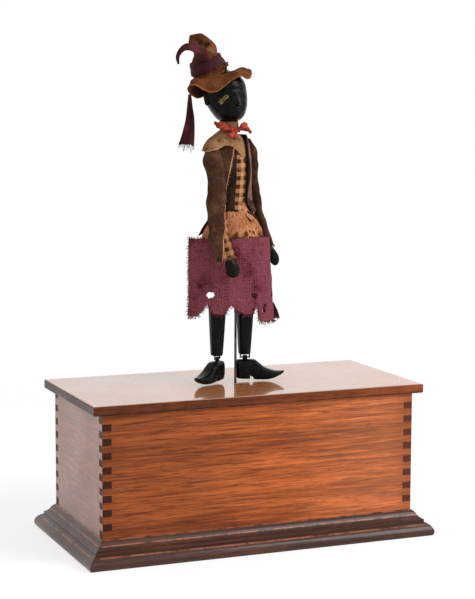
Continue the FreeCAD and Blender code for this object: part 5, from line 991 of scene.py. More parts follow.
        # The burgundy's paler +X side is painted light; the soaked marks are stains.
        self.burgundy = Cloth("burgundy cloth", (0.043, 0.0005, 0.0030), (0.160, 0.041, 0.053),
            (0.052, 0.008, 0.012), threads=64.0, depth=0.9, fade=0.2,
            stain_level=0.74, contrast=0.9, flecks=0.2, painted_lit_side=(6.0, 30.0),
            places=marks(soaked, (10.2, -25.0, 227.0, 2.2), (33.0, -16.0, 225.0, 1.4),
                         (22.0, -23.0, 217.5, 1.6), (9.6, -26.0, 214.4, 0.9), (20.0, -24.0, 211.0, 0.7)))
        self.scrap = Felt("dark burgundy scrap", (0.050, 0.010, 0.015), (0.085, 0.020, 0.028),
            (0.020, 0.004, 0.007), sheen=0.02)
        self.raw_linen = Felt("raw linen edge", (0.36, 0.19, 0.085), (0.50, 0.30, 0.15),
            (0.16, 0.07, 0.03), sheen=0.05)
        self.raw_felt = Felt("raw felt edge", (0.24, 0.075, 0.022), (0.36, 0.13, 0.045),
            (0.10, 0.030, 0.010), sheen=0.05)
        self.burgundy_thread = Felt("burgundy thread", (0.120, 0.020, 0.030), (0.22, 0.055, 0.070),
            (0.05, 0.010, 0.014), sheen=0.03)
        self.button = Paint("dark button", (0.012, 0.009, 0.008), (0.04, 0.025, 0.02),
            (0.08, 0.04, 0.03), 0.3)
        for name, made in vars(self).items():
            setattr(self, name, made.build())


class Case:
    """The joined wooden box, its lid and its moulded plinth."""

    def dress(self, finish: Finishes) -> None:
        """Gives the box's boards their finishes.

        Args:
            finish: the finishes.
        """
        dress(finish.front, "front_board", "back_board")
        dress(finish.side, "left_board", "right_board")
        dress(finish.lid, "lid")
        dress(finish.moulding, "plinth_front", "plinth_back")
        dress(finish.moulding_side, "plinth_left", "plinth_right")
        dress(finish.deal, "bottom_board", "glue_blocks", "movement_bearers")
        LOG.info("case dressed")


class Movement:
    """The spring-driven train, its key, rocker and stop lever."""

    def dress(self, finish: Finishes) -> None:
        """Gives the movement its metals.

        Args:
            finish: the finishes.
        """
        dress(finish.brass, "front_plate", "back_plate", "great_wheel", "second_wheel", "second_pinion",
              "fly_pinion", "fly", "rod_guide", "key_escutcheon", "plate_pillars")
        dress(finish.steel, "winding_arbor", "ratchet_wheel", "winding_key", "click", "second_arbor",
              "tapping_wheel", "fly_arbor", "rocker_lever", "stop_lever", "plate_screws", "wood_screws")
        dress(finish.iron, "dancing_rod", "pivot_wires", "right_ankle_wire", "left_ankle_wire")
        dress(finish.spring, "mainspring")
        LOG.info("movement dressed")


@dataclass
class Leg:
    """One jointed leg: thigh, knee, shin, ankle and clog."""

    side: str
    x: float
    toe_deg: float
    back: float
    y: float = 0.0
    ankle_z: float = 165.6
    sole_z: float = 144.3
    wire: float = 0.7
    lean: float = -0.6

    def lathe(self, name: str, profile: Points) -> Object:
        """Turns a profile of radius and height about the leg's own line.

        Args:
            name: the piece's name.
            profile: pairs of radius and height.

        Returns:
            The turned piece.
        """
        return loft(name, np.array([oval(self.x, self.y, z, r, r, 40) for r, z in profile]))

    def bar(self, half_x: float, half_y: float, low: float, high: float) -> Object:
        """A tongue with softened corners between two heights."""
        levels = ((low, 0.9), (low + 0.4, 1.0), (high - half_y, 1.0), (high - half_y * 0.5, 0.87),
                  (high - half_y * 0.13, 0.5), (high, 0.1))
        return loft("tongue", np.array([oval(self.x, self.y, z, half_x, half_y * share, 24, 0.3)
                                        for z, share in levels]))

    def thigh(self, finish: Finishes) -> None:
        """Builds the upper leg with its tongue and knee staple."""
        body = self.lathe("thigh", [(6.6, 232.8), (7.6, 233.0), (8.2, 234.0), (8.45, 245), (8.6, 258),
                                    (8.6, 271), (8.2, 272.8), (6.6, 274.0)])
        tongue = self.bar(2.8, 5.0, 272.0, 289.0)
        span = 3.5
        staple = tube("staple", [(self.x - span, self.y, 237.0), (self.x - span, self.y, 230.4),
                                 (self.x - span + 0.3, self.y, 228.6), (self.x - span + 1.2, self.y, 228.4),
                                 (self.x + span - 1.2, self.y, 228.4), (self.x + span - 0.3, self.y, 228.6),
                                 (self.x + span, self.y, 230.4), (self.x + span, self.y, 237.0)],
                      self.wire, 12, 40)
        wooden = len(body.data.polygons) + len(tongue.data.polygons)
        piece = join(f"{self.side}_thigh_wood", [body, tongue, staple])
        for polygon in piece.data.polygons:
            polygon.material_index = int(polygon.index >= wooden)
        settle(piece, Body(f"{self.side}_thigh"), "black_painted_wood", finish.paint, finish.iron,
               stands_for=[f"{self.side}_thigh"])

    def shin(self, finish: Finishes) -> None:
        """Builds the turned lower leg with its knee tongue."""
        rings = []
        for r, z in ((4.2, 168.6), (5.0, 168.9), (5.5, 170.2), (6.0, 178), (6.8, 192), (7.5, 206), (8.1, 216),
                     (8.25, 220.4), (7.7, 222.0), (6.4, 222.6)):
            lean = self.lean * (220.4 - z) / 52
            rings.append(oval(self.x + lean, self.y, z, r, r, 40, 0.75))
        body = loft("shin", np.array(rings))
        tongue = self.bar(2.3, 1.9, 221.6, 230.3)
        piece = join(f"{self.side}_shin_wood", [body, tongue])
        settle(piece, Body(f"{self.side}_shin"), "black_painted_wood", finish.paint, stands_for=[f"{self.side}_shin"])

    def toed(self, along: object, across: object, z: object) -> np.ndarray:
        """A ring of places along and across the foot's own line."""
        turn = math.radians(self.toe_deg)
        x = self.x + along * math.cos(turn) - across * math.sin(turn)
        y = self.y + along * math.sin(turn) + across * math.cos(turn)
        return np.stack([x, y, z + np.zeros(len(x))], axis=1)

    def clog(self, finish: Finishes) -> None:
        """Carves the clog round the ankle wire."""
        top = 19.2
        back = self.back
        stations = [(-back, 2.2, 7.0, top - 3.4), (-back + 0.35, 3.6, 4.6, top - 1.3),
                    (-back + 1.2, 4.7, 2.2, top - 0.4), (-back + 3.4, 5.8, 1.0, top),
                    (0.0, 6.1, 0.7, top + 0.1), (4.55, 6.0, 0.5, top + 0.1),
                    (4.9, 6.0, 3.5, top + 0.1), (7.2, 6.05, 2.7, top), (8.5, 6.1, 0.3, top - 0.2),
                    (10.2, 6.15, 0.1, top - 0.7), (12.0, 6.3, 0.0, top - 2.3), (14.2, 6.5, 0.0, 15.3),
                    (16.6, 6.75, 0.0, 13.0), (19.0, 6.9, 0.0, 11.4), (24.0, 6.5, 0.5, 9.4),
                    (28.0, 5.7, 1.7, 8.3), (31.0, 4.8, 3.0, 7.9), (34.5, 3.2, 4.8, 7.9),
                    (36.4, 1.6, 6.2, 8.2), (37.2, 0.5, 7.1, 8.1)]
        cos, sin = around(32)
        body = loft("clog", np.array([
            self.toed(along, half * squared(cos, 0.55),
                      self.sole_z + ((low + high) / 2 + (high - low) / 2 * squared(sin, 0.6)))
            for along, half, low, high in stations]))
        low, high = self.sole_z + top - 3.0, self.ankle_z + 1.9
        cos, sin = around(24)
        eye = [self.toed(2.2 * squared(cos, 0.4), 1.2 * share * squared(sin, 0.4), z) for z, share in
               ((low, 1.0), (self.ankle_z, 1.0), (self.ankle_z + 1.2, 0.8), (high, 0.25))]
        piece = join(f"{self.side}_clog_wood", [body, loft("eye", np.array(eye))])
        settle(piece, Body(f"{self.side}_clog"), "black_painted_wood", finish.paint, stands_for=[f"{self.side}_clog"])

    def build(self, finish: Finishes) -> None:
        """Builds the whole leg.

        Args:
            finish: the finishes.
        """
        self.thigh(finish)
        self.shin(finish)
        self.clog(finish)


def limb_rings(sections: Points, count: int, sides: int) -> np.ndarray:
    """Rings square to a bent limb, through its sections.

    Args:
        sections: each section's middle and half widths.
        count: how many rings.
        sides: how many points each has.

    Returns:
        An array of rings; the first point of each is on the limb's +X side, the fourth quarter in front.
    """
    line = through(sections, count)
    runs = np.gradient(line[:, :3], axis=0)
    runs /= np.linalg.norm(runs, axis=1, keepdims=True)
    cos, sin = around(sides)
    rings = []
    for (x, y, z, half_x, half_y), run in zip(line, runs):
        side = np.array([1.0, 0, 0]) - run * run[0]
        side /= np.linalg.norm(side)
        front = np.cross(run, side)
        rings.append(np.array([x, y, z]) + np.outer(cos, side) * half_x + np.outer(sin, front) * half_y)
    return np.array(rings)


@dataclass
class Arm:
    """A carved arm in a cloth sleeve."""

    side: str
    body: Body
    bones: Points
    sleeve: Points
    seed: float
    checked: Points | None = None
    cuff_wave: float = 1.4
    cuff_rows: int = 8
    coat: "Coat | None" = None
    bend_levels: Sequence[float] = ()

    def hand(self, finish: Finishes) -> None:
        """Builds the arm with its mitten hand."""
        rings = limb_rings(self.bones, 60, 28)
        piece = loft(f"{self.side}_arm_wood", rings)
        settle(piece, self.body, "black_painted_wood", finish.paint, stands_for=[f"{self.side}_arm"])

    def cloth(self, finish: Finishes) -> None:
        """Builds the sleeve with its creases and its ragged cuff."""
        rings = limb_rings(self.sleeve, 88, 56)
        rings = crumple(rings, 17.0, 1.5, self.seed, True, (1.6, 1.6, 0.7))
        rings = crumple(rings, 7.0, 0.55, self.seed + 9, True)
        count, sides, _ = rings.shape
        if self.coat:
            rings = self.coat.clear(rings)
        run = rings[-1].mean(axis=0) - rings[-6].mean(axis=0)
        run /= np.linalg.norm(run)
        for j in range(sides):
            ragged = self.cuff_wave * wobble(j * 0.55, self.seed, 0) \
                + 0.5 * wobble(j * 2.3, self.seed, 5)
            for i in range(count - self.cuff_rows, count):
                rings[i, j] += run * ragged * (i - count + self.cuff_rows + 1) / self.cuff_rows
        piece = surface(f"{self.side}_sleeve_cloth", rings, True)
        if self.checked:
            shares, angles = zip(*self.checked)
            line = []
            for row in range(int(shares[0] * count), count):
                edge = np.interp(row / count, shares, angles) + 5 * wobble(row * 0.3, 7.7, self.seed)
                line.append(rings[row, int(round(edge * sides / 360.0)) % sides])
                for column in range(sides):
                    if (column * 360.0 / sides + 25.0) % 360.0 < edge + 25.0 and row < count - 1:
                        piece.data.polygons[row * sides + column].material_index = 1
            raw = tube(f"{self.side}_sleeve_raw_edge", line[::4] + [line[-1]], 0.5, 8, 90)
            settle(raw, self.body, "brown_cloth", finish.tan_thread)
        top = rings[0].mean(axis=0)
        with editing(piece.data) as work:
            peak = work.verts.new(tuple(top * MM + np.array([0, 0, 0.0004])))
            work.verts.ensure_lookup_table()
            for j in range(sides):
                work.faces.new((work.verts[(j + 1) % sides], work.verts[j], peak))
            bmesh.ops.recalc_face_normals(work, faces=work.faces)
        piece.data.shade_smooth()
        thicken(piece, 0.8, -1.0)
        fringe = threads(f"{self.side}_cuff_threads", np.vstack([rings[-1], rings[-1][:1]]),
                         finish.tan_thread, "brown_cloth", self.body, Count=70, Seed=int(self.seed),
                         Length=0.0034, Thickness=0.00013, Curl=0.6, Fall=tuple(run))
        materials = (finish.sleeve, finish.cuff) if self.checked else (finish.sleeve,)
        x, y, _, _, _ = self.bones[0]
        settle(piece, self.body, "brown_cloth", *materials, stands_for=[f"{self.side}_sleeve"],
               bends=[(x, y, z) for z in self.bend_levels])

    def build(self, finish: Finishes) -> None:
        """Builds the arm and its sleeve.

        Args:
            finish: the finishes.
        """
        self.hand(finish)
        self.cloth(finish)


@dataclass
class Torso:
    """The carved body's outline, which the clothes follow."""

    levels: Points = ((278.0, 22.5, 12.0), (289.0, 23.0, 12.5), (298.0, 15.0, 11.0), (312.0, 11.5, 9.5),
                      (335.0, 12.8, 10.5), (353.0, 13.2, 10.0), (365.0, 13.0, 9.0), (371.5, 10.0, 8.0),
                      (376.0, 6.6, 6.6), (386.0, 6.0, 6.0))
    x: float = -1.7
    y: float = -3.0
    lean: float = 3.5
    hip_z: float = 284.0
    reach: float = 94.0

    def spine(self, z: float) -> float:
        """The body's middle line at a height."""
        return self.x - self.lean * max((z - self.hip_z) / self.reach, 0.0) ** 2

    def half(self, z: float) -> tuple[float, float]:
        """The body's half widths at a height."""
        heights, half_xs, half_ys = zip(*self.levels)
        return (float(np.interp(z, heights, half_xs)), float(np.interp(z, heights, half_ys)))

    def spot(self, degrees: float, z: float, out: float) -> Place:
        """A place round the body, at a distance from its surface."""
        half_x, half_y = self.half(z)
        turn = math.radians(degrees)
        return (self.spine(z) + (half_x + out) * math.cos(turn), self.y + (half_y + out) * math.sin(turn), z)

    def front(self, x: float, z: float, out: float) -> Place:
        """A place on the body's front, from its X and height."""
        half_x, half_y = self.half(z)
        share = min(max((x - self.spine(z)) / (half_x + out), -0.995), 0.995)
        y = self.y - (half_y + out) * math.sqrt(1 - share ** 2)
        return (self.spine(z) + share * (half_x + out), y, z)


@dataclass
class Coat:
    """The brown coat with its lining, checked strip, buttons and tail."""

    torso: Torso
    levels: Sequence[float] = (303.0, 307.0, 312.0, 322.0, 335.0, 344.0, 353.0, 360.0, 365.0, 371.5, 374.0)
    out: float = 1.95
    corner: Points = ((303.0, 20.0), (312.0, 17.6), (322.0, 15.6), (335.0, 14.6), (356.0, 14.8),
                      (364.0, 14.2), (371.0, 11.6), (374.0, 9.6))
    flank: Points = ((303.0, 19.4), (312.0, 17.0), (322.0, 14.6), (335.0, 13.2), (364.0, 13.0), (371.0, 11.0),
                     (374.0, 9.4))
    square: float = 0.6
    clearance: float = 1.3

    def left_edge(self, z: float) -> float:
        """The X of the coat's raw edge at a height."""
        return float(np.interp(z, (303.0, 316.0, 336.0, 364.0, 374.0), (-14.2, -13.6, -10.6, -5.0, -4.6)))

    def reach(self, z: float) -> tuple[float, float]:
        """How far the coat's left corner and its flank stand from the body's middle line."""
        middle = self.torso.spine(z)
        return tuple(float(np.interp(z, *zip(*edge))) - middle for edge in (self.corner, self.flank))

    def spot(self, degrees: float, z: float) -> Place:
        """A place on the coat, whose left front hangs squarely from the shoulder."""
        x, y, _ = self.torso.spot(degrees, z, self.out)
        cos, sin = math.cos(math.radians(degrees)), math.sin(math.radians(degrees))
        if cos <= 0:
            return (x, y, z)
        corner, flank = self.reach(z)
        if sin >= 0:
            return (self.torso.spine(z) + flank * cos, y, z)
        _, half_y = self.torso.half(z)
        across = corner * cos ** self.square
        y = self.torso.y - (half_y + self.out) * (-sin) ** 0.8
        inner = flank + max(0.0, -7.0 - y) * 0.7
        return (self.torso.spine(z) + min(across, inner), y, z)

    def clear(self, rings: np.ndarray) -> np.ndarray:
        """Presses a sleeve flat where it would run into the coat."""
        rings = rings.copy()
        for ring in rings:
            for point in ring:
                half_x, half_y = self.torso.half(point[2])
                middle = self.torso.spine(point[2])
                reach_x, reach_y = (half + self.out + self.clearance for half in (half_x, half_y))
                away = math.hypot((point[0] - middle) / reach_x, (point[1] - self.torso.y) / reach_y)
                if away < 1.0 and point[2] > self.levels[0]:
                    point[0] = middle + (point[0] - middle) / away
                    point[1] = self.torso.y + (point[1] - self.torso.y) / away
        return rings

    def shell(self, finish: Finishes) -> None:
        """Builds the coat's body, open in front and cut away below the buttons."""
        rows = []
        for z in self.levels:
            half_x, _ = self.torso.half(z)
            reach = half_x + self.out
            middle = self.torso.spine(z)
            corner, _ = self.reach(z)
            front = float(np.interp(z, (303.0, 309.0, 313.5, 322.0, 334.0, 345.0, 355.0, 372.0),
                                    (13.5, 9.6, 7.4, 8.4, 9.6, 10.4, 9.6, 8.4)))
            right = -math.degrees(math.acos(min(0.97, ((front - middle) / corner) ** (1 / self.square))))
            left = 360 - math.degrees(math.acos(max(-0.97, (self.left_edge(z) - middle) / reach)))
            rows.append([self.spot(a, z) for a in np.linspace(right, left, 25)])
        grid = net(rows[::-1], 150, 110)
        grid = crumple(grid, 15.0, 1.1, 3.0, False, (1.0, 1.0, 1.8))
        grid = crumple(grid, 6.0, 0.4, 8.0)
        fray(grid, 1, (1.1, 0.23, 2.2, 0))
        piece = surface("coat_body", grid)
        thicken(piece)
        raw = grid[:, -1]
        hem = tube("coat_raw_edge", raw[::6] + np.array([0.0, -0.35, 0.0]), 0.6, 8, 120)
        settle(hem, Body.DANCER, "brown_cloth", finish.tan_thread)
        # The dark line along the coat's front edge is painted shade.
        turned = tube("coat_turned_edge", grid[::6, 0] + np.array([0.2, -0.3, 0.0]), 0.5, 8, 120)
        settle(turned, Body.DANCER, "brown_cloth", finish.under)
        fringe = threads("coat_edge_threads", raw, finish.tan_thread, "brown_cloth", Count=90, Seed=4,
                         Length=0.0024, Thickness=0.00018, Curl=0.7, Fall=(0.8, -0.5, -0.3))
        lay(piece, grid, "brown_cloth", finish.coat, "draped", "torso_block", hem, turned, fringe,
            stands_for=["jacket"])

    def tail(self, finish: Finishes) -> None:
        """Builds the coat's skirts behind the hips, swept away from the front on the left."""
        heights = (304.4, 302.0, 296.0, 288.0, 281.6)
        half_xs = (18.0, 18.8, 23.4, 29.2, 33.2)
        half_ys = (14.2, 14.9, 17.2, 20.2, 22.2)
        rows = []
        for share in np.linspace(0, 1, 9):
            row = []
            for a in range(-56, 177, 8):
                low = float(np.interp(a, (-56.0, -30.0, -8.0, 10.0, 24.0),
                                      (302.4, 299.5, 294.0, 285.0, 281.6)))
                z = heights[0] + (low - heights[0]) * share
                half_x = np.interp(-z, [-h for h in heights], half_xs)
                half_y = np.interp(-z, [-h for h in heights], half_ys)
                row.append((self.torso.spine(z) + half_x * math.cos(math.radians(a)),
                            self.torso.y + half_y * math.sin(math.radians(a)), z))
            rows.append(row)
        grid = net(rows, 150, 40)
        grid = crumple(grid, 12.0, 1.0, 21.0)
        fray(grid, 6, (0.9, 0.2, 4.2, 0))
        piece = surface("coat_tail_cloth", grid)
        thicken(piece)
        lay(piece, grid, "brown_cloth", finish.coat, "hung", "jacket")

    def strip(self, name: str, edges: Points, material: Material, slot: str, seed: float,
              node: str | None) -> None:
        """Builds a flat layer in the coat's opening.

        Args:
            name: the piece's name.
            edges: rows of a height, the X of both edges and how far it stands off the body.
            material: its finish.
            slot: the record's slot.
            seed: which creases.
            node: the CAD node that it stands for, if any.
        """
        rows = [[self.torso.front(x, z, out) for x in np.linspace(left, right, 7)]
                for z, left, right, out in through(edges, 14)]
        grid = crumple(net(rows, 50, 150), 9.0, 0.5, seed)
        piece = surface(name, grid)
        thicken(piece, 0.6)
        lay(piece, grid, slot, material, "draped", "torso_block", stands_for=[node] if node else ())

    def buttons(self, finish: Finishes) -> None:
        """Builds the two round buttons with their rims and eyes."""
        parts = []
        cos, sin = around(24)
        for z, x in ((351.0, 7.0), (314.0, 6.2)):
            _, y, _ = self.torso.front(x, z, 1.6)
            rings = [(0.2, 0.5), (0.9, 0.55), (1.2, 0.95), (1.65, 0.85), (1.75, 0.3), (1.6, -0.2),
                     (0.6, -0.3)]
            parts.append(loft("button", np.array([
                np.stack([x + r * cos, np.full(24, y - 0.5 - out), z + r * sin], axis=1)
                for r, out in rings])))
        piece = join("coat_buttons", parts)
        settle(piece, Body.DANCER, "dark_buttons", finish.button, stands_for=["jacket_buttons"])

    def build(self, finish: Finishes) -> None:
        """Builds the coat.

        Args:
            finish: the finishes.
        """
        self.shell(finish)
        self.tail(finish)
        # The lining strip fills the coat's opening with painted shade.
        lining = ((357.0, -7.5, -2.4, 0.75), (340.0, -12.5, -2.6, 0.75), (318.0, -14.8, -4.0, 0.75),
                  (298.6, -14.6, -4.6, 2.6))
        self.strip("coat_lining", lining, finish.under, "brown_cloth", 31.0, None)
        front = ((359.6, -2.6, 10.2, 0.9), (346.0, -2.6, 10.2, 0.9), (333.0, -2.8, 9.2, 0.9),
                 (317.0, -4.0, 7.9, 0.9), (307.0, -4.6, 6.0, 1.4), (299.4, -4.8, 3.4, 3.4))
        self.strip("checked_front", front, finish.checked, "checked_cloth", 35.0, "vest_strip")
        self.buttons(finish)


@dataclass
class Shirt:
    """The linen cape collar, standing collar, front and tail."""

    torso: Torso
    angles: Sequence[float] = (104.0, 120.0, 136.0, 152.0, 168.0, 180.0, 192.0, 206.0, 222.0, 238.0,
                               254.0, 268.0)
    shoulder: float = 190.0

    def cape(self, finish: Finishes) -> None:
        """Builds the collar spread over the right shoulder."""
        rows = [[], [], [], [], []]
        for degrees in self.angles:
            turn = math.radians(degrees)
            side = max(0.0, math.cos(math.radians(degrees - self.shoulder))) ** 2
            arch = 3.4 * math.exp(-((degrees - 240.0) / 16.0) ** 2)
            spots = [(8.0, 378.0), (11.6, 375.4), (14.6 + 1.4 * side, 371.6 + 0.4 * side),
                     (15.9 + 8.2 * side - 0.3 * arch, 367.2 - 0.4 * side + 0.5 * arch),
                     (16.6 + 11.2 * side - 0.4 * arch, 363.0 - 4.2 * side + arch)]
            for row, flat, (radius, z) in zip(rows, (1.0, 0.95, 0.93, 0.86, 0.80), spots):
                row.append((self.torso.spine(z) + radius * math.cos(turn),
                            self.torso.y + radius * flat * math.sin(turn), z + 0.4))
        grid = crumple(net(rows, 120, 40), 8.0, 0.9, 41.0)
        fray(grid, 3, (0.9, 0.3, 1.2, 0))
        piece = surface("shirt_cape", grid)
        thicken(piece)
        hem = tube("cape_raw_edge", grid[-1][::5], 0.5, 8, 120)
        settle(hem, Body.DANCER, "tan_linen", finish.raw_linen)
        lay(piece, grid, "tan_linen", finish.linen, "draped", "jacket torso_block", hem,
            stands_for=["linen_shirt"])

    def collar(self, finish: Finishes) -> None:
        """Builds the standing collar under the chin."""
        rows = [oval(self.torso.spine(z), self.torso.y, z, r, r, 24) for z, r in
                ((385.9, 8.8), (385.0, 8.5), (382.0, 8.0), (379.0, 8.2), (376.2, 9.6))]
        grid = crumple(net(rows, 90, 26, True), 6.0, 0.7, 45.0, True)
        piece = surface("shirt_collar", grid, True)
        thicken(piece)
        lay(piece, ringed(grid), "tan_linen", finish.linen, "draped", "torso_block")

    def front(self, finish: Finishes) -> None:
        """Builds the shirt's front between the collar and the checked strip."""
        rows = []
        for share, right in ((0.0, 5.0), (0.15, 7.0), (0.35, 9.0), (0.65, 10.2), (1.0, 10.2)):
            row = []
            for x in np.linspace(-5.4, right, 8):
                low = float(np.interp(x, (-5.4, -3.0, 0.5, 3.5, 10.0), (363.0, 360.6, 356.4, 353.6, 353.2)))
                row.append(self.torso.front(x, 374.0 + (low - 374.0) * share, 1.5))
            rows.append(row)
        grid = crumple(net(rows, 60, 50), 6.0, 0.7, 47.0)
        piece = surface("shirt_front", grid)
        thicken(piece, 0.6)
        lay(piece, grid, "tan_linen", finish.linen, "draped", "torso_block")

    def tail(self, finish: Finishes) -> None:
        """Builds the mottled shirt tail over the hips, with its slit."""
        rows = []
        for z, hx, hy, lift in ((303.0, 15.6, 12.8, 10.5), (301.0, 17.0, 13.6, 8.0), (295.0, 21.6, 15.8, 3.0),
                                (287.0, 27.3, 18.2, 0.0), (280.0, 30.0, 19.4, 0.0), (274.4, 31.3, 20.1, 0.0)):
            row = oval(self.torso.spine(z), self.torso.y, z, hx, hy, 32)
            for point in row:
                turn = math.degrees(math.atan2(point[1] - self.torso.y, point[0] - self.torso.spine(z)))
                rise = lift * math.exp(-((turn + 52.0) / 24.0) ** 2)
                inward = 1 - 0.017 * rise
                point[0] = self.torso.spine(z) + (point[0] - self.torso.spine(z)) * inward
                point[1] = self.torso.y + (point[1] - self.torso.y) * inward
                point[2] += rise
            rows.append(row)
        grid = net(rows, 170, 46, True)
        grid = crumple(grid, 14.0, 1.7, 51.0, True, (1.0, 1.0, 2.2))
        grid = crumple(grid, 5.0, 0.5, 55.0, True)
        fray(grid, 5, (1.6, 0.19, 6.1, 0), (0.6, 0.9, 1.1, 0))
        fray(grid, -8, (2.6, 0.19, 6.0, 2.0), inmost=0.1)

        def slit(spot: np.ndarray) -> bool:
            """Whether a place is in the slit in front."""
            if spot[1] > self.torso.y:
                return False
            middle = 5.4 + (300.8 - spot[2]) * 0.75 + 0.5 * wobble(spot[2] * 0.4, 0, 0)
            return 294 < spot[2] < 301 and abs(spot[0] - middle) < 0.5 + 0.9 * (301 - spot[2]) / 7

        piece = surface("shirt_tail", grid, True, slit)
        thicken(piece)
        edge = np.vstack([grid[-1], grid[-1][:1]])
        fringe = threads("shirt_tail_threads", edge, finish.tan_thread, "tan_linen", Count=150, Seed=6,
                         Length=0.003, Thickness=0.00012, Curl=0.5, Fall=(0.0, 0.0, -1.0))
        lay(piece, ringed(grid), "tan_linen", finish.waist, "draped", "torso_block", fringe,
            stands_for=["waist_cloth"])

    def build(self, finish: Finishes) -> None:
        """Builds the shirt.

        Args:
            finish: the finishes.
        """
        self.cape(finish)
        self.collar(finish)
        self.front(finish)
        self.tail(finish)


@dataclass
class Skirt:
    """The coarse hanging cloth with its worn hem, holes and threads."""

    torso: Torso
    top: float = 279.6
    folds: float = 3.5
    depth: float = 1.3
    flare: tuple[float, float] = (0.5, 7.5)
    columns: Points = (
        (-45.0, -4.0, 208.4), (-42.6, -9.0, 208.0), (-39.2, -13.6, 209.5), (-35.4, -17.0, 215.0),
        (-32.2, -19.0, 219.6), (-28.6, -20.8, 211.8), (-23.0, -22.3, 210.4), (-17.4, -23.2, 211.2),
        (-14.2, -23.5, 217.0), (-11.2, -23.7, 218.4), (-7.6, -23.7, 215.4), (-2.6, -23.6, 211.6),
        (2.6, -23.4, 209.6), (8.2, -23.0, 211.0), (10.4, -22.7, 215.5), (12.2, -22.3, 204.0),
        (17.6, -20.8, 202.4), (23.0, -18.4, 201.6), (28.0, -14.8, 202.8), (31.6, -9.6, 201.2),
        (32.6, -4.2, 200.8), (31.2, 0.8, 202.4), (28.0, 5.6, 199.0))
    holes: Points = ((-30.6, 228.2, 3.2), (20.4, 212.6, 2.0))

    def grid(self) -> np.ndarray:
        """The skirt's net, from its top edge to its hem."""
        rows = []
        count = len(self.columns)
        for drop in np.linspace(0, 1, 9):
            row = []
            for k, (x, y, hem) in enumerate(self.columns):
                out = np.array([x - self.torso.x, (y - self.torso.y) * 2.0])
                out /= np.linalg.norm(out)
                wave = self.depth * math.sin(TAU * self.folds * k / count)
                push = (self.flare[0] + (self.flare[1] - self.flare[0]) * k / count + wave) * drop
                row.append((x + out[0] * push, y + out[1] * push, self.top + (hem - self.top) * drop))
            rows.append(row)
        grid = net(rows, 230, 120)
        grid = crumple(grid, 26.0, 1.5, 61.0, False, (1.0, 1.0, 3.0))
        grid = crumple(grid, 9.0, 0.6, 65.0)
        fray(grid, 10, (1.1, 0.21, 0, 3), (0.6, 0.8, 0, 9), inmost=0.1)
        fray(grid, -6, (1.3, 0.12, 4, 3), (0.7, 0.45, 4, 3), inmost=0.1)
        return grid

    def worn(self, spot: np.ndarray) -> bool:
        """Whether a place is in one of the holes."""
        if spot[1] > 0:
            return False
        for x, z, radius in self.holes:
            away = math.hypot(spot[0] - x, spot[2] - z)
            if away < radius * (1 + 0.35 * wobble(spot[0] * 0.4, spot[2] * 0.4, 0)):
                return True
        return False

    def build(self, finish: Finishes) -> None:
        """Builds the skirt.

        Args:
            finish: the finishes.
        """
        grid = self.grid()
        piece = surface("skirt_cloth", grid, False, self.worn)
        thicken(piece, 0.9)
        made = []
        for name, edge, count, length, fall in (
                ("skirt_hem_threads", grid[-1], 240, 0.0040, (0.0, -0.1, -1.0)),
                ("skirt_side_threads", grid[:, 0], 90, 0.0026, (-1.0, 0.0, -0.25)),
                ("skirt_end_threads", grid[:, -1], 90, 0.0030, (1.0, 0.3, -0.4)),
                ("skirt_top_threads", grid[0], 170, 0.0022, (0.0, -0.2, 1.0))):
            made.append(threads(name, edge, finish.burgundy_thread, "burgundy_cloth", Count=count,
                                Seed=len(made) + 11, Length=length, Thickness=0.00024, Curl=0.8, Fall=fall))
        lay(piece, grid, "burgundy_cloth", finish.burgundy, "hung", "waist_cloth", *made,
            stands_for=["skirt"])
        self.scrap(finish)

    def scrap(self, finish: Finishes) -> None:
        """Builds the dark twisted scrap that hangs at the hem's left end."""
        rows = []
        line = ((35.6, 0.5, 229.0), (36.6, 0.0, 224.0), (37.8, -0.4, 218.6), (39.2, -0.6, 213.0),
                (40.6, -0.4, 208.0), (42.2, 0.0, 203.0))
        for share, (x, y, z) in zip(np.linspace(0, 1, 6), line):
            turn = 0.9 + 2.6 * share
            half = 2.6 + 3.0 * share
            rows.append([(x + u * half * math.cos(turn), y + u * half * math.sin(turn) * 0.7, z + 0.8 * u)
                         for u in np.linspace(-1, 1, 5)])
        grid = crumple(net(rows, 60, 40), 5.0, 1.0, 71.0)
        fray(grid, 5, (1.2, 0.4, 0, 13))
        piece = surface("skirt_scrap", grid)
        thicken(piece)
        fringe = threads("skirt_scrap_threads", grid[-1], finish.burgundy_thread, "burgundy_cloth", Count=60,
                         Seed=19, Length=0.0036, Thickness=0.00024, Curl=0.9, Fall=(0.3, -0.1, -1.0))
        lay(piece, grid, "burgundy_cloth", finish.scrap, "hung", "skirt", fringe)


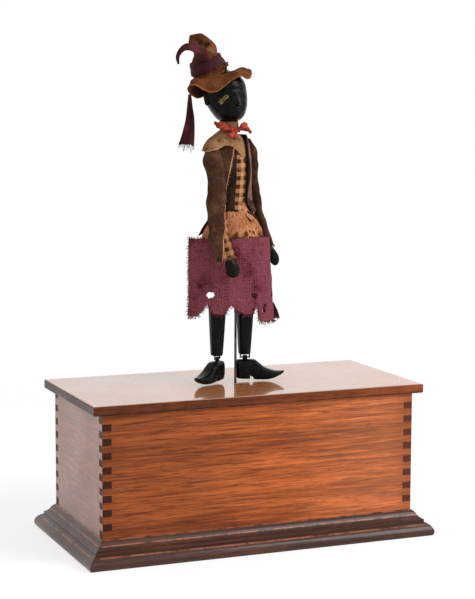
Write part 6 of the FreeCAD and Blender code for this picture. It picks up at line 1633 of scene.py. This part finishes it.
@dataclass
class Head:
    """The carved doll's head, calm and plain, in black paint."""

    torso: Torso
    bottom: float = 386.0
    height: float = 46.5
    width: float = 39.5
    depth: float = 41.0
    shift: float = -1.6
    turn_deg: float = 8.0
    levels: Points = ((0.0, 0.38, 0.40, 0.0), (0.054, 0.56, 0.64, 0.03), (0.14, 0.72, 0.78, 0.05),
                      (0.275, 0.88, 0.92, 0.04), (0.424, 0.97, 0.99, 0.02), (0.583, 1.0, 1.0, 0.0),
                      (0.731, 0.97, 0.97, 0.0), (0.85, 0.84, 0.84, 0.0), (0.946, 0.58, 0.58, 0.0),
                      (1.0, 0.28, 0.28, 0.0))

    def relief(self, across: float, share: float) -> float:
        """How far the carving stands out in front.

        Args:
            across: millimetres to the side of the face's middle.
            share: the share of the head's height.

        Returns:
            Millimetres outwards.
        """
        def swell(x: float, z: float, wide: float, tall: float) -> float:
            """A soft round swelling."""
            return math.exp(-((across - x) / wide) ** 2 - ((share - z) / tall) ** 2)

        def pair(x: float, z: float, wide: float, tall: float) -> float:
            """The same swelling on both sides."""
            return swell(-x, z, wide, tall) + swell(x, z, wide, tall)

        nose = 0.0
        if 0.30 < share < 0.60:
            along = (0.57 - share) / 0.23
            nose = 3.6 * max(0.0, min(1.0, along)) ** 0.8 * math.exp(-(across / (1.5 + 1.3 * along)) ** 2)
            if share < 0.345:
                nose *= max(0.0, (share - 0.30) / 0.045)
        sockets = -1.5 * pair(6.6, 0.50, 3.6, 0.055)
        brows = 0.8 * pair(6.8, 0.585, 5.0, 0.03)
        lids = 0.9 * pair(6.6, 0.497, 2.4, 0.026)
        mouth = 0.9 * swell(0, 0.262, 3.6, 0.016) + 0.95 * swell(0, 0.212, 3.2, 0.018)
        seam = -0.6 * swell(0, 0.238, 4.4, 0.007)
        chin = 1.0 * swell(0, 0.10, 4.2, 0.05)
        cheeks = 0.7 * pair(9.5, 0.34, 4.5, 0.08)
        return nose + sockets + brows + lids + mouth + seam + chin + cheeks

    def build(self, finish: Finishes) -> None:
        """Builds the head.

        Args:
            finish: the finishes.
        """
        middle = self.torso.spine(self.bottom + self.height / 2) + self.shift
        rows = []
        for share, wide, deep, face in self.levels:
            z = self.bottom + self.height * share
            x = self.torso.spine(z) + self.shift * min(1.0, share * 3)
            rows.append(oval(x, self.torso.y - face * self.depth, z, wide * self.width / 2,
                             deep * self.depth / 2, 32))
        grid = net(rows, 160, 130, True)
        turn = math.radians(self.turn_deg)
        for i in range(grid.shape[0]):
            share = (grid[i, 0, 2] - self.bottom) / self.height
            centre = grid[i].mean(axis=0)
            for j in range(grid.shape[1]):
                away = grid[i, j] - centre
                if away[1] < 0:
                    grid[i, j, 1] -= self.relief(away[0], share) * min(1.0, -away[1] / 8.0)
        grid -= np.array([middle, self.torso.y, 0])
        spun = grid.copy()
        spun[:, :, 0] = grid[:, :, 0] * math.cos(turn) - grid[:, :, 1] * math.sin(turn)
        spun[:, :, 1] = grid[:, :, 0] * math.sin(turn) + grid[:, :, 1] * math.cos(turn)
        spun += np.array([middle, self.torso.y, 0])
        head = loft("head_form", spun)
        ears = []
        for side in (-1, 1):
            rings = []
            for rise, half, thick in ((-6.4, 1.0, 0.6), (-5.2, 2.2, 1.3), (-2.4, 2.8, 1.7), (1.6, 3.6, 2.0),
                                      (4.6, 3.2, 1.7), (6.0, 1.6, 0.8)):
                cos, sin = around(20)
                x = side * (19.0 + 0.25 * rise * 0.3) + thick * cos * 1.3
                y = 1.2 + half * sin
                z = np.full(20, self.bottom + 21.0 + rise)
                rings.append(np.stack([middle + x * math.cos(turn) - y * math.sin(turn),
                                       self.torso.y + x * math.sin(turn) + y * math.cos(turn), z], axis=1))
            ears.append(loft("ear", through(np.array(rings).reshape(6, -1), 22).reshape(22, 20, 3)))
        piece = join("carved_head", [head] + ears)
        settle(piece, Body.DANCER, "black_painted_wood", finish.head, stands_for=["head"])
        dress(finish.paint, "torso_block")


@dataclass
class Hat:
    """The dented felt hat, with painted shadow in the dents in front."""

    x: float = -11.5
    y: float = -3.0
    felt: float = 1.3
    hole_z: float = 465.5
    top_z: float = 464.0
    dents: tuple = (((-35.0, -6.0, 458.6), (4.6, 7.0, 3.0), 3.6),
                    ((-30.0, -8.0, 455.0), (4.6, 7.0, 2.4), 3.2))
    crown: Sequence[tuple] = (
        ((-21.5, 0.5, 427.5), 17.4, 16.6, 14.0), ((-24.0, 0.6, 432.3), 16.0, 15.0, 21.0),
        ((-28.0, 1.2, 443.2), 12.9, 12.4, 21.0), ((-27.4, 1.6, 449.6), 11.0, 10.6, 10.0),
        ((-30.4, 2.2, 456.4), 12.2, 10.6, 0.0), ((-33.8, 2.6, 461.2), 9.0, 8.2, 6.0),
        ((-36.0, 3.0, 464.8), 5.8, 4.8, 11.0))
    brim: Points = (
        (0.0, 23.5, 432.4, 433.0), (28.0, 23.3, 429.0, 431.0), (55.0, 23.0, 425.0, 428.6),
        (91.0, 23.0, 416.0, 423.6), (118.0, 23.0, 409.0, 418.0), (140.0, 25.5, 407.0, 415.0),
        (160.0, 30.0, 410.5, 417.0), (175.0, 33.0, 414.0, 420.0), (187.0, 35.0, 417.6, 422.6),
        (204.0, 36.2, 418.8, 423.8), (217.0, 36.4, 414.8, 421.6), (228.0, 34.8, 412.0, 420.4),
        (238.0, 31.0, 413.4, 421.4), (250.0, 26.4, 417.8, 424.6), (266.0, 23.6, 422.6, 427.6),
        (282.0, 22.6, 425.8, 430.2), (298.0, 22.6, 426.6, 431.4), (316.0, 23.8, 424.8, 432.4),
        (330.0, 25.0, 426.0, 433.6), (342.0, 25.2, 431.2, 434.2))

    def ring(self, centre: Sequence[float], half_x: float, half_y: float, tilt_deg: float,
             angles: Sequence[float]) -> np.ndarray:
        """An oval ring tilted sideways about its own middle."""
        tilt = math.radians(tilt_deg)
        points = []
        for degrees in angles:
            turn = math.radians(degrees)
            across = half_x * math.cos(turn)
            points.append((centre[0] + across * math.cos(tilt), centre[1] + half_y * math.sin(turn),
                           centre[2] + across * math.sin(tilt)))
        return np.array(points)

    def grid(self) -> np.ndarray:
        """The felt's outer face, from the crown's top to the brim's edge."""
        angles = [row[0] for row in self.brim]
        rows = [self.ring(c, hx, hy, tilt, angles) for c, hx, hy, tilt in self.crown][::-1]
        top = rows[0]
        middle = top.mean(axis=0) + np.array([0, 0, 0.6])
        rows = [middle + (top - middle) * 0.12, middle + (top - middle) * 0.6 - np.array([0, 0, 0.1])] + rows
        middles, edges = [], []
        for foot, (degrees, radius, edge_z, middle_z) in zip(rows[-1], self.brim):
            turn = math.radians(degrees)
            edge = np.array([self.x + radius * math.cos(turn), self.y + radius * math.sin(turn),
                             edge_z + self.felt])
            middle = foot + (edge - foot) * 0.6
            middles.append((middle[0], middle[1], middle_z + self.felt))
            edges.append(edge)
        rows += [np.array(middles), np.array(edges)]
        grid = net(rows, 200, 120, True)
        grid = crumple(grid, 13.0, 1.0, 71.0, True)
        grid = crumple(grid, 5.0, 0.35, 75.0, True)
        for spot, size, depth in self.dents:
            for i in range(90):
                for j in range(grid.shape[1]):
                    away = grid[i, j] - np.array(spot)
                    near = math.exp(-(away[0] / size[0]) ** 2 - (away[1] / size[1]) ** 2
                                    - (away[2] / size[2]) ** 2)
                    grid[i, j] += np.array([0.1, 0.9, -0.4]) * depth * near
        for j in range(grid.shape[1]):
            out = grid[-1, j] - np.array([self.x, self.y, grid[-1, j, 2]])
            out /= np.linalg.norm(out)
            ragged = 0.9 * wobble(j * 0.4, 3, 0) + 0.45 * wobble(j * 1.7, 8, 0)
            grid[-1, j] += out * ragged
            grid[-2, j] += out * ragged * 0.6
        return grid

    def twine(self, finish: Finishes) -> None:
        """Winds the loose twine round the crown's foot, on the right."""
        centre, half_x, half_y, tilt = self.crown[1]
        parts = []
        for turn, (rise, out, start, end) in enumerate(((-1.2, 1.5, 262.0, 352.0), (0.3, 1.8, 270.0, 344.0),
                                                        (1.4, 2.1, 284.0, 338.0), (-0.6, 2.9, 292.0, 330.0))):
            angles = np.linspace(start, end, 14)
            line = self.ring(centre, half_x + out, half_y + out, tilt, angles)
            for k, point in enumerate(line):
                point[2] += rise + 1.9 * wobble(k * 0.63, turn * 3.1, 5)
                point[1] -= 0.7 * wobble(k * 0.9, turn * 2.3, 9)
            parts.append(tube("twine", line, 0.5, 8, 60))
        piece = join("hat_twine", parts)
        settle(piece, Body.DANCER, "brown_felt", finish.felt)

    def build(self, finish: Finishes) -> None:
        """Builds the hat.

        Args:
            finish: the finishes.
        """
        grid = self.grid()
        piece = surface("felt_hat_form", grid, True)
        with editing(piece.data) as cap:
            rim = [e for e in cap.edges if e.is_boundary and all(v.co.z > self.hole_z * MM for v in e.verts)]
            bmesh.ops.holes_fill(cap, edges=rim, sides=400)
            bmesh.ops.recalc_face_normals(cap, faces=cap.faces)
            top = [face for face in cap.faces if face.calc_center_median().z > self.top_z * MM]
            if sum(face.normal.z for face in top) < 0:
                bmesh.ops.reverse_faces(cap, faces=cap.faces)
        piece.data.shade_smooth()
        thicken(piece, self.felt, -1.0)
        edge = np.vstack([grid[-1], grid[-1][:1]])
        raw = tube("brim_raw_edge", np.vstack([edge[::3], edge[:1]]) - np.array([0, 0, 0.6]), 0.75, 8, 300)
        settle(raw, Body.DANCER, "brown_felt", finish.raw_felt)
        threads("brim_threads", edge, finish.raw_felt, "brown_felt", Count=260, Seed=21, Length=0.0021,
                Thickness=0.0002, Curl=1.0, Fall=(0.0, -0.4, -0.6))
        self.twine(finish)
        settle(piece, Body.DANCER, "brown_felt", finish.felt, stands_for=["felt_hat"])


@dataclass
class Ribbons:
    """The band, the curled end and the hanging tail."""

    hat: Hat
    curl: Points = ((-33.6, -12.2, 440.8, 4.3, -0.45), (-35.3, -12.9, 443.4, 4.5, -0.3),
                    (-38.8, -14.4, 447.7, 4.6, 0.1), (-42.7, -15.0, 451.0, 4.4, 0.4),
                    (-47.3, -15.2, 452.7, 3.7, 0.55), (-52.7, -15.0, 452.6, 2.8, 0.6),
                    (-56.6, -14.6, 450.2, 2.1, 0.6), (-59.2, -14.0, 446.4, 1.7, 0.6),
                    (-59.8, -13.2, 442.6, 1.3, 0.6), (-58.8, -12.6, 437.5, 0.7, 0.6))
    tail: Points = ((-41.5, 410.6, 0.9), (-41.4, 400.0, 2.4), (-41.2, 389.0, 3.9), (-42.6, 377.0, 5.6),
                    (-44.8, 365.0, 7.3))

    def band(self, finish: Finishes) -> None:
        """Builds the folded band round the crown."""
        (low, low_x, low_y, low_tilt), (high, high_x, high_y, high_tilt) = self.hat.crown[1:3]
        angles = list(range(0, 360, 15))
        rows = []
        for share in np.linspace(0.98, 0.02, 9):
            centre = [low[n] + (high[n] - low[n]) * share for n in range(3)]
            rows.append(self.hat.ring(centre, low_x + (high_x - low_x) * share + 1.35,
                                      low_y + (high_y - low_y) * share + 1.35,
                                      low_tilt + (high_tilt - low_tilt) * share, angles))
        grid = net(rows, 160, 60, True)
        off = normals(grid, True)
        middle = grid.mean(axis=(0, 1))
        if (off[30, 0] @ (grid[30, 0] - middle)) < 0:
            off = -off
        for i in range(grid.shape[0]):
            for j in range(grid.shape[1]):
                turn = j * TAU / grid.shape[1]
                pleat = math.sin(i * TAU / 30 + 1.6 * math.sin(turn + 1) + 2.0 * wobble(turn, 0, 0))
                grid[i, j] += off[i, j] * (0.2 * pleat + 0.15)
        grid = crumple(grid, 7.0, 0.5, 81.0, True)
        piece = surface("hat_band", grid, True)
        thicken(piece, 0.6)
        lay(piece, ringed(grid), "maroon_ribbon", finish.ribbon, "stretched", "felt_hat",
            stands_for=["hat_ribbons"])

    def end(self, finish: Finishes) -> None:
        """Builds the curled end."""
        line = np.array(self.curl)
        rows = []
        for i, (x, y, z, half, lean) in enumerate(line):
            run = line[min(i + 1, len(line) - 1)] - line[max(i - 1, 0)]
            run = np.array([run[0], 0, run[2]])
            run /= np.linalg.norm(run)
            across = np.array([run[2], lean, -run[0]]) * half
            spot = np.array([x, y, z])
            rows.append([spot - across, spot - across * 0.4 + (0, -0.5, 0),
                         spot + across * 0.4 + (0, -0.5, 0), spot + across])
        grid = crumple(net(rows, 26, 90), 8.0, 0.5, 85.0)
        piece = surface("ribbon_curl", grid)
        thicken(piece, 0.7)
        settle(piece, Body.DANCER, "maroon_ribbon", finish.ribbon)

    def hanging(self, finish: Finishes) -> None:
        """Builds the hanging tail."""
        rows = []
        for x, z, half in self.tail:
            rows.append([(x - half, 5.0, z), (x - half * 0.3, 3.4, z), (x + half * 0.3, 4.8, z),
                         (x + half, 3.6, z - half * 0.2)])
        grid = crumple(net(rows, 30, 90), 9.0, 0.8, 91.0)
        fray(grid, 6, (1.2, 0.5, 0, 0))
        piece = surface("ribbon_tail", grid)
        thicken(piece, 0.7)
        fringe = threads("ribbon_tail_threads", grid[-1], finish.ribbon, "maroon_ribbon", Count=26, Seed=31,
                         Length=0.007, Thickness=0.00016, Curl=0.45, Fall=(0.1, 0.0, -1.0))
        lay(piece, grid, "maroon_ribbon", finish.ribbon, "hung", "felt_hat", fringe)

    def build(self, finish: Finishes) -> None:
        """Builds the ribbons.

        Args:
            finish: the finishes.
        """
        self.band(finish)
        self.end(finish)
        self.hanging(finish)


@dataclass
class Bow:
    """The red neckerchief with its knot, loops and fall."""

    left: Points = ((-5.4, -15.2, 375.8, 1.8), (-10.0, -14.6, 378.4, 2.7), (-15.4, -13.0, 381.2, 3.5),
                    (-20.0, -10.8, 383.4, 2.5), (-22.6, -9.6, 384.6, 1.0))
    right: Points = ((-3.8, -15.0, 376.4, 1.8), (-0.4, -14.6, 379.6, 2.2), (3.4, -13.4, 381.6, 3.6),
                     (7.4, -12.0, 380.8, 4.0), (10.4, -10.8, 379.0, 2.2), (13.2, -9.8, 377.0, 1.2))
    fall: Points = ((-6.0, -15.6, 377.4, 2.6), (-8.1, -17.9, 374.4, 4.2), (-8.0, -19.5, 371.6, 3.6))
    knot: Points = ((-5.0, -16.0, 375.8, 1.6), (-4.8, -15.5, 377.4, 2.8), (-4.6, -14.8, 379.4, 2.8),
                    (-4.6, -14.6, 381.0, 1.6))
    thick: float = 1.5

    def form(self, path: Points, upright: bool, seed: float) -> Object:
        """One soft part of the bow through ovals.

        Args:
            path: places and half widths.
            upright: whether the ovals stand upright.
            seed: which creases.

        Returns:
            The piece.
        """
        rings = []
        turns = np.arange(24) * TAU / 24
        cos, sin = around(24)
        for x, y, z, half in path:
            fold = 1 + 0.10 * np.cos(3 * turns + seed)
            if upright:
                ring = [np.full(24, x), y + self.thick * cos * fold, z + half * sin * fold]
            else:
                ring = [x + half * cos * fold, y + self.thick * sin * fold, np.full(24, z)]
            rings.append(np.stack(ring, axis=1))
        grid = crumple(net(rings, 48, 56, True), 3.4, 1.7, seed, True, (2.6, 1.0, 1.0))
        grid = crumple(grid, 1.7, 0.7, seed + 3, True, (2.0, 1.0, 1.0))
        return loft("bow_part", grid)

    def build(self, finish: Finishes) -> None:
        """Builds the bow.

        Args:
            finish: the finishes.
        """
        parts = [self.form(self.left, True, 101.0), self.form(self.right, True, 104.0),
                 self.form(self.fall, False, 107.0), self.form(self.knot, False, 109.0)]
        piece = join("neckerchief", parts)
        settle(piece, Body.DANCER, "red_cloth", finish.red, stands_for=["bow"])


@dataclass
class Studio:
    """The floor, the lights and the camera."""

    eye: Place = (-598.8, -1456.5, 416.8)
    right: Place = (0.924, -0.3823, 0.0035)
    up: Place = (0.044, 0.1156, 0.9923)
    focal_px: float = 1700.1
    long_side_px: float = 599.0
    sensor: float = 36.0
    shadow_reach: float = 0.45
    near_share: float = 0.42
    near_strength: float = 1.55

    def floor(self) -> None:
        """Lays the pale floor."""
        size = 6.0
        mesh = bpy.data.meshes.new("floor")
        mesh.from_pydata([(-size, -size, 0), (size, -size, 0), (size, size, 0), (-size, size, 0)], [],
                         [(0, 1, 2, 3)])
        piece = link("floor", mesh, False)
        material, g, shader, places = finish_material("pale floor")
        spot = places["Object"]
        base = g.mix(g.ramp(g.noise(spot, 3.0, 3.0), 0.3, 0.7), (0.78, 0.78, 0.78), (0.80, 0.80, 0.80))
        g.feed(shader, dict(Base_Color=base, Roughness=0.85))
        away = g.vector("LENGTH", spot).node.outputs["Value"]
        far = g.ramp(away, self.shadow_reach, self.shadow_reach * 2.2)
        seen = g.seen()
        near, plain = (g.add("ShaderNodeEmission", {"Color": (1, 1, 1), "Strength": strength}).outputs[0]
                       for strength in (self.near_strength, 1.0))
        lit = shader.outputs[0]
        for share, other in ((self.near_share, near), (far, plain)):
            lit = g.add("ShaderNodeMixShader", {0: g.times(seen, share), 1: lit, 2: other}).outputs[0]
        g.tree.links.new(lit, g.tree.nodes["Material Output"].inputs["Surface"])
        mesh.materials.append(material)

    def world(self) -> None:
        """Makes the white backdrop and a plain fill."""
        world = bpy.data.worlds.new("studio")
        bpy.context.scene.world = world
        world.use_nodes = True
        world.node_tree.nodes.clear()
        g = Graph(world.node_tree)
        seen = g.seen()
        strength = g.ramp(seen, 0.0, 1.0, 0.5, 1.0)
        back = g.add("ShaderNodeBackground", {"Color": (1, 1, 1), "Strength": strength})
        g.add("ShaderNodeOutputWorld", {"Surface": back.outputs[0]})

    def lamp(self, name: str, spot: Sequence[float], aim: Sequence[float], size: float, power: float) -> None:
        """Hangs a soft square lamp.

        Args:
            name: its name.
            spot: its place in metres.
            aim: what it points at.
            size: its side in metres.
            power: its power in watts.
        """
        data = bpy.data.lights.new(name, "AREA")
        data.size = size
        data.energy = power
        lamp = bpy.data.objects.new(name, data)
        lamp.location = spot
        lamp.rotation_euler = (Vector(aim) - Vector(spot)).to_track_quat("-Z", "Y").to_euler()
        bpy.context.scene.collection.objects.link(lamp)

    def camera(self) -> None:
        """Sets the camera at the photograph's angle."""
        data = bpy.data.cameras.new("camera")
        data.sensor_width = self.sensor
        data.sensor_fit = "AUTO"
        data.lens = self.focal_px * self.sensor / self.long_side_px
        data.clip_end = 50
        piece = bpy.data.objects.new("camera", data)
        right = Vector(self.right).normalized()
        up = Vector(self.up)
        back = right.cross(up).normalized()
        up = back.cross(right).normalized()
        turn = Matrix((right, up, back)).transposed()
        piece.matrix_world = Matrix.Translation(Vector(self.eye) * MM) @ turn.to_4x4()
        bpy.context.scene.collection.objects.link(piece)
        bpy.context.scene.camera = piece

    def build(self) -> None:
        """Sets up the studio."""
        self.floor()
        self.world()
        self.lamp("key lamp", (1.35, -1.35, 1.35), (0, 0, 0.22), 1.1, 30.0)
        self.lamp("fill lamp", (-1.5, -1.3, 1.5), (0, 0, 0.2), 1.5, 8.0)
        self.camera()
        bpy.context.scene.view_settings.view_transform = "Standard"


HEAD_WEAR = ((-18.6, -18.4, 404.6, 4.6), (-17.0, -19.8, 407.0, 3.8), (-19.6, -17.8, 406.4, 3.6),
             (-15.6, -21.0, 408.4, 3.2), (-11.3, -16.6, 392.2, 2.0))
CHECKED_LINE = ((0.62, 26.0), (0.68, 44.0), (0.74, 57.0), (0.88, 78.0), (0.93, 103.0), (0.96, 122.0),
                (1.0, 140.0))
RIGHT_ARM = ((-25.2, -6.9, 355.0, 3.0, 3.0), (-25.2, -7.0, 347.0, 3.0, 2.8), (-23.4, -11.6, 331.0, 3.2, 3.6),
             (-26.0, -17.0, 306.0, 3.6, 3.6), (-25.0, -28.4, 283.5, 3.4, 3.0), (-18.8, -34.4, 264.5, 3.6, 2.8),
             (-16.9, -35.4, 258.0, 5.6, 3.4), (-15.0, -35.7, 252.5, 6.9, 3.6), (-13.6, -35.9, 248.6, 5.6, 3.2),
             (-12.8, -36.0, 246.0, 2.6, 1.8))
RIGHT_SLEEVE = ((-24.4, -7.4, 364.6, 2.6, 2.4), (-24.2, -7.6, 363.2, 5.0, 4.2), (-23.8, -7.8, 358.4, 7.6, 5.4),
                (-23.2, -8.2, 350.5, 9.9, 6.6), (-21.2, -12.0, 332.0, 8.3, 6.8), (-22.6, -14.4, 318.0, 8.8, 6.4),
                (-24.0, -16.8, 305.0, 9.3, 6.0), (-24.6, -24.4, 289.0, 9.4, 5.8), (-25.6, -30.4, 279.0, 9.4, 5.5),
                (-20.6, -34.2, 262.6, 8.6, 5.0))
LEFT_ARM = ((18.1, -1.0, 357.0, 3.0, 3.6), (18.7, -0.5, 340.0, 3.0, 3.6), (22.2, 1.6, 319.0, 3.0, 3.6),
            (26.2, 3.4, 305.0, 3.0, 3.4), (36.0, 7.4, 279.0, 2.2, 2.8), (41.3, 8.3, 268.0, 2.0, 2.2),
            (43.6, 8.6, 263.0, 3.4, 2.8), (45.4, 8.4, 257.4, 4.8, 3.0), (46.2, 8.2, 253.0, 4.0, 2.6),
            (46.4, 8.2, 250.4, 1.8, 1.4))
LEFT_SLEEVE = ((14.6, -1.0, 369.8, 1.0, 1.8), (15.0, -1.0, 368.4, 2.0, 3.8), (16.0, -1.0, 364.6, 3.2, 5.6),
               (17.4, -0.9, 359.5, 4.2, 6.4), (18.8, -0.8, 352.0, 4.8, 6.9), (18.9, -0.4, 340.0, 4.8, 6.6),
               (22.2, 1.6, 319.0, 4.8, 6.2), (26.2, 3.4, 305.0, 4.6, 5.8), (31.2, 5.6, 290.0, 4.2, 5.4),
               (40.9, 8.2, 269.4, 3.4, 4.6))


def main() -> None:
    """Builds the dancer and the studio."""
    logging.basicConfig(level=logging.INFO, format="%(name)s: %(message)s")
    finish = Finishes()
    Case().dress(finish)
    Movement().dress(finish)
    Leg("right", -15.7, 216.0, 7.4).build(finish)
    Leg("left", 12.3, -17.0, 9.3).build(finish)
    torso = Torso()
    coat = Coat(torso)
    Arm("right", Body.RIGHT_ARM, RIGHT_ARM, RIGHT_SLEEVE, 5.0, CHECKED_LINE, coat=coat,
        bend_levels=(362.0, 350.0)).build(finish)
    Arm("left", Body.LEFT_ARM, LEFT_ARM, LEFT_SLEEVE, 15.0).build(finish)
    coat.build(finish)
    Shirt(torso).build(finish)
    Skirt(torso).build(finish)
    Head(torso).build(finish)
    hat = Hat()
    hat.build(finish)
    Ribbons(hat).build(finish)
    Bow().build(finish)
    Studio().build()


if __name__ == "__main__":
    main()
